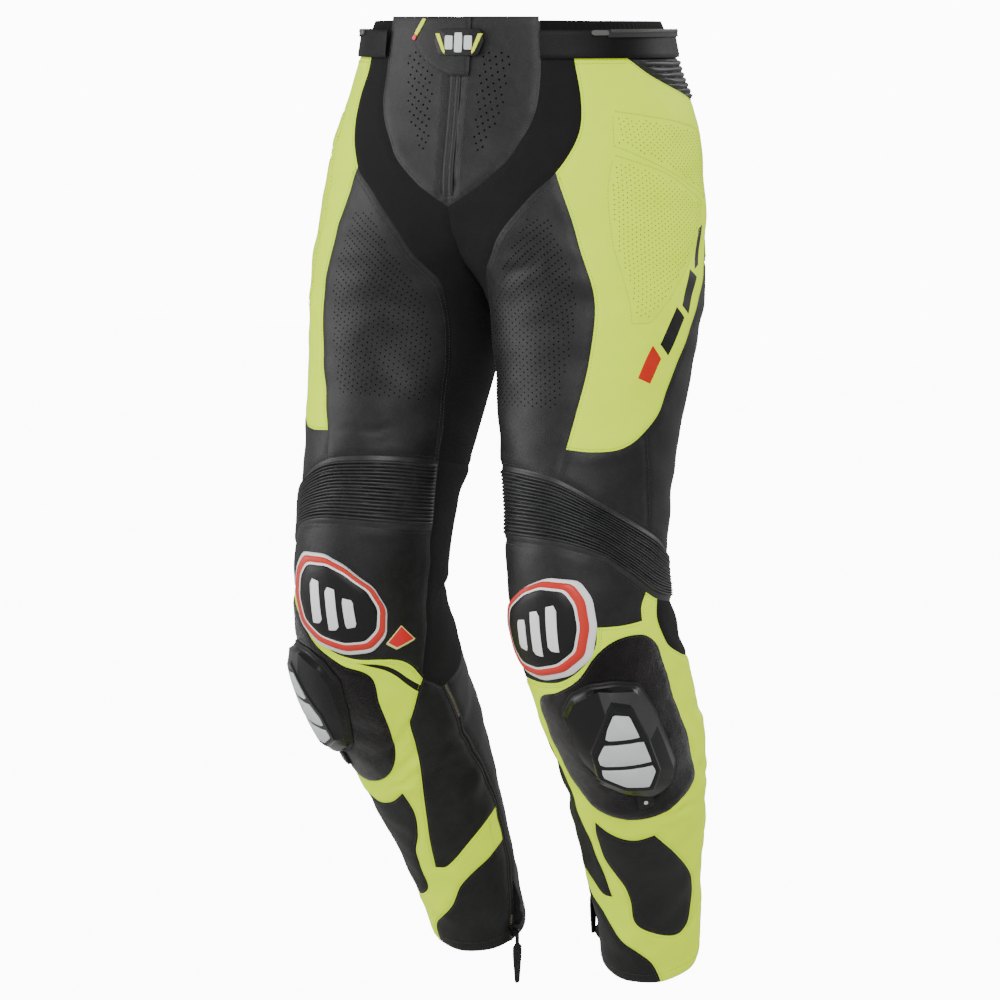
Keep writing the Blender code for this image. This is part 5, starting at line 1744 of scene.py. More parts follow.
PATTERN = SeamPattern()
LEATHER_WALL, STRETCH_WALL = 0.0011, 0.0008     # how thick the shown cloth is
PANELS: tuple[Panel, ...] = (
    Panel("yoke", "leather_black", "black", LEATHER_WALL, (
        ("yoke_top", "F0", "Y0"), ("yoke_side", "Y0", "Y1"), ("fly_foot", "Y1", "F1"),
        ("fly", "F1", "F0"))),
    Panel("inner_stretch", "stretch_black", "stretch", STRETCH_WALL, (
        ("waist", "W0", "W1"), ("front_style", "W1", "K1"), ("inner_split", "K1", "H1"),
        ("back_thigh", "H1", "G1"), ("centre", "G1", "Y1"), ("yoke_side", "Y1", "W0"))),
    Panel("thigh_neon", "leather_neon", "neon", LEATHER_WALL, (
        ("waist", "W1", "R0"), ("rib_lower", "R0", "R1"), ("neon_edge", "R1", "N1"),
        ("thigh_side", "N1", "J1"), ("front_style", "J1", "W1")),
        marks=(UPPER_ZONE, LOWER_ZONE), prints=THIGH_PRINTS),
    Panel("seat", "leather_black", "black", LEATHER_WALL, (
        ("rib_lower", "R1", "R2"), ("back_low", "R2", "G1"), ("seat_lower", "G1", "N3"),
        ("neon_edge", "N3", "R1"))),
    Panel("front_thigh", "leather_black", "black", LEATHER_WALL, (
        ("thigh_side", "J1", "K3"), ("knee_top", "K3", "K1"), ("front_style", "K1", "J1"))),
    Panel("outer_thigh", "leather_black", "black", LEATHER_WALL, (
        ("neon_edge", "N1", "N2"), ("outer_thigh", "N2", "K4"), ("knee_top", "K4", "K3"),
        ("thigh_side", "K3", "N1"))),
    Panel("back_thigh", "leather_black", "black", LEATHER_WALL, (
        ("neon_edge", "N2", "N3"), ("seat_lower", "N3", "G1"), ("back_thigh", "G1", "K5"),
        ("knee_top", "K5", "K4"), ("outer_thigh", "K4", "N2"))),
    Panel("knee_back", "stretch_black", "stretch", STRETCH_WALL, (
        ("inner_split", "K1", "H1"), ("back_thigh", "H1", "K5"), ("knee_end", "K5", "K6"),
        ("knee_bottom", "K6", "P2"), ("calf_top", "P2", "S1"), ("front_style", "S1", "K1"))),
    Panel("calf_inner", "leather_black", "black", LEATHER_WALL, (
        ("calf_front", "S1", "T1"), ("band_top", "T1", "Af"), ("zip_front", "Af", "Zf"),
        ("calf_top", "Zf", "S1"))),
    Panel("calf_back", "leather_black", "black", LEATHER_WALL, (
        ("calf_top", "B2", "Zb"), ("zip_back", "Zb", "Hb"), ("hem", "Hb", "C2"),
        ("back_calf", "C2", "B2"))),
    Panel("cuff", "leather_black", "black", LEATHER_WALL, (
        ("cuff_top", "Bf", "C1"), ("hem", "C1", "Hf"), ("zip_front", "Hf", "Bf"))),
    Panel("knee_panel", "leather_black", "black", LEATHER_WALL, (
        ("knee_bottom", "K2", "P1"), ("strip_side", "P1", "P3"), ("strip_low", "P3", "P4"),
        ("knee_low", "P4", "S1"), ("front_style", "S1", "K2"))),
    Panel("shin_neon", "leather_neon", "neon", LEATHER_WALL, (
        ("knee_bottom", "P1", "P2"), ("calf_top", "P2", "B2"), ("back_calf", "B2", "C2"),
        ("hem", "C2", "C1"), ("cuff_top", "C1", "Bf"), ("zip_front", "Bf", "Af"),
        ("band_top", "Af", "T1"), ("calf_front", "T1", "S1"), ("knee_low", "S1", "P4"),
        ("strip_low", "P4", "P3"), ("strip_side", "P3", "P1")), holes=(SHIN_INSET,),
        prints=SHIN_PRINTS, printed=(Side.RIGHT,)),
    Panel("knee_ribs", "rib_leather", "ribs", LEATHER_WALL, (
        ("knee_top", "K1", "K5"), ("knee_end", "K5", "K6"), ("knee_bottom", "K6", "K2"),
        ("front_style", "K2", "K1")), net=(84, 170), relief=KneeRibs(17, 0.0026).height,
        held="gathered"),
    Panel("rear_ribs", "rib_leather", "ribs", LEATHER_WALL, (
        ("waist", "R0", "W2"), ("back_high", "W2", "R2"), ("rib_lower", "R2", "R0")),
        step=0.0036, finer_down=6.0, relief=RearRibs(10, 0.0027).height, held="gathered"),
    Panel("shin_leather", "leather_black", "black", LEATHER_WALL, (), loop=SHIN_INSET),
    Panel("loop_patch", "loop_patch", "pile", 0.0006, (), loop=PATCH, lift=0.0020, roll=0.0011,
          step=0.0044, relief=nap),
)


# ---------------------------------------------------------------- bends and mouldings
@dataclass(frozen=True)
class Bend:
    """Flat metres laid on the leg about a place: x to the outer side, y up, z outward."""

    turn: float
    down: float

    def flat(self, places: Array) -> Array:
        """Places as flat metres."""
        degree = float(LEG.degree(self.turn, self.down))
        return np.stack([(places[:, 0] - self.turn) * degree, self.down - places[:, 1]], 1)

    def bent(self, points: Array) -> Array:
        """Flat points laid on the leg.

        Args:
            points: points, one row each.

        Returns:
            The points in space.
        """
        degree = float(LEG.degree(self.turn, self.down))
        turn, down = self.turn + points[:, 0] / degree, self.down - points[:, 1]
        return LEG.point(turn, down) + LEG.outward(turn, down) * points[:, 2:3]


@dataclass(frozen=True)
class Belly:
    """Flat metres laid on the front: x from the centre plane, y up from the top edge."""

    def bent(self, points: Array) -> Array:
        """Flat points laid on the front.

        Args:
            points: points, one row each.

        Returns:
            The points in space.
        """
        turn = np.array([LEG.turn_at(abs(x), -y) for x, y in points[:, :2]])
        spots = LEG.point(turn, -points[:, 1]) + LEG.outward(turn, -points[:, 1]) * points[:, 2:3]
        spots[:, 0] = points[:, 0]
        return spots

    def outward(self, points: Array) -> Array:
        """The unit normals of the front at flat points."""
        return unit(self.bent(points + (0, 0, 0.001)) - self.bent(points))


def round_about(loop: Array, middle: Place, count: int) -> Array:
    """A closed flat loop as points at even angles about a middle, anticlockwise.

    Args:
        loop: a closed outline.
        middle: the point it is about.
        count: how many points.

    Returns:
        The new outline.
    """
    apart = np.asarray(loop) - np.array(middle)
    angle = np.arctan2(apart[:, 1], apart[:, 0])
    order = np.argsort(angle)
    reach = np.hypot(apart[:, 0], apart[:, 1])[order]
    angles = np.linspace(-pi, pi, count, endpoint=False)
    reach = np.interp(angles, angle[order], reach, period=2 * pi)
    return np.stack([np.cos(angles) * reach, np.sin(angles) * reach], 1) + np.array(middle)


def rectangle(half_x: float, half_y: float, middle: Place = (0.0, 0.0)) -> tuple[Place, ...]:
    """The corners of a rectangle about a middle."""
    return tuple((middle[0] + x * half_x, middle[1] + y * half_y)
                 for x, y in ((-1, -1), (1, -1), (1, 1), (-1, 1)))


def rounded(corners: Sequence[Place], soft: float, count: int = 400) -> Array:
    """A polygon's outline in fine steps, its corners softened over a length in metres.

    Args:
        corners: its corners, anticlockwise.
        soft: metres over which a corner is rounded.
        count: how many points.

    Returns:
        The outline.
    """
    loop = np.array([*corners, corners[0]], float)
    run = run_along(loop)
    fine = resampled(loop, run, np.linspace(0, run[-1], count, endpoint=False))
    reach = max(1, int(soft / run[-1] * count / 2))
    shifts = [np.roll(fine, k, axis=0) for k in range(-reach, reach + 1)]
    return np.mean(shifts, axis=0)


def scaled(loop: Array, share: float, middle: Place, shift: Place = (0.0, 0.0)) -> Array:
    """A loop shrunk about a middle, then moved."""
    return (loop - np.array(middle)) * share + np.array(middle) + np.array(shift)


class Moulding:
    """A hard piece modelled flat with Blender's own tools, ring by ring, then bent."""

    def __init__(self, name: str, finishes: Sequence[bpy.types.Material], outline: Array,
                 low: float) -> None:
        """Lay down the underside.

        Args:
            name: object name.
            finishes: materials, by number.
            outline: the underside's outline, anticlockwise from above.
            low: its height.
        """
        bpy.ops.object.select_all(action="DESELECT")
        bpy.ops.mesh.primitive_circle_add(vertices=len(outline), radius=0.05, fill_type="NGON")
        self.item = bpy.context.object
        self.item.name = name
        for finish in finishes:
            self.item.data.materials.append(finish)
        bpy.ops.object.mode_set(mode="EDIT")
        bpy.ops.mesh.select_mode(type="FACE")
        bpy.ops.mesh.select_all(action="SELECT")
        self.outline: Array | None = None
        self.height = 0.0
        self.shape(outline, low)

    def shape(self, outline: Array, height: float) -> None:
        """Move the selected face's corners to an outline.

        Args:
            outline: its outline, anticlockwise.
            height: metres above the cloth.
        """
        mesh = bmesh.from_edit_mesh(self.item.data)
        spots = [loop.vert for loop in next(f for f in mesh.faces if f.select).loops]
        if self.outline is None:
            order = list(range(len(spots)))
        else:
            order = [int(np.argmin(((self.outline - np.array(spot.co[:2]))**2).sum(1)))
                     for spot in spots]
        for spot, number in zip(spots, order):
            spot.co = (*outline[number], height)
        bmesh.update_edit_mesh(self.item.data)
        self.outline, self.height = outline, height

    def ring(self, outline: Array, height: float, finish: int = 0) -> None:
        """Extrude the top to the next ring, in a finish.

        Args:
            outline: its outline, anticlockwise.
            height: metres above the cloth.
            finish: number of the finish below it.
        """
        bpy.ops.mesh.extrude_region_move(
            TRANSFORM_OT_translate={"value": (0.0, 0.0, height - self.height)})
        self.shape(outline, height)
        mesh = bmesh.from_edit_mesh(self.item.data)
        top = next(face for face in mesh.faces if face.select)
        for edge in top.edges:
            for face in edge.link_faces:
                if face is not top:
                    face.material_index = finish
        bmesh.update_edit_mesh(self.item.data)

    def close(self, finish: int = 0) -> None:
        """Close the top and turn every face outward.

        Args:
            finish: number of the top's finish.
        """
        self.item.active_material_index = finish
        bpy.ops.object.material_slot_assign()
        bpy.ops.mesh.poke()
        bpy.ops.mesh.select_all(action="SELECT")
        bpy.ops.mesh.normals_make_consistent(inside=False)
        bpy.ops.object.mode_set(mode="OBJECT")

    def bend(self, bend: "Bend | Belly", side: Side = Side.LEFT, sharp: float = 32.0
             ) -> bpy.types.Object:
        """Lay the finished form on the trousers.

        Args:
            bend: what it is laid on.
            side: the side of the wearer.
            sharp: degrees above which an edge shows.

        Returns:
            The object.
        """
        mesh = self.item.data
        flat = np.empty(len(mesh.vertices) * 3, np.float32)
        mesh.vertices.foreach_get("co", flat)
        points = bend.bent(flat.reshape(-1, 3).astype(float))
        if side is Side.RIGHT:
            points[:, 0] *= -1
            mesh.flip_normals()
        mesh.vertices.foreach_set("co", points.astype(np.float32).ravel())
        mesh.update()
        bpy.ops.object.select_all(action="DESELECT")
        self.item.select_set(True)
        bpy.context.view_layer.objects.active = self.item
        bpy.ops.object.shade_smooth_by_angle(angle=radians(sharp))
        return self.item


def raised_bar(name: str, finish: bpy.types.Material, corners: Sequence[Place], low: float,
               high: float, soft: float = 0.0022) -> Moulding:
    """A plain bar with softened corners and a bevelled top.

    Args:
        name: its name.
        finish: its finish.
        corners: its corners, anticlockwise.
        low: height of its foot.
        high: height of its top.
        soft: metres over which a corner is rounded.

    Returns:
        The bar, still flat.
    """
    middle = tuple(np.mean(np.array(corners), axis=0))
    loop = round_about(rounded(corners, soft), middle, 32)
    bar = Moulding(name, [finish], loop, low)
    bar.ring(loop, high - 0.0004)
    bar.ring(scaled(loop, 0.94, middle), high)
    bar.close()
    return bar


def joined(first: bpy.types.Object, others: Sequence[bpy.types.Object]) -> bpy.types.Object:
    """Join finished forms into the first.

    Args:
        first: the object that stays.
        others: the rest.

    Returns:
        The first object.
    """
    bpy.ops.object.select_all(action="DESELECT")
    for item in (first, *others):
        item.select_set(True)
    bpy.context.view_layer.objects.active = first
    bpy.ops.object.join()
    return first


def sewn_on(item: bpy.types.Object, slot: str, *nodes: str) -> bpy.types.Object:
    """Let a finished piece ride on the trousers, and hide the CAD nodes it stands for.

    Args:
        item: the piece.
        slot: not used.
        nodes: the CAD nodes it stands for.

    Returns:
        The piece.
    """
    if nodes:
        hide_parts(*nodes)
    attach(item, BODY)
    log.info("%s: %d faces", item.name, len(item.data.polygons))
    return item


def net_sheet(name: str, outer: Array, inner: Array, materials: Sequence[bpy.types.Material],
              side: Side = Side.LEFT) -> bpy.types.Object:
    """A closed strip of cloth from two nets of points.

    Args:
        name: object name.
        outer: outer points, rows downwards, columns towards the outer side.
        inner: inner points, in the same order.
        materials: outer finish, then the lining.
        side: the side that it belongs to.

    Returns:
        The object.
    """
    rows, columns = outer.shape[:2]
    number = np.arange(rows * columns).reshape(rows, columns)
    skin = np.stack([number[:-1, :-1], number[1:, :-1], number[1:, 1:], number[:-1, 1:]],
                    -1).reshape(-1, 4)
    count = rows * columns
    rim = np.concatenate([number[:, 0], number[-1, 1:], number[::-1, -1][1:],
                          number[0, ::-1][1:-1]])
    after = np.roll(rim, -1)
    wall = np.stack([after, rim, rim + count, after + count], 1)
    across = np.cumsum(np.linalg.norm(np.diff(outer, axis=1, prepend=outer[:, :1]), axis=2), 1)
    along = np.cumsum(np.linalg.norm(np.diff(outer, axis=0, prepend=outer[:1]), axis=2), 0)
    uv = np.stack([across, along], -1).reshape(-1, 2)
    indices = [0] * len(skin) + [1] * len(skin) + [0] * len(wall)
    return make_object(name, np.vstack([outer.reshape(-1, 3), inner.reshape(-1, 3)]),
                       [*skin.tolist(), *(skin[:, ::-1] + count).tolist(), *wall.tolist()],
                       materials, side, indices, np.vstack([uv, uv]))


def net_size(outer: Array) -> tuple[float, float]:
    """The greatest length of a net's columns and rows.

    Args:
        outer: points of its face.

    Returns:
        The longer, then the shorter.
    """
    width = np.linalg.norm(np.diff(outer, axis=1), axis=2).sum(1).max()
    length = np.linalg.norm(np.diff(outer, axis=0), axis=2).sum(0).max()
    return float(max(width, length)), float(min(width, length))


# ---------------------------------------------------------------- what is repeated
@dataclass(frozen=True)
class Repeat:
    """One small closed form, copied along lines or over zones."""

    points: Array
    faces: tuple[tuple[int, ...], ...]

    @classmethod
    def stitch(cls, length: float = 0.0023, width: float = 0.00062, rise: float = 0.00034
               ) -> "Repeat":
        """A stitch: a thread that dips into the cloth at both ends.

        Args:
            length: metres along it.
            width: metres across it.
            rise: metres above the cloth.

        Returns:
            The stitch.
        """
        half = length / 2
        points = [(-half, 0, -0.0002)]
        for x in (-half * 0.55, half * 0.55):
            points += [(x, -width / 2, 0), (x, 0, rise), (x, width / 2, 0), (x, 0, -0.0003)]
        points.append((half, 0, -0.0002))
        faces = [(0, 2, 1), (0, 3, 2), (0, 4, 3), (0, 1, 4)]
        for k in range(4):
            a, b = 1 + k, 1 + (k + 1) % 4
            faces.append((a, b, b + 4, a + 4))
        faces += [(9, 5, 6), (9, 6, 7), (9, 7, 8), (9, 8, 5)]
        return cls(np.array(points), tuple(faces))

    @classmethod
    def hole(cls, radius: float) -> "Repeat":
        """A punched hole, as a disc with a dished middle; its dark finish is painted shade.

        Args:
            radius: metres.

        Returns:
            The hole.
        """
        count = 10
        angle = np.arange(count) * 2 * pi / count
        rim = np.stack([np.cos(angle) * radius, np.sin(angle) * radius, angle * 0 + 0.00016], 1)
        foot = rim * (1.1, 1.1, 1.0) - (0, 0, 0.0005)
        points = np.vstack([rim, foot, [(0, 0, 0.00004)]])
        faces = [(i, (i + 1) % count, 2 * count) for i in range(count)]
        faces += [(i + count, (i + 1) % count + count, (i + 1) % count, i) for i in range(count)]
        faces.append(tuple(range(2 * count - 1, count - 1, -1)))
        return cls(points, tuple(faces))

    @classmethod
    def tooth(cls, along: float, across: float, rise: float) -> "Repeat":
        """A zip tooth: a block with a bevelled top.

        Args:
            along: metres along the row.
            across: metres across the row.
            rise: its height.

        Returns:
            The tooth.
        """
        points = []
        for z, share in ((-0.0004, 1.0), (rise * 0.6, 1.0), (rise, 0.62)):
            points += [(x * along / 2 * share, y * across / 2 * share, z)
                       for x, y in ((-1, -1), (1, -1), (1, 1), (-1, 1))]
        faces = [(3, 2, 1, 0), (8, 9, 10, 11)]
        for low in (0, 4):
            faces += [(low + k, low + (k + 1) % 4, low + 4 + (k + 1) % 4, low + 4 + k)
                      for k in range(4)]
        return cls(np.array(points, float), tuple(faces))

    def copies(self, name: str, finish: bpy.types.Material, spots: Array, alongs: Array,
               normals: Array, side: Side, sharp: float = 50.0) -> bpy.types.Object:
        """Copies at spots, x along and z along the normals, as one mesh.

        Args:
            name: its name.
            finish: its finish.
            spots: where the copies are.
            alongs: the way that each one faces.
            normals: the cloth's normals there.
            side: the side of the wearer.
            sharp: degrees above which an edge shows.

        Returns:
            The object.
        """
        across = unit(np.cross(normals, alongs))
        alongs = np.cross(across, normals)
        frames = np.stack([alongs, across, normals], 1)
        points = spots[:, None, :] + np.einsum("pk,nkd->npd", self.points, frames)
        count = len(self.points)
        faces = [tuple(i + n * count for i in face) for n in range(len(spots))
                 for face in self.faces]
        return make_object(name, points.reshape(-1, 3), faces, [finish], side, sharp=sharp)


def stations(line: Array, pitch: float, start: float = 0.5) -> tuple[Array, Array]:
    """Even places along a line of places, with their unit directions in space.

    Args:
        line: places along a line.
        pitch: metres from one to the next.
        start: pitches before the first.

    Returns:
        The places and the directions.
    """
    points = LEG.point(line[:, 0], line[:, 1])
    run = run_along(points)
    at = np.arange(pitch * start, run[-1], pitch)
    ahead, behind = (resampled(line, run, at + pitch * way) for way in (0.3, -0.3))
    way = LEG.point(ahead[:, 0], ahead[:, 1]) - LEG.point(behind[:, 0], behind[:, 1])
    return resampled(line, run, at), unit(way)


class Tone(Enum):
    """Which thread a row of stitches is sewn with."""

    DARK = "thread"
    BRIGHT = "bright_thread"


@dataclass(frozen=True)
class StitchRow:
    """Stitches beside a run of seam, at distances to the left of its run."""

    run: tuple[str, str, str]
    asides: tuple[float, ...]
    tone: Tone = Tone.DARK


NEAR, FAR = 0.0024, 0.0064
STITCH_ROWS: tuple[StitchRow, ...] = (
    StitchRow(("waist", "W1", "R0"), (-NEAR, -FAR), Tone.BRIGHT),
    StitchRow(("front_style", "W1", "J1"), (NEAR,), Tone.BRIGHT),
    StitchRow(("thigh_side", "J1", "N1"), (NEAR,), Tone.BRIGHT),
    StitchRow(("neon_edge", "N1", "R1"), (NEAR,), Tone.BRIGHT),
    StitchRow(("rib_lower", "R0", "R1"), (-NEAR,), Tone.BRIGHT),
    StitchRow(("rib_lower", "R1", "R2"), (-NEAR,)),
    StitchRow(("seat_lower", "N3", "G1"), (NEAR, FAR)),
    StitchRow(("back_low", "R2", "G1"), (-NEAR,)),
    StitchRow(("outer_thigh", "N2", "K4"), (NEAR,)),
    StitchRow(("back_thigh", "G1", "K5"), (-NEAR,)),
    StitchRow(("knee_top", "K1", "K5"), (NEAR,)),
    StitchRow(("knee_bottom", "K2", "P1"), (-NEAR,)),
    StitchRow(("knee_bottom", "P1", "P2"), (-NEAR,), Tone.BRIGHT),
    StitchRow(("knee_low", "P4", "S1"), (NEAR, FAR * 0.7), Tone.BRIGHT),
    StitchRow(("knee_low", "P4", "S1"), (-NEAR,)),
    StitchRow(("strip_low", "P3", "P4"), (NEAR,), Tone.BRIGHT),
    StitchRow(("strip_side", "P1", "P3"), (NEAR,), Tone.BRIGHT),
    StitchRow(("calf_top", "P2", "B2"), (-NEAR,), Tone.BRIGHT),
    StitchRow(("calf_top", "B2", "Zb"), (-NEAR,)),
    StitchRow(("calf_top", "Zf", "S1"), (-NEAR,)),
    StitchRow(("calf_front", "S1", "T1"), (NEAR,), Tone.BRIGHT),
    StitchRow(("calf_front", "S1", "T1"), (-NEAR,)),
    StitchRow(("band_top", "T1", "Af"), (NEAR,), Tone.BRIGHT),
    StitchRow(("cuff_top", "Bf", "C1"), (NEAR,), Tone.BRIGHT),
    StitchRow(("cuff_top", "Bf", "C1"), (-NEAR,)),
    StitchRow(("back_calf", "B2", "C2"), (-NEAR,), Tone.BRIGHT),
    StitchRow(("back_calf", "B2", "C2"), (NEAR,)),
    StitchRow(("hem", "Hf", "C1"), (FAR,)),
    StitchRow(("hem", "C1", "C2"), (FAR,), Tone.BRIGHT),
    StitchRow(("hem", "C2", "Hb"), (FAR,)),
    StitchRow(("zip_front", "Zf", "Af"), (NEAR,)),
    StitchRow(("zip_front", "Af", "Bf"), (NEAR,), Tone.BRIGHT),
    StitchRow(("zip_front", "Bf", "Hf"), (NEAR,)),
    StitchRow(("zip_back", "Zb", "Hb"), (-NEAR,)),
    StitchRow(("yoke_side", "Y0", "Y1"), (-NEAR,)),
    StitchRow(("fly", "F0", "F1"), (NEAR, 0.0085)),
    StitchRow(("front_style", "J1", "K1"), (NEAR, 0.0070)),
    StitchRow(("front_style", "K2", "S1"), (NEAR,)),
)


@dataclass(frozen=True)
class Sewing:
    """Every row of topstitching, about three stitches to the centimetre."""

    pitch: float = 0.0032
    above: float = 0.00012      # how far the thread lies above the cloth
    seams: tuple[StitchRow, ...] = STITCH_ROWS

    def lines(self) -> Iterable[tuple[Tone, Array, float, float]]:
        """Each row: its thread, places, distance from the edge and lift.

        Returns:
            One row of stitches after another.
        """
        for row in self.seams:
            line = PATTERN.line(*row.run)
            for aside in row.asides:
                yield row.tone, LEG.beside(line, aside), abs(aside), 0.0
        inset = PATTERN.loop(SHIN_INSET)
        yield Tone.DARK, LEG.beside(inset, NEAR), NEAR, 0.0
        yield Tone.BRIGHT, LEG.beside(inset, -NEAR), NEAR, 0.0
        yield Tone.DARK, LEG.beside(PATTERN.loop(PATCH), -0.0020), 0.0020, 0.0020
        yield Tone.BRIGHT, np.array([(-82.5, 0.922), (-81.0, 0.940), (-79.2, 0.960)]), 0.006, 0.0
        for zone in (UPPER_ZONE, LOWER_ZONE):
            yield Tone.BRIGHT, LEG.beside(PATTERN.loop(zone), 0.0018), 0.006, 0.0

    def build(self, side: Side, palette: Palette) -> None:
        """Sew both threads of one side.

        Args:
            side: the side of the wearer.
            palette: the finishes.
        """
        for tone in Tone:
            spots, ways, normals = [], [], []
            for thread, line, gap, lift in self.lines():
                if thread is not tone:
                    continue
                places, way = stations(line, self.pitch)
                roll = rolled_edge(np.array([gap]))[0]
                spot, normal = on_cloth(side, *places.T, roll + lift + self.above)
                spots.append(spot)
                ways.append(way)
                normals.append(normal)
            item = Repeat.stitch().copies(
                f"{tone.value}_{side.tag}", getattr(palette, tone.value), np.vstack(spots),
                np.vstack(ways), np.vstack(normals), side, 70.0)
            sewn_on(item, "leather_neon" if tone is Tone.BRIGHT else "leather_black")


def across_front(rows: Sequence[Place]) -> tuple[Row, ...]:
    """An outline given as metres from the centre plane and down, as rows."""
    return tuple(("corner", LEG.turn_at(x, down), down) for x, down in rows)


YOKE_ZONE = across_front(((0.024, 0.032), (0.064, 0.032), (0.063, 0.070), (0.054, 0.105),
                          (0.042, 0.135), (0.030, 0.152), (0.024, 0.152)))
THIGH_ZONE: tuple[Row, ...] = (
    ("corner", 8, 0.217), ("corner", 20, 0.214), ("", 20, 0.300), ("", 15, 0.380),
    ("corner", 9, 0.430), ("corner", -54, 0.430), ("", -52, 0.370), ("corner", -44, 0.325),
    ("", -22, 0.284), ("", -4, 0.250))


@dataclass(frozen=True)
class HoleZone:
    """A zone of punched holes; a pressed one swells a little inside its outline."""

    rows: tuple[Row, ...]
    pitch: float
    radius: float
    tone: Tone
    pressed: bool = False


@dataclass(frozen=True)
class Perforation:
    """Holes punched in staggered rows, whole ones only, inside each zone."""

    zones: tuple[HoleZone, ...] = (
        HoleZone(YOKE_ZONE, 0.0075, 0.00098, Tone.DARK),
        HoleZone(THIGH_ZONE, 0.0066, 0.00074, Tone.DARK),
        HoleZone(UPPER_ZONE, 0.0058, 0.00062, Tone.BRIGHT, True),
        HoleZone(LOWER_ZONE, 0.0058, 0.00062, Tone.BRIGHT, True),
    )
    margin: float = 0.0034

    def holes(self, rows: tuple[Row, ...], pitch: float) -> Array:
        """The middles of the holes in a zone, as places.

        Args:
            rows: the zone's outline.
            pitch: metres from one to the next.

        Returns:
            The places.
        """
        loop = PATTERN.loop(rows)
        middle = (loop[:, 0].min() + loop[:, 0].max()) / 2
        border = laid_flat(loop, middle)
        low, high = border.min(0), border.max(0)
        lines = np.arange(low[1], high[1], pitch * 0.5)
        spots = staggered(lines, np.arange(low[0], high[0], pitch * 1.6), pitch * 0.8)
        spots = spots[inside(spots, border)]
        spots = spots[clearance(spots, border, np.roll(border, -1, axis=0)) > self.margin]
        return np.stack([middle + spots[:, 0] / LEG.girth_degree(spots[:, 1]), spots[:, 1]], 1)

    def build(self, side: Side, palette: Palette) -> None:
        """Punch the holes of one side.

        Args:
            side: the side of the wearer.
            palette: the finishes.
        """
        for tone in Tone:
            made = []
            for zone in self.zones:
                if zone.tone is not tone:
                    continue
                places = self.holes(zone.rows, zone.pitch)
                lift = pressed(places, PATTERN.loop(zone.rows)) if zone.pressed else 0.0
                spots, normals = on_cloth(side, *places.T, lift)
                name = f"holes_{tone.name.lower()}_{len(made)}_{side.tag}"
                # the holes' dark finishes are painted shade
                finish = palette.bright_hole if tone is Tone.BRIGHT else palette.hole
                along = np.broadcast_to(np.array([0.0, 0.0, -1.0]), spots.shape)
                made.append(Repeat.hole(zone.radius).copies(name, finish, spots, along, normals,
                                                            side))
            item = joined(made[0], made[1:])
            item.name = f"holes_{tone.name.lower()}_{side.tag}"
            sewn_on(item, "leather_neon" if tone is Tone.BRIGHT else "leather_black")


# ---------------------------------------------------------------- waist
def seam_turn(seam: str, down: Array) -> Array:
    """Where a seam crosses levels, in degrees."""
    rows = np.array([(d, t) for _, t, d in PATTERN.lines[seam]])
    return np.interp(down, rows[:, 0], rows[:, 1])


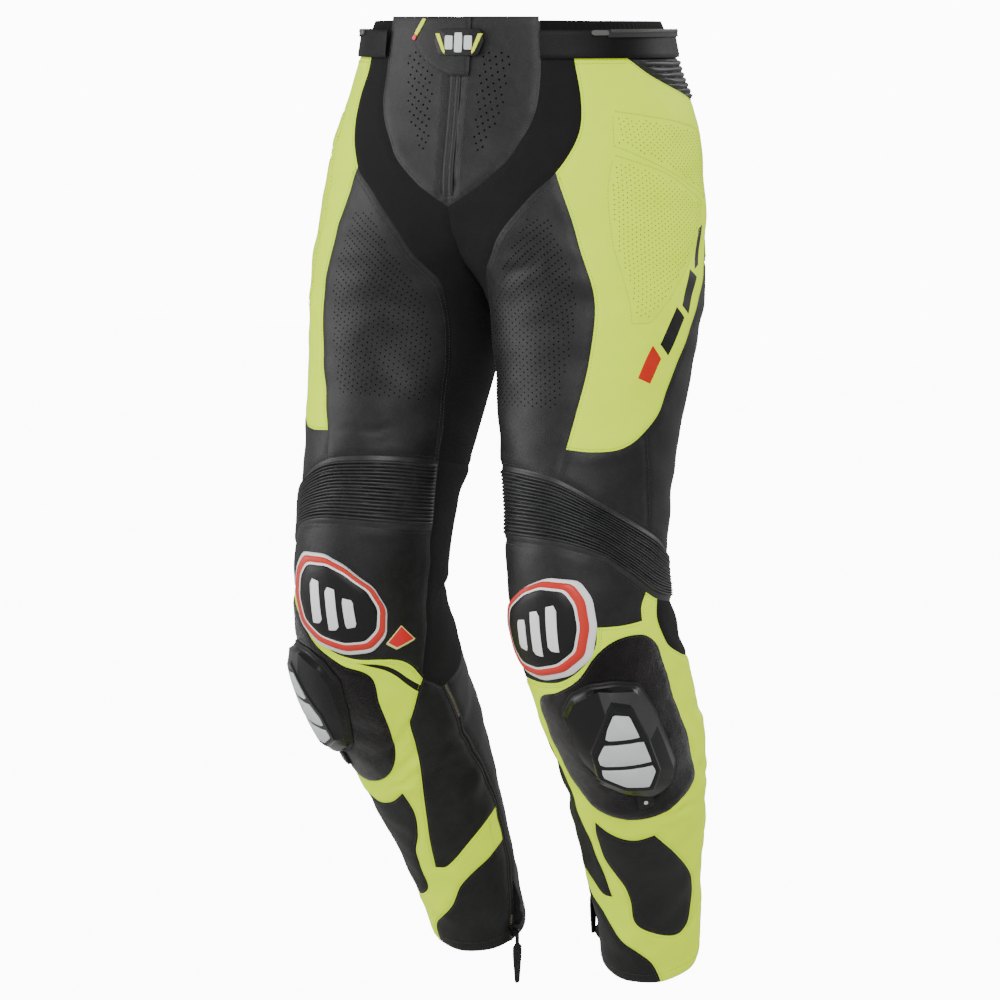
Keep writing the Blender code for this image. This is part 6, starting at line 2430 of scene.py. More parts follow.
@dataclass(frozen=True)
class Waistband:
    """The elastic inner ring, the outer band and the connection zip of one side."""

    ring: tuple[Place, ...] = ((0.003, -0.0103), (0.022, -0.0063), (WAIST_DOWN - 0.0003, -0.0018))
    band: tuple[Place, ...] = ((0.014, 0.0024), (0.028, 0.0019), (WAIST_DOWN + 0.0015, 0.0014))
    zip_levels: tuple[Place, ...] = ((0.0140, 0.0047), (0.0215, 0.0045))
    zip_turn: float = 56.0
    thick: float = 0.0018
    zip_thick: float = 0.0011
    columns: int = 320
    rows: int = 20
    zip_rows: int = 8
    gather: float = 0.00028
    tooth_pitch: float = 0.0019
    coil_in: Place = (1.5, 2.5)     # degrees from the tape's front end and the centre back
    coil_down: float = 0.0014       # below the tape's top edge
    coil_lean: float = 0.45
    end_half: Place = (0.0085, 0.0026)

    def net(self, side: Side, levels: tuple[Place, ...], lift: float, rows: int,
            start: float | None = None, relief: Callable[[Array, Array], Array] | None = None
            ) -> Array:
        """Points of one layer, from the yoke or a turn to the centre back.

        Args:
            side: the side of the wearer.
            levels: metres down and metres above the cloth, from the top.
            lift: metres above those.
            rows: how many rows of points.
            start: the turn it starts at, the yoke's seam by default.
            relief: what it stands out besides, at turns and levels.

        Returns:
            The points, rows downwards.
        """
        downs = np.linspace(levels[0][0], levels[-1][0], rows)
        heights = np.interp(downs, *np.array(levels).T)[:, None] + lift
        first = seam_turn("yoke_side", downs) + 0.12 if start is None else np.full(rows, start)
        turn = between(first, np.array([centre_back(down)[0] for down in downs]), self.columns)
        down = np.broadcast_to(downs[:, None], turn.shape)
        if relief:
            heights = heights + relief(turn, down)
        points, _ = on_cloth(side, turn, down, heights)
        points[..., 0] = np.maximum(points[..., 0], HALF_GAP)
        return points

    def gathers(self, turn: Array, down: Array) -> Array:
        """Upright folds over the elastic, calm at the top edge.

        Args:
            turn: degrees round the leg.
            down: metres down the leg.

        Returns:
            Metres at each place.
        """
        swing = turn * 2.3 + 1.4 * np.sin(turn * 0.31) + down * 40
        calm = np.clip((down - 0.003) / 0.006, 0, 1)
        return self.gather * (np.sin(swing) - 1) * calm

    def band_roll(self, turn: Array, down: Array) -> Array:
        """The band's folded top edge and its sewn foot.

        Args:
            turn: degrees round the leg.
            down: metres down the leg.

        Returns:
            Metres at each place.
        """
        top, foot = self.band[0][0], self.band[-1][0]
        soft = 0.00025 * np.sin(np.radians(turn) * 11 + down * 90)
        return (-0.0009 * np.exp(-((down - top) / 0.0016)**2)
                - 0.0008 * np.exp(-((down - foot) / 0.0018)**2) + soft - 0.00025)

    def teeth(self, side: Side, palette: Palette) -> bpy.types.Object:
        """The connection zip's coil, along the top edge of its tape.

        Args:
            side: the side of the wearer.
            palette: the finishes.

        Returns:
            The coil.
        """
        top, height = self.zip_levels[0]
        turns = np.linspace(self.zip_turn + self.coil_in[0], 180 - self.coil_in[1], 160)
        line = np.stack([turns, np.full(160, top + self.coil_down)], 1)
        places, way = stations(line, self.tooth_pitch)
        spots, normals = on_cloth(side, *places.T, height + self.zip_thick)
        lean = way + np.array([0.0, 0.0, self.coil_lean])
        return Repeat.tooth(0.0010, 0.0034, 0.0007).copies(
            f"coil_{side.tag}", palette.tag, spots, lean, normals, side)

    def box_end(self, side: Side, palette: Palette) -> bpy.types.Object:
        """The connection zip's end piece, by the front end of the band.

        Args:
            side: the side of the wearer.
            palette: the finishes.

        Returns:
            The end piece.
        """
        bend = Bend(self.zip_turn - 2.9, self.zip_levels[0][0] + 0.0030)
        bar = raised_bar(f"zip_end_{side.tag}", palette.tag, rectangle(*self.end_half), 0.0040,
                         0.0058, 0.002)
        return bar.bend(bend, side)

    def build(self, side: Side, palette: Palette) -> None:
        """Make the three rings of one side.

        Args:
            side: the side of the wearer.
            palette: the finishes.
        """
        skins = (("waist_ring", "stretch_black", self.ring, None, self.gathers, self.thick,
                  [palette.elastic, palette.lining], self.rows),
                 ("waist_band", "leather_black", self.band, None, self.band_roll, self.thick,
                  [palette.band, palette.lining], self.rows),
                 ("jacket_zip", "zip_tape", self.zip_levels, self.zip_turn, None, self.zip_thick,
                  [palette.tape, palette.tape], self.zip_rows))
        for name, slot, levels, start, relief, thick, materials, rows in skins:
            outer = self.net(side, levels, thick, rows, start, relief)
            inner = self.net(side, levels, 0.0, rows, start)
            item = net_sheet(f"{name}_{side.tag}_cloth", outer, inner, materials, side)
            sewn_on(item, slot, f"{name}_{side.tag}")
            declare_strip(item, net_size(outer))
        sewn_on(joined(self.teeth(side, palette), [self.box_end(side, palette)]), "zip_tape")


# ---------------------------------------------------------------- calf zip
@dataclass(frozen=True)
class ZipGuard:
    """A short leather guard that stands out beside the closed slider."""

    reach: Place = (1.022, 1.070)
    rise: float = 0.0112
    start: float = 0.12         # share of the rise at its upper end
    growth: float = 1.25        # how soon the rise is full
    foot: float = 0.16          # share of its length that is rounded off below
    foot_rise: float = 0.3      # share of the rise that is left there
    dent: Place = (0.62, 0.08)  # where a shallow dent lies, and its reach
    dent_depth: float = 0.25
    behind: float = 2.0         # degrees behind the tape's back edge
    wall: float = 1.5           # degrees between its two faces
    sunk: float = 0.0008
    rows: int = 34
    columns: int = 10

    def rises(self, share: Array) -> Array:
        """How far it stands out along its length.

        Args:
            share: 0 at its upper end to 1.

        Returns:
            Metres along its length.
        """
        foot = self.foot_rise + (1 - self.foot_rise) * np.sqrt(
            np.clip((1 - share) / self.foot, 0, 1))
        dent = 1 - self.dent_depth * np.exp(-((share - self.dent[0]) / self.dent[1])**2)
        return self.rise * np.minimum(1.0, share * self.growth + self.start) * foot * dent

    def build(self, side: Side, palette: Palette) -> None:
        """Make the guard of one side.

        Args:
            side: the side of the wearer.
            palette: the finishes.
        """
        downs = np.linspace(*self.reach, self.rows)
        rise = self.rises((downs - self.reach[0]) / (self.reach[1] - self.reach[0]))
        edge = seam_turn("zip_back", downs) - self.behind
        turn = np.stack([edge] * self.columns, 1)
        down = np.broadcast_to(downs[:, None], turn.shape)
        up = rise[:, None] * np.linspace(0, 1, self.columns)[None, :] - self.sunk
        base, normal = LIES[side].height(turn, down)[..., None], LEG.outward(turn, down)
        outer, inner = (LEG.point(turn - lean, down) + LEG.outward(turn - lean, down) * base
                        + normal * up[..., None] for lean in (self.wall, 0.0))
        item = net_sheet(f"zip_guard_{side.tag}", outer, inner, [palette.black, palette.black],
                         side)
        sewn_on(item, "leather_black")
        declare_strip(item, net_size(outer))


@dataclass(frozen=True)
class CalfZip:
    """The calf zip's tape between its panels, with the closed teeth."""

    tape: float = -0.0004
    under: float = -0.0016
    rows: int = 220
    columns: int = 7
    pitch: float = 0.0021
    aside: float = 0.00055              # of either row of teeth from the middle
    bright: Place = (0.782, 1.055)      # above and below these the teeth are lighter brass, painted glints; between them they are dark

    def edges(self) -> tuple[Array, Array, Array]:
        """Levels, and the front and back edges' turns at them.

        Returns:
            Metres down, and both turns.
        """
        downs = np.linspace(ZIP_LINE[0][2], LEG_END, self.rows)
        front, back = (np.array([(d, t) for _, t, d in PATTERN.lines[name]])
                       for name in ("zip_front", "zip_back"))
        gap = HALF_GAP / LEG.girth_degree(downs)
        return (downs, np.interp(downs, front[:, 0], front[:, 1]) - gap,
                np.interp(downs, back[:, 0], back[:, 1]) + gap)

    def layer(self, side: Side, height: float) -> Array:
        """Points of one face of the tape.

        Args:
            side: the side of the wearer.
            height: metres above the cloth.

        Returns:
            The points, rows downwards.
        """
        downs, front, back = self.edges()
        turn = between(back, front, self.columns)
        return on_cloth(side, turn, np.broadcast_to(downs[:, None], turn.shape), height)[0]

    def teeth(self, side: Side, palette: Palette) -> bpy.types.Object:
        """Two staggered rows of teeth down the middle.

        Args:
            side: the side of the wearer.
            palette: the finishes.

        Returns:
            The teeth.
        """
        downs, front, back = self.edges()
        line = np.stack([(front + back) / 2, downs], 1)
        rows = [stations(LEG.beside(line, aside), self.pitch, start)
                for aside, start in ((self.aside, 0.5), (-self.aside, 1.0))]
        places, way = (np.vstack(part) for part in zip(*rows))
        turn, down = places.T
        spots, normals = on_cloth(side, turn, down, self.tape)
        # teeth at both ends take the brass finish, which paints the glints seen there
        worn = (down < self.bright[0]) | (down > self.bright[1])
        made = [Repeat.tooth(0.0011, 0.0022, 0.0009).copies(
            f"teeth_{side.tag}", finish, spots[keep], way[keep], normals[keep], side)
            for finish, keep in ((palette.dull_teeth, ~worn), (palette.brass, worn))]
        return joined(made[0], made[1:])

    def build(self, side: Side, palette: Palette) -> None:
        """Make the zip of one side.

        Args:
            side: the side of the wearer.
            palette: the finishes.
        """
        outer, inner = self.layer(side, self.tape), self.layer(side, self.under)
        item = net_sheet(f"calf_zip_{side.tag}_tape", outer, inner,
                         [palette.tape, palette.tape], side)
        sewn_on(item, "zip_tape", f"calf_zip_{side.tag}")
        declare_strip(item, net_size(outer))
        sewn_on(self.teeth(side, palette), "zip_tape")


# ---------------------------------------------------------------- guards and sliders
@dataclass(frozen=True)
class KneeGuard:
    """The moulded guard over the knee cap: bands of white, red and black, plain bars."""

    bend: Bend = Bend(-8.0, 0.618)
    middle: Place = (0.0, 0.0)
    count: int = 96
    low: float = -0.0016
    corners: tuple[Row, ...] = (
        ("corner", 1, 0.576), ("corner", 23, 0.577), ("corner", 31, 0.591),
        ("corner", 32.5, 0.615), ("corner", 26, 0.640), ("corner", 9, 0.655),
        ("corner", -14, 0.663), ("corner", -34, 0.662), ("corner", -45, 0.649),
        ("corner", -47, 0.624), ("corner", -38, 0.603), ("corner", -16, 0.584))
    # share of the outline, height, finish below it: 0 white, 1 red, 2 black
    rings: tuple[tuple[float, float, int], ...] = (
        (1.030, 0.0022, 0), (1.015, 0.0032, 0), (0.990, 0.0042, 0), (0.945, 0.0050, 0),
        (0.932, 0.0060, 1), (0.905, 0.0068, 1), (0.835, 0.0069, 1), (0.812, 0.0063, 1),
        (0.805, 0.0061, 0), (0.790, 0.0066, 0), (0.768, 0.0067, 0), (0.760, 0.0063, 2),
        (0.722, 0.0074, 2), (0.620, 0.0080, 2), (0.480, 0.0084, 2), (0.320, 0.0087, 2),
        (0.160, 0.0088, 2))
    soft: float = 0.012
    foot: float = 1.03                      # share of the outline at the very bottom
    flare: Place = (0.0011, -0.0006)        # how far the foot is moved
    shift: Place = (-0.0026, 0.0013)        # and the crown
    lean: float = 0.13                      # the share over which it goes from one to the other
    bar_foot: float = 0.0064
    bar_tops: float = 0.0093

    def bars(self) -> tuple[tuple[Place, ...], ...]:
        """Three plain slanted bars.

        Returns:
            The corners of each.
        """
        made = []
        for x, low, high in ((-0.0190, -0.0175, 0.0080), (-0.0020, -0.0200, 0.0170),
                             (0.0150, -0.0150, 0.0225)):
            made.append(((x - 0.0046, low), (x + 0.0056, low - 0.0015),
                         (x + 0.0083, high), (x - 0.0019, high - 0.0020)))
        return tuple(made)

    def build(self, side: Side, palette: Palette) -> None:
        """Mould the guard of one side.

        Args:
            side: the side of the wearer.
            palette: the finishes.
        """
        corners = [tuple(spot) for spot in self.bend.flat(PATTERN.loop(self.corners, 0.002))]
        loop = round_about(rounded(corners, self.soft), self.middle, self.count)
        wide = scaled(loop, self.foot, self.middle, self.flare)
        guard = Moulding(f"knee_guard_{side.tag}", [palette.white, palette.red,
                                                    palette.soft_black], wide, self.low)
        for share, height, finish in self.rings:
            away = min(1.0, max(0.0, self.foot - share) / self.lean)
            guard.ring(scaled(loop, share, self.middle,
                              (self.flare[0] * (1 - away) + self.shift[0] * away,
                               self.flare[1] * (1 - away) + self.shift[1] * away)),
                       height, finish)
        guard.close(2)
        item = guard.bend(self.bend, side)
        bars = [raised_bar(f"guard_bar_{number}", palette.white, corners, self.bar_foot,
                           self.bar_tops).bend(self.bend, side)
                for number, corners in enumerate(self.bars())]
        sewn_on(joined(item, bars), "shield_rubber", f"knee_shield_{side.tag}")


@dataclass(frozen=True)
class KneeSlider:
    """The glossy slider: a faceted puck with a framed plate of plain pale bars."""

    bend: Bend = Bend(28.0, 0.740)
    middle: Place = (0.002, -0.006)
    count: int = 112
    low: float = 0.0019
    outline: tuple[Place, ...] = (
        (-0.011, 0.076), (0.014, 0.076), (0.036, 0.069), (0.046, 0.037), (0.049, 0.006),
        (0.051, -0.034), (0.041, -0.059), (0.019, -0.069), (-0.008, -0.056), (-0.029, -0.037),
        (-0.044, 0.012), (-0.046, 0.048), (-0.031, 0.067))
    crown: tuple[Place, ...] = (
        (-0.003, 0.072), (0.029, 0.065), (0.038, 0.036), (0.041, 0.004), (0.042, -0.033),
        (0.034, -0.053), (0.017, -0.060), (-0.007, -0.049), (-0.027, -0.032),
        (-0.038, 0.012), (-0.037, 0.045), (-0.026, 0.062))
    plate: tuple[Place, ...] = (
        (0.005, 0.060), (0.020, 0.053), (0.027, 0.015), (0.028, -0.022), (0.018, -0.044),
        (-0.004, -0.037), (-0.023, -0.018), (-0.021, 0.014), (-0.006, 0.040))
    # share of the outline and height, up the foot
    foot: tuple[Place, ...] = ((1.0, 0.0044), (0.985, 0.0052), (0.965, 0.0056), (0.950, 0.0068))
    wall: Place = (0.0068, 0.0130)  # heights between which the wall stands, below the crown
    top: float = 0.0200
    # share of the plate, depth below the top and finish below it, over the frame and inside
    frame: tuple[tuple[float, float, int], ...] = (
        (1.01, 0.0002, 0), (0.99, 0.0, 0), (0.94, 0.0, 0), (0.91, 0.0009, 1), (0.50, 0.0008, 1))
    light: Place = (40.0, 93.0)     # degrees about the middle between which a facet is painted lighter, a painted reflection of the lamps
    tongue: Place = (0.009, -0.071)

    def bars(self) -> tuple[tuple[Place, ...], ...]:
        """Plain bars stacked in the plate.

        Returns:
            The corners of each.
        """
        return (((-0.0068, 0.0270), (0.0208, 0.0230), (0.0170, 0.0468), (0.0048, 0.0512),
                 (-0.0028, 0.0378)),
                ((-0.0172, -0.0015), (0.0240, -0.0080), (0.0226, 0.0175), (-0.0092, 0.0218),
                 (-0.0172, 0.0085)),
                ((-0.0186, -0.0166), (-0.0030, -0.0322), (0.0155, -0.0386), (0.0243, -0.0215),
                 (0.0242, -0.0135), (-0.0182, -0.0068)))

    def faceted(self, puck: Moulding) -> None:
        """Paint the upper facet lighter, between the crown and the plate: a painted reflection.

        Args:
            puck: the moulding.
        """
        low, high = self.light
        for face in puck.item.data.polygons:
            spot = face.center
            angle = degrees(np.arctan2(spot.y - self.middle[1], spot.x - self.middle[0]))
            if low < angle < high and 0.0129 < spot.z < self.top - 0.0015:
                # the lighter facet is a painted reflection
                face.material_index = 2

    def fastening(self, side: Side, palette: Palette) -> list[bpy.types.Object]:
        """A small tongue below the puck, with its rivet.

        Args:
            side: the side of the wearer.
            palette: the finishes.

        Returns:
            The tongue and the rivet.
        """
        x, y = self.tongue
        pad = ((x - 0.0085, y - 0.0085), (x + 0.0085, y - 0.0085), (x + 0.0075, y + 0.0120),
               (x - 0.0075, y + 0.0120))
        stud = [(x + 0.0022 * cos(k * pi / 6), y - 0.001 + 0.0022 * sin(k * pi / 6))
                for k in range(12)]
        return [raised_bar("slider_tongue", palette.soft_black, pad, 0.0020, 0.0062, 0.005)
                .bend(self.bend, side),
                raised_bar("slider_rivet", palette.pale, stud, 0.0058, 0.0072, 0.001)
                .bend(self.bend, side)]

    def build(self, side: Side, palette: Palette) -> None:
        """Mould the slider of one side.

        Args:
            side: the side of the wearer.
            palette: the finishes.
        """
        outline = round_about(rounded(self.outline, 0.010), self.middle, self.count)
        crown = round_about(rounded(self.crown, 0.0016), self.middle, self.count)
        plate = round_about(rounded(self.plate, 0.0040), self.middle, self.count)
        puck = Moulding(f"slider_{side.tag}", [palette.gloss, palette.soft_black,
                                               palette.matt_face, palette.wall], outline, self.low)
        for share, height in self.foot:
            puck.ring(scaled(outline, share, self.middle), height, 1)
        low, high = self.wall
        for share in np.linspace(0, 1, 4)[1:]:
            puck.ring(scaled(outline, 0.945, self.middle) * (1 - share) + crown * share,
                      low + (high - low) * share, 3)
        for share in np.linspace(0, 1, 6)[1:]:
            puck.ring(crown * (1 - share) + scaled(plate, 1.06, self.middle) * share,
                      high + (self.top - 0.0020 - high) * share)
        for share, drop, finish in self.frame:
            puck.ring(scaled(plate, share, self.middle), self.top - drop, finish)
        puck.close(1)
        self.faceted(puck)
        item = puck.bend(self.bend, side, 14.0)
        bars = [raised_bar(f"slider_bar_{number}", palette.pale, corners, self.top - 0.0022,
                           self.top + 0.0004, 0.003).bend(self.bend, side)
                for number, corners in enumerate(self.bars())]
        sewn_on(joined(item, bars + self.fastening(side, palette)), "slider_plastic",
                f"knee_slider_{side.tag}")


@dataclass(frozen=True)
class KneeBadge:
    """The small plain red badge beside the right knee, with a bright lower edge."""

    bend: Bend = Bend(-54.0, 0.6545)
    low: float = -0.0012
    # share of the outline, how far it is moved up, height, finish below it: 0 red, 1 bright
    rings: tuple[tuple[float, float, float, int], ...] = (
        (1.00, 0.0, 0.00108, 1), (0.96, 0.0002, 0.00144, 1), (0.86, 0.0009, 0.00144, 1),
        (0.82, 0.0009, 0.0018, 0), (0.40, 0.0004, 0.0020, 0))

    def build(self, palette: Palette) -> None:
        """Mould the badge.

        Args:
            palette: the finishes.
        """
        flat = self.bend.flat(PATTERN.loop(BADGE, 0.001))
        middle = tuple(flat.mean(0))
        loop = round_about(flat, middle, 64)
        badge = Moulding("knee_badge", [palette.red_badge, palette.bright_edge], loop, self.low)
        for share, shift, height, finish in self.rings:
            badge.ring(scaled(loop, share, middle, (0.0, shift)), height, finish)
        badge.close(0)
        sewn_on(badge.bend(self.bend, Side.RIGHT), "badge", "knee_badge_R")


# ---------------------------------------------------------------- front closure
@dataclass(frozen=True)
class Fly:
    """The fly zip's tape and teeth, between two leather facings."""

    half: float = FLY_HALF - HALF_GAP
    slot: float = 0.0009
    end: float = FLY_END - 0.0003
    curve: float = 1.06         # the belly's curve over its height
    tape: float = -0.0011       # height of the tape's face
    first_tooth: float = 0.004
    pitch: float = 0.0021
    rows: int = 90

    def strip(self, name: str, edges: Place, low: float, high: float, roll: float,
              materials: Sequence[bpy.types.Material]) -> bpy.types.Object:
        """A strip of cloth down the front.

        Args:
            name: object name.
            edges: metres from the centre plane to its right and left edges.
            low: height of its underside.
            high: height of its face.
            roll: how far its edges roll in.
            materials: outer finish, then the lining.

        Returns:
            The strip.
        """
        xs, downs = np.linspace(*edges, 9), np.linspace(0.0004, self.end, self.rows)
        gap = np.minimum(xs - xs[0], xs[-1] - xs) if roll else np.full(9, 1.0)
        lift = high - roll * np.exp(-(gap / 0.0009)**2)
        outer = np.array([(x, -down, z) for down in downs for x, z in zip(xs, lift)])
        inner = np.array([(x, -down, low) for down in downs for x in xs])
        shape = (self.rows, 9, 3)
        return net_sheet(name, Belly().bent(outer).reshape(shape),
                         Belly().bent(inner).reshape(shape), materials)

    def build(self, palette: Palette) -> None:
        """Make the fly.

        Args:
            palette: the finishes.
        """
        tape = self.strip("fly_tape", (-self.half, self.half), -0.0020, self.tape, 0.0,
                          [palette.tape, palette.tape])
        flaps = [self.strip(f"fly_facing_{number}", edges, -0.0010, 0.0002, 0.0007,
                            [palette.black, palette.black])
                 for number, edges in enumerate(((-self.half, -self.slot),
                                                 (self.slot, self.half)))]
        downs = np.arange(self.first_tooth, self.end, self.pitch)
        flat = np.stack([downs * 0, -downs, downs * 0 + self.tape], 1)
        spots = Belly().bent(flat)
        teeth = Repeat.tooth(0.0012, 0.0016, 0.0009).copies(
            "fly_teeth", palette.teeth, spots, np.gradient(spots, axis=0), Belly().outward(flat),
            Side.LEFT)
        sewn_on(tape, "zip_tape", "fly_zip")
        declare_strip(tape, (self.end * self.curve, self.half * 2.05))
        for flap in flaps:
            sewn_on(flap, "leather_black")
            declare_strip(flap, (self.end * self.curve, self.half - self.slot))
        sewn_on(teeth, "zip_tape")


@dataclass(frozen=True)
class Closure:
    """The pointed tab over the top of the fly, its plain badge and a small tag."""

    tab: tuple[tuple[float, float, float], ...] = (
        (0.0006, -0.036, 0.016), (0.012, -0.045, 0.016), (0.026, -0.051, 0.016),
        (0.036, -0.044, 0.016), (0.046, -0.034, 0.016), (0.054, -0.020, 0.016),
        (0.0585, -0.006, 0.015))
    cut: Place = (0.069, 0.060)
    low: float = 0.0009
    high: float = 0.0031
    middle: Place = (-0.012, -0.026)
    stitch_in: float = 0.0034       # of the stitches from the edge
    badge_low: float = 0.0028
    badge_high: float = 0.0048
    rows: int = 64
    columns: int = 60

    def outline(self, down: Array) -> tuple[Array, Array]:
        """The tab's left and right edges at levels.

        Args:
            down: metres below the top edge.

        Returns:
            Metres from the centre plane.
        """
        table = np.array(self.tab)
        return (np.interp(down, table[:, 0], table[:, 1]), np.interp(down, table[:, 0],
                                                                     table[:, 2]))

    def border(self) -> Array:
        """The tab's outline as flat points.

        Returns:
            The flat outline.
        """
        table = np.array(self.tab)
        left, right = table[:, [1, 0]], table[:, [2, 0]]
        loop = np.vstack([left, right[::-1]])
        return loop * (1, -1)

    def leather(self, palette: Palette) -> bpy.types.Object:
        """The tab with its folded edges and topstitching.

        Args:
            palette: the finishes.

        Returns:
            The tab.
        """
        downs = np.linspace(self.tab[0][0], self.tab[-1][0], self.rows)
        left, right = self.outline(downs)
        xs = between(left, right, self.columns)
        flat = np.stack([xs, np.broadcast_to(-downs[:, None], xs.shape)], -1).reshape(-1, 2)
        border = self.border()
        gap = clearance(flat, border, np.roll(border, -1, axis=0))
        lift = self.high - 0.0013 * np.exp(-(gap / 0.0016)**2) - 0.0003 * np.exp(
            -((gap - 0.0030) / 0.0009)**2)
        outer = Belly().bent(np.column_stack([flat, lift]))
        inner = Belly().bent(np.column_stack([flat, np.full(len(flat), self.low)]))
        shape = (self.rows, self.columns, 3)
        return net_sheet("closure_tab_cloth", outer.reshape(shape), inner.reshape(shape),
                         [palette.black, palette.lining])

    def stitches(self, palette: Palette) -> bpy.types.Object:
        """One row of stitches inside the edge.

        Args:
            palette: the finishes.

        Returns:
            The row.
        """
        loop = rounded([tuple(point) for point in self.border()], 0.003)
        away = loop - np.array(self.middle)
        reach = np.linalg.norm(away, axis=1, keepdims=True)
        line = np.array(self.middle) + away * (1 - self.stitch_in / reach)
        run = run_along(line)
        line = resampled(line, run, np.arange(0, run[-1], Sewing.pitch))
        flat = np.column_stack([line, np.full(len(line), self.high - 0.0002)])
        spots = Belly().bent(flat)
        ahead = np.roll(spots, -1, axis=0) - np.roll(spots, 1, axis=0)
        return Repeat.stitch().copies("tab_thread", palette.thread, spots, ahead,
                                      Belly().outward(flat), Side.LEFT, 70.0)

    def badge(self, palette: Palette) -> bpy.types.Object:
        """Plain bars on a thin black plate.

        Args:
            palette: the finishes.

        Returns:
            The badge.
        """
        middle = (0.004, -0.026)
        plate = ((-0.018, -0.0390), (0.026, -0.0390), (0.0325, -0.024), (0.027, -0.0125),
                 (-0.019, -0.0125), (-0.0245, -0.024))
        loop = round_about(rounded(plate, 0.006), middle, 64)
        base = Moulding("closure_badge_plate", [palette.soft_black], loop, self.badge_low)
        base.ring(loop, self.badge_high - 0.0007)
        base.ring(scaled(loop, 0.97, middle), self.badge_high - 0.0004)
        base.close()
        item = base.bend(Belly())
        bars = []
        for number, (x, half) in enumerate(((-0.0070, 0.0070), (0.004, 0.0098),
                                            (0.0150, 0.0070))):
            corners = rectangle(0.0045, half, (x, middle[1]))
            bars.append(raised_bar(f"badge_bar_{number}", palette.pale, corners,
                                   self.badge_low, self.badge_high, 0.0025).bend(Belly()))
        for number, way in enumerate((-1, 1)):
            x = middle[0] + way * 0.0205
            corners = [(x - 0.0016 - way * 0.005, -0.0375), (x + 0.0016 - way * 0.005, -0.0375),
                       (x + 0.0026 + way * 0.004, -0.0170), (x - 0.0026 + way * 0.004, -0.0170)]
            bars.append(raised_bar(f"badge_edge_{number}", palette.neon_rubber, corners,
                                   self.badge_low, self.badge_high, 0.0015).bend(Belly()))
        return joined(item, bars)

    def tag(self, palette: Palette) -> bpy.types.Object:
        """A small plain slanted tag at the tab's edge.

        Args:
            palette: the finishes.

        Returns:
            The tag.
        """
        corners = ((-0.0500, -0.0175), (-0.0462, -0.0195), (-0.0350, -0.0030), (-0.0392, -0.0020))
        tip = ((-0.0530, -0.0222), (-0.0496, -0.0244), (-0.0466, -0.0200), (-0.0502, -0.0180))
        bars = [raised_bar("closure_tag", palette.neon_rubber, corners, 0.0022, 0.0040, 0.002),
                raised_bar("closure_tag_tip", palette.red_badge, tip, 0.0022, 0.0038, 0.002)]
        made = [bar.bend(Belly()) for bar in bars]
        return joined(made[0], made[1:])

    def build(self, palette: Palette) -> None:
        """Make the tab with what is on it.

        Args:
            palette: the finishes.
        """
        item = self.leather(palette)
        sewn_on(item, "leather_black", "closure_tab")
        min(mesh_area(item) / 2, self.cut[0] * self.cut[1] * 0.99)
        sewn_on(self.stitches(palette), "leather_black")
        sewn_on(self.badge(palette), "badge_pale", "closure_badge")
        sewn_on(self.tag(palette), "leather_neon")


@dataclass(frozen=True)
class ZipHardware:
    """The calf zips' sliders and pull tabs, which keep the model's own shape."""

    nodes: tuple[str, ...] = ("zip_slider_L", "zip_slider_R", "zip_tab_L", "zip_tab_R")
    stays: tuple[tuple[Side, float], ...] = ((Side.LEFT, 1.000), (Side.RIGHT, 1.072))
    half: Place = (0.0036, 0.0060)
    low: float = -0.0010
    high: float = 0.0014

    def plate(self, side: Side, down: float, palette: Palette) -> None:
        """The lower half of a slider, between the teeth and its body.

        Args:
            side: the side of the wearer.
            down: metres down the leg.
            palette: the finishes.
        """
        turn = float(seam_turn("zip_front", down) + seam_turn("zip_back", down)) / 2
        bar = raised_bar(f"slider_plate_{side.tag}", palette.metal, rectangle(*self.half),
                         self.low, self.high, 0.002)
        sewn_on(bar.bend(Bend(turn, down), side), "zip_metal")

    def build(self, palette: Palette) -> None:
        """Add the sliders' lower halves and enamel the rest.

        Args:
            palette: the finishes.
        """
        for side, down in self.stays:
            self.plate(side, down, palette)
        for name in self.nodes:
            item = bpy.data.objects[name]
            for slot in item.material_slots:
                slot.material = palette.metal
            log.info("%s: enamelled", name)


# ---------------------------------------------------------------- studio
@dataclass(frozen=True)
class Lamp:
    """One large soft lamp."""

    name: str
    place: tuple[float, float, float]
    power: float
    size: float = 1.8
    aim: tuple[float, float, float] = (0.0, 0.0, -0.45)

    def build(self) -> None:
        """Hang the lamp, facing the trousers."""
        data = bpy.data.lights.new(self.name, "AREA")
        data.size, data.energy = self.size, self.power
        item = bpy.data.objects.new(self.name, data)
        item.location = self.place
        way = Vector(self.aim) - Vector(self.place)
        item.rotation_euler = way.to_track_quat("-Z", "Y").to_euler()
        bpy.context.scene.collection.objects.link(item)


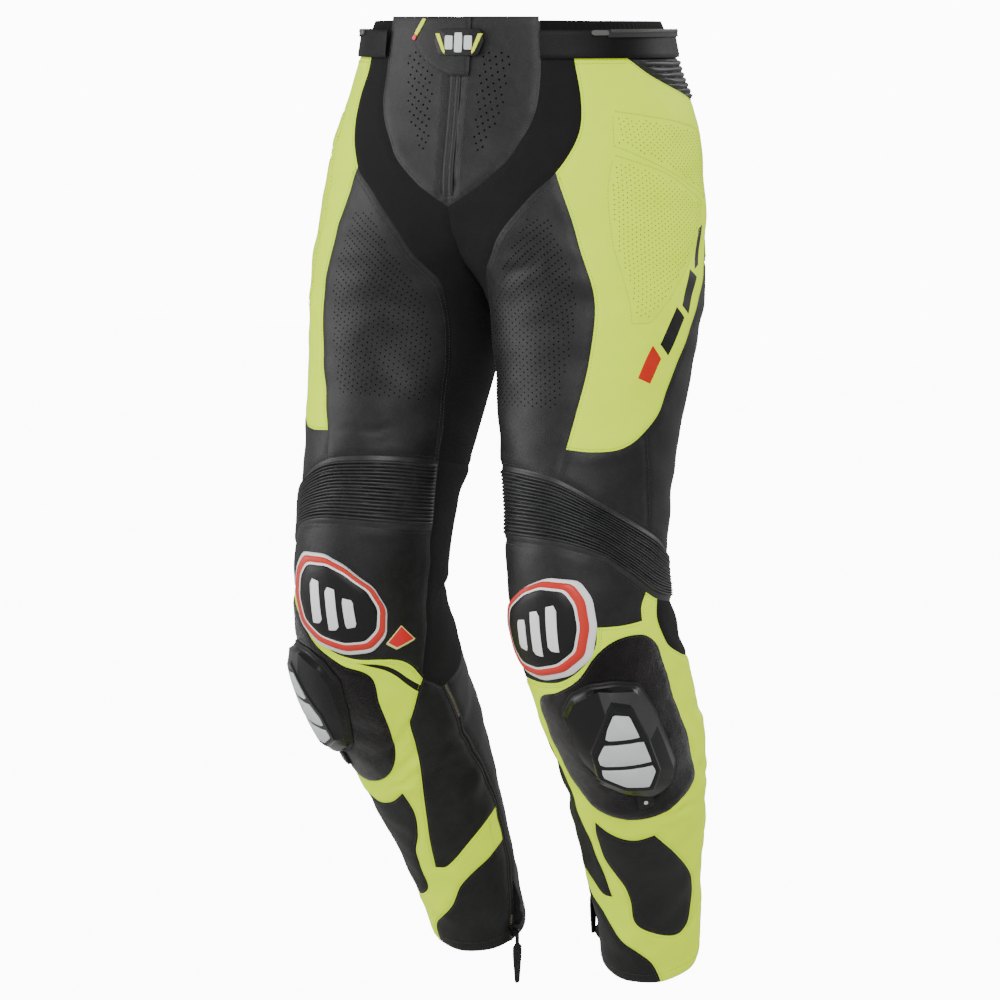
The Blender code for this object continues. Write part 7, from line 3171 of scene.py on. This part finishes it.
@dataclass(frozen=True)
class Studio:
    """A pale floor, soft lights and the camera at the photograph's angle."""

    turn: float = 30.0
    distance: float = 3.0
    eye_height: float = 0.015
    aim: tuple[float, float] = (-0.0175, -0.480)
    lens: float = 104.0
    sky: float = 0.55
    backdrop: float = 12.0
    floor_gap: float = 0.012        # below the hems
    floor_reach: float = 6.0
    lamps: tuple[Lamp, ...] = (Lamp("key", (1.5, -2.7, 1.2), 78.0),
                               Lamp("fill", (-2.3, -1.5, 0.1), 48.0),
                               Lamp("rim", (1.6, 2.3, 1.0), 34.0))

    def camera(self) -> None:
        """The camera, looking at the trousers' middle."""
        angle = radians(self.turn)
        right = Vector((cos(angle), sin(angle), 0.0))
        target = right * self.aim[0] + Vector((0.0, 0.0, self.aim[1]))
        eye = Vector((sin(angle), -cos(angle), 0.0)) * self.distance + right * self.aim[0]
        eye.z = self.eye_height
        data = bpy.data.cameras.new("camera")
        data.lens, data.sensor_width = self.lens, 36.0
        item = bpy.data.objects.new("camera", data)
        item.location = eye
        item.rotation_euler = (target - eye).to_track_quat("-Z", "Y").to_euler()
        bpy.context.scene.collection.objects.link(item)
        bpy.context.scene.camera = item

    def floor(self) -> None:
        """A plain pale floor below the hems."""
        level = CAD_BOX[0][2] - self.floor_gap
        corners = [(*corner, level) for corner in rectangle(self.floor_reach, self.floor_reach)]
        shade = Shade("floor")
        cloud = shade.noise(shade.place(), 3.0, 2.0, 0.5)
        material = shade.finish(Base_Color=shade.mix(cloud, (0.48, 0.48, 0.48),
                                                     (0.54, 0.54, 0.54)), Roughness=0.8)
        seen = shade.node("ShaderNodeLightPath")
        glow = shade.node("ShaderNodeEmission", {}, {"Color": (1.0, 1.0, 1.0),
                                                     "Strength": self.backdrop})
        blend = shade.node("ShaderNodeMixShader")
        shade.feed(blend.inputs[0], shade.get(seen, "Is Camera Ray") * 0.97)
        shade.tree.links.new(shade.shader.outputs[0], blend.inputs[1])
        shade.tree.links.new(glow.outputs[0], blend.inputs[2])
        shade.tree.links.new(blend.outputs[0], shade.output.inputs["Surface"])
        item = make_object("floor", np.array(corners), [(0, 1, 2, 3)], [material])

    def lights(self) -> None:
        """A pale sky and three large soft lamps."""
        world = bpy.data.worlds.new("studio")
        bpy.context.scene.world = world
        world.use_nodes = True
        tree = world.node_tree
        back = tree.nodes["Background"]
        back.inputs["Color"].default_value = (1.0, 1.0, 1.0, 1.0)
        seen = tree.nodes.new("ShaderNodeLightPath")
        strength = tree.nodes.new("ShaderNodeMapRange")
        strength.inputs["To Min"].default_value = self.sky
        strength.inputs["To Max"].default_value = self.backdrop
        tree.links.new(seen.outputs["Is Camera Ray"], strength.inputs["Value"])
        tree.links.new(strength.outputs["Result"], back.inputs["Strength"])
        for lamp in self.lamps:
            lamp.build()

    def build(self) -> None:
        """Set the studio up."""
        self.camera()
        self.floor()
        self.lights()


def main() -> None:
    """Build the trousers piece by piece."""
    logging.basicConfig(level=logging.INFO, format="%(message)s")
    Studio().build()
    palette = Palette()
    for panel in PANELS:
        mesh = panel.mesh(PATTERN)
        for side in Side:
            panel.sew(mesh, side, palette, PATTERN)
    for side in Side:
        Waistband().build(side, palette)
        ZipGuard().build(side, palette)
        CalfZip().build(side, palette)
        KneeGuard().build(side, palette)
        KneeSlider().build(side, palette)
        Sewing().build(side, palette)
        Perforation().build(side, palette)
    Fly().build(palette)
    Closure().build(palette)
    KneeBadge().build(palette)
    ZipHardware().build(palette)


if __name__ == "__main__":
    main()
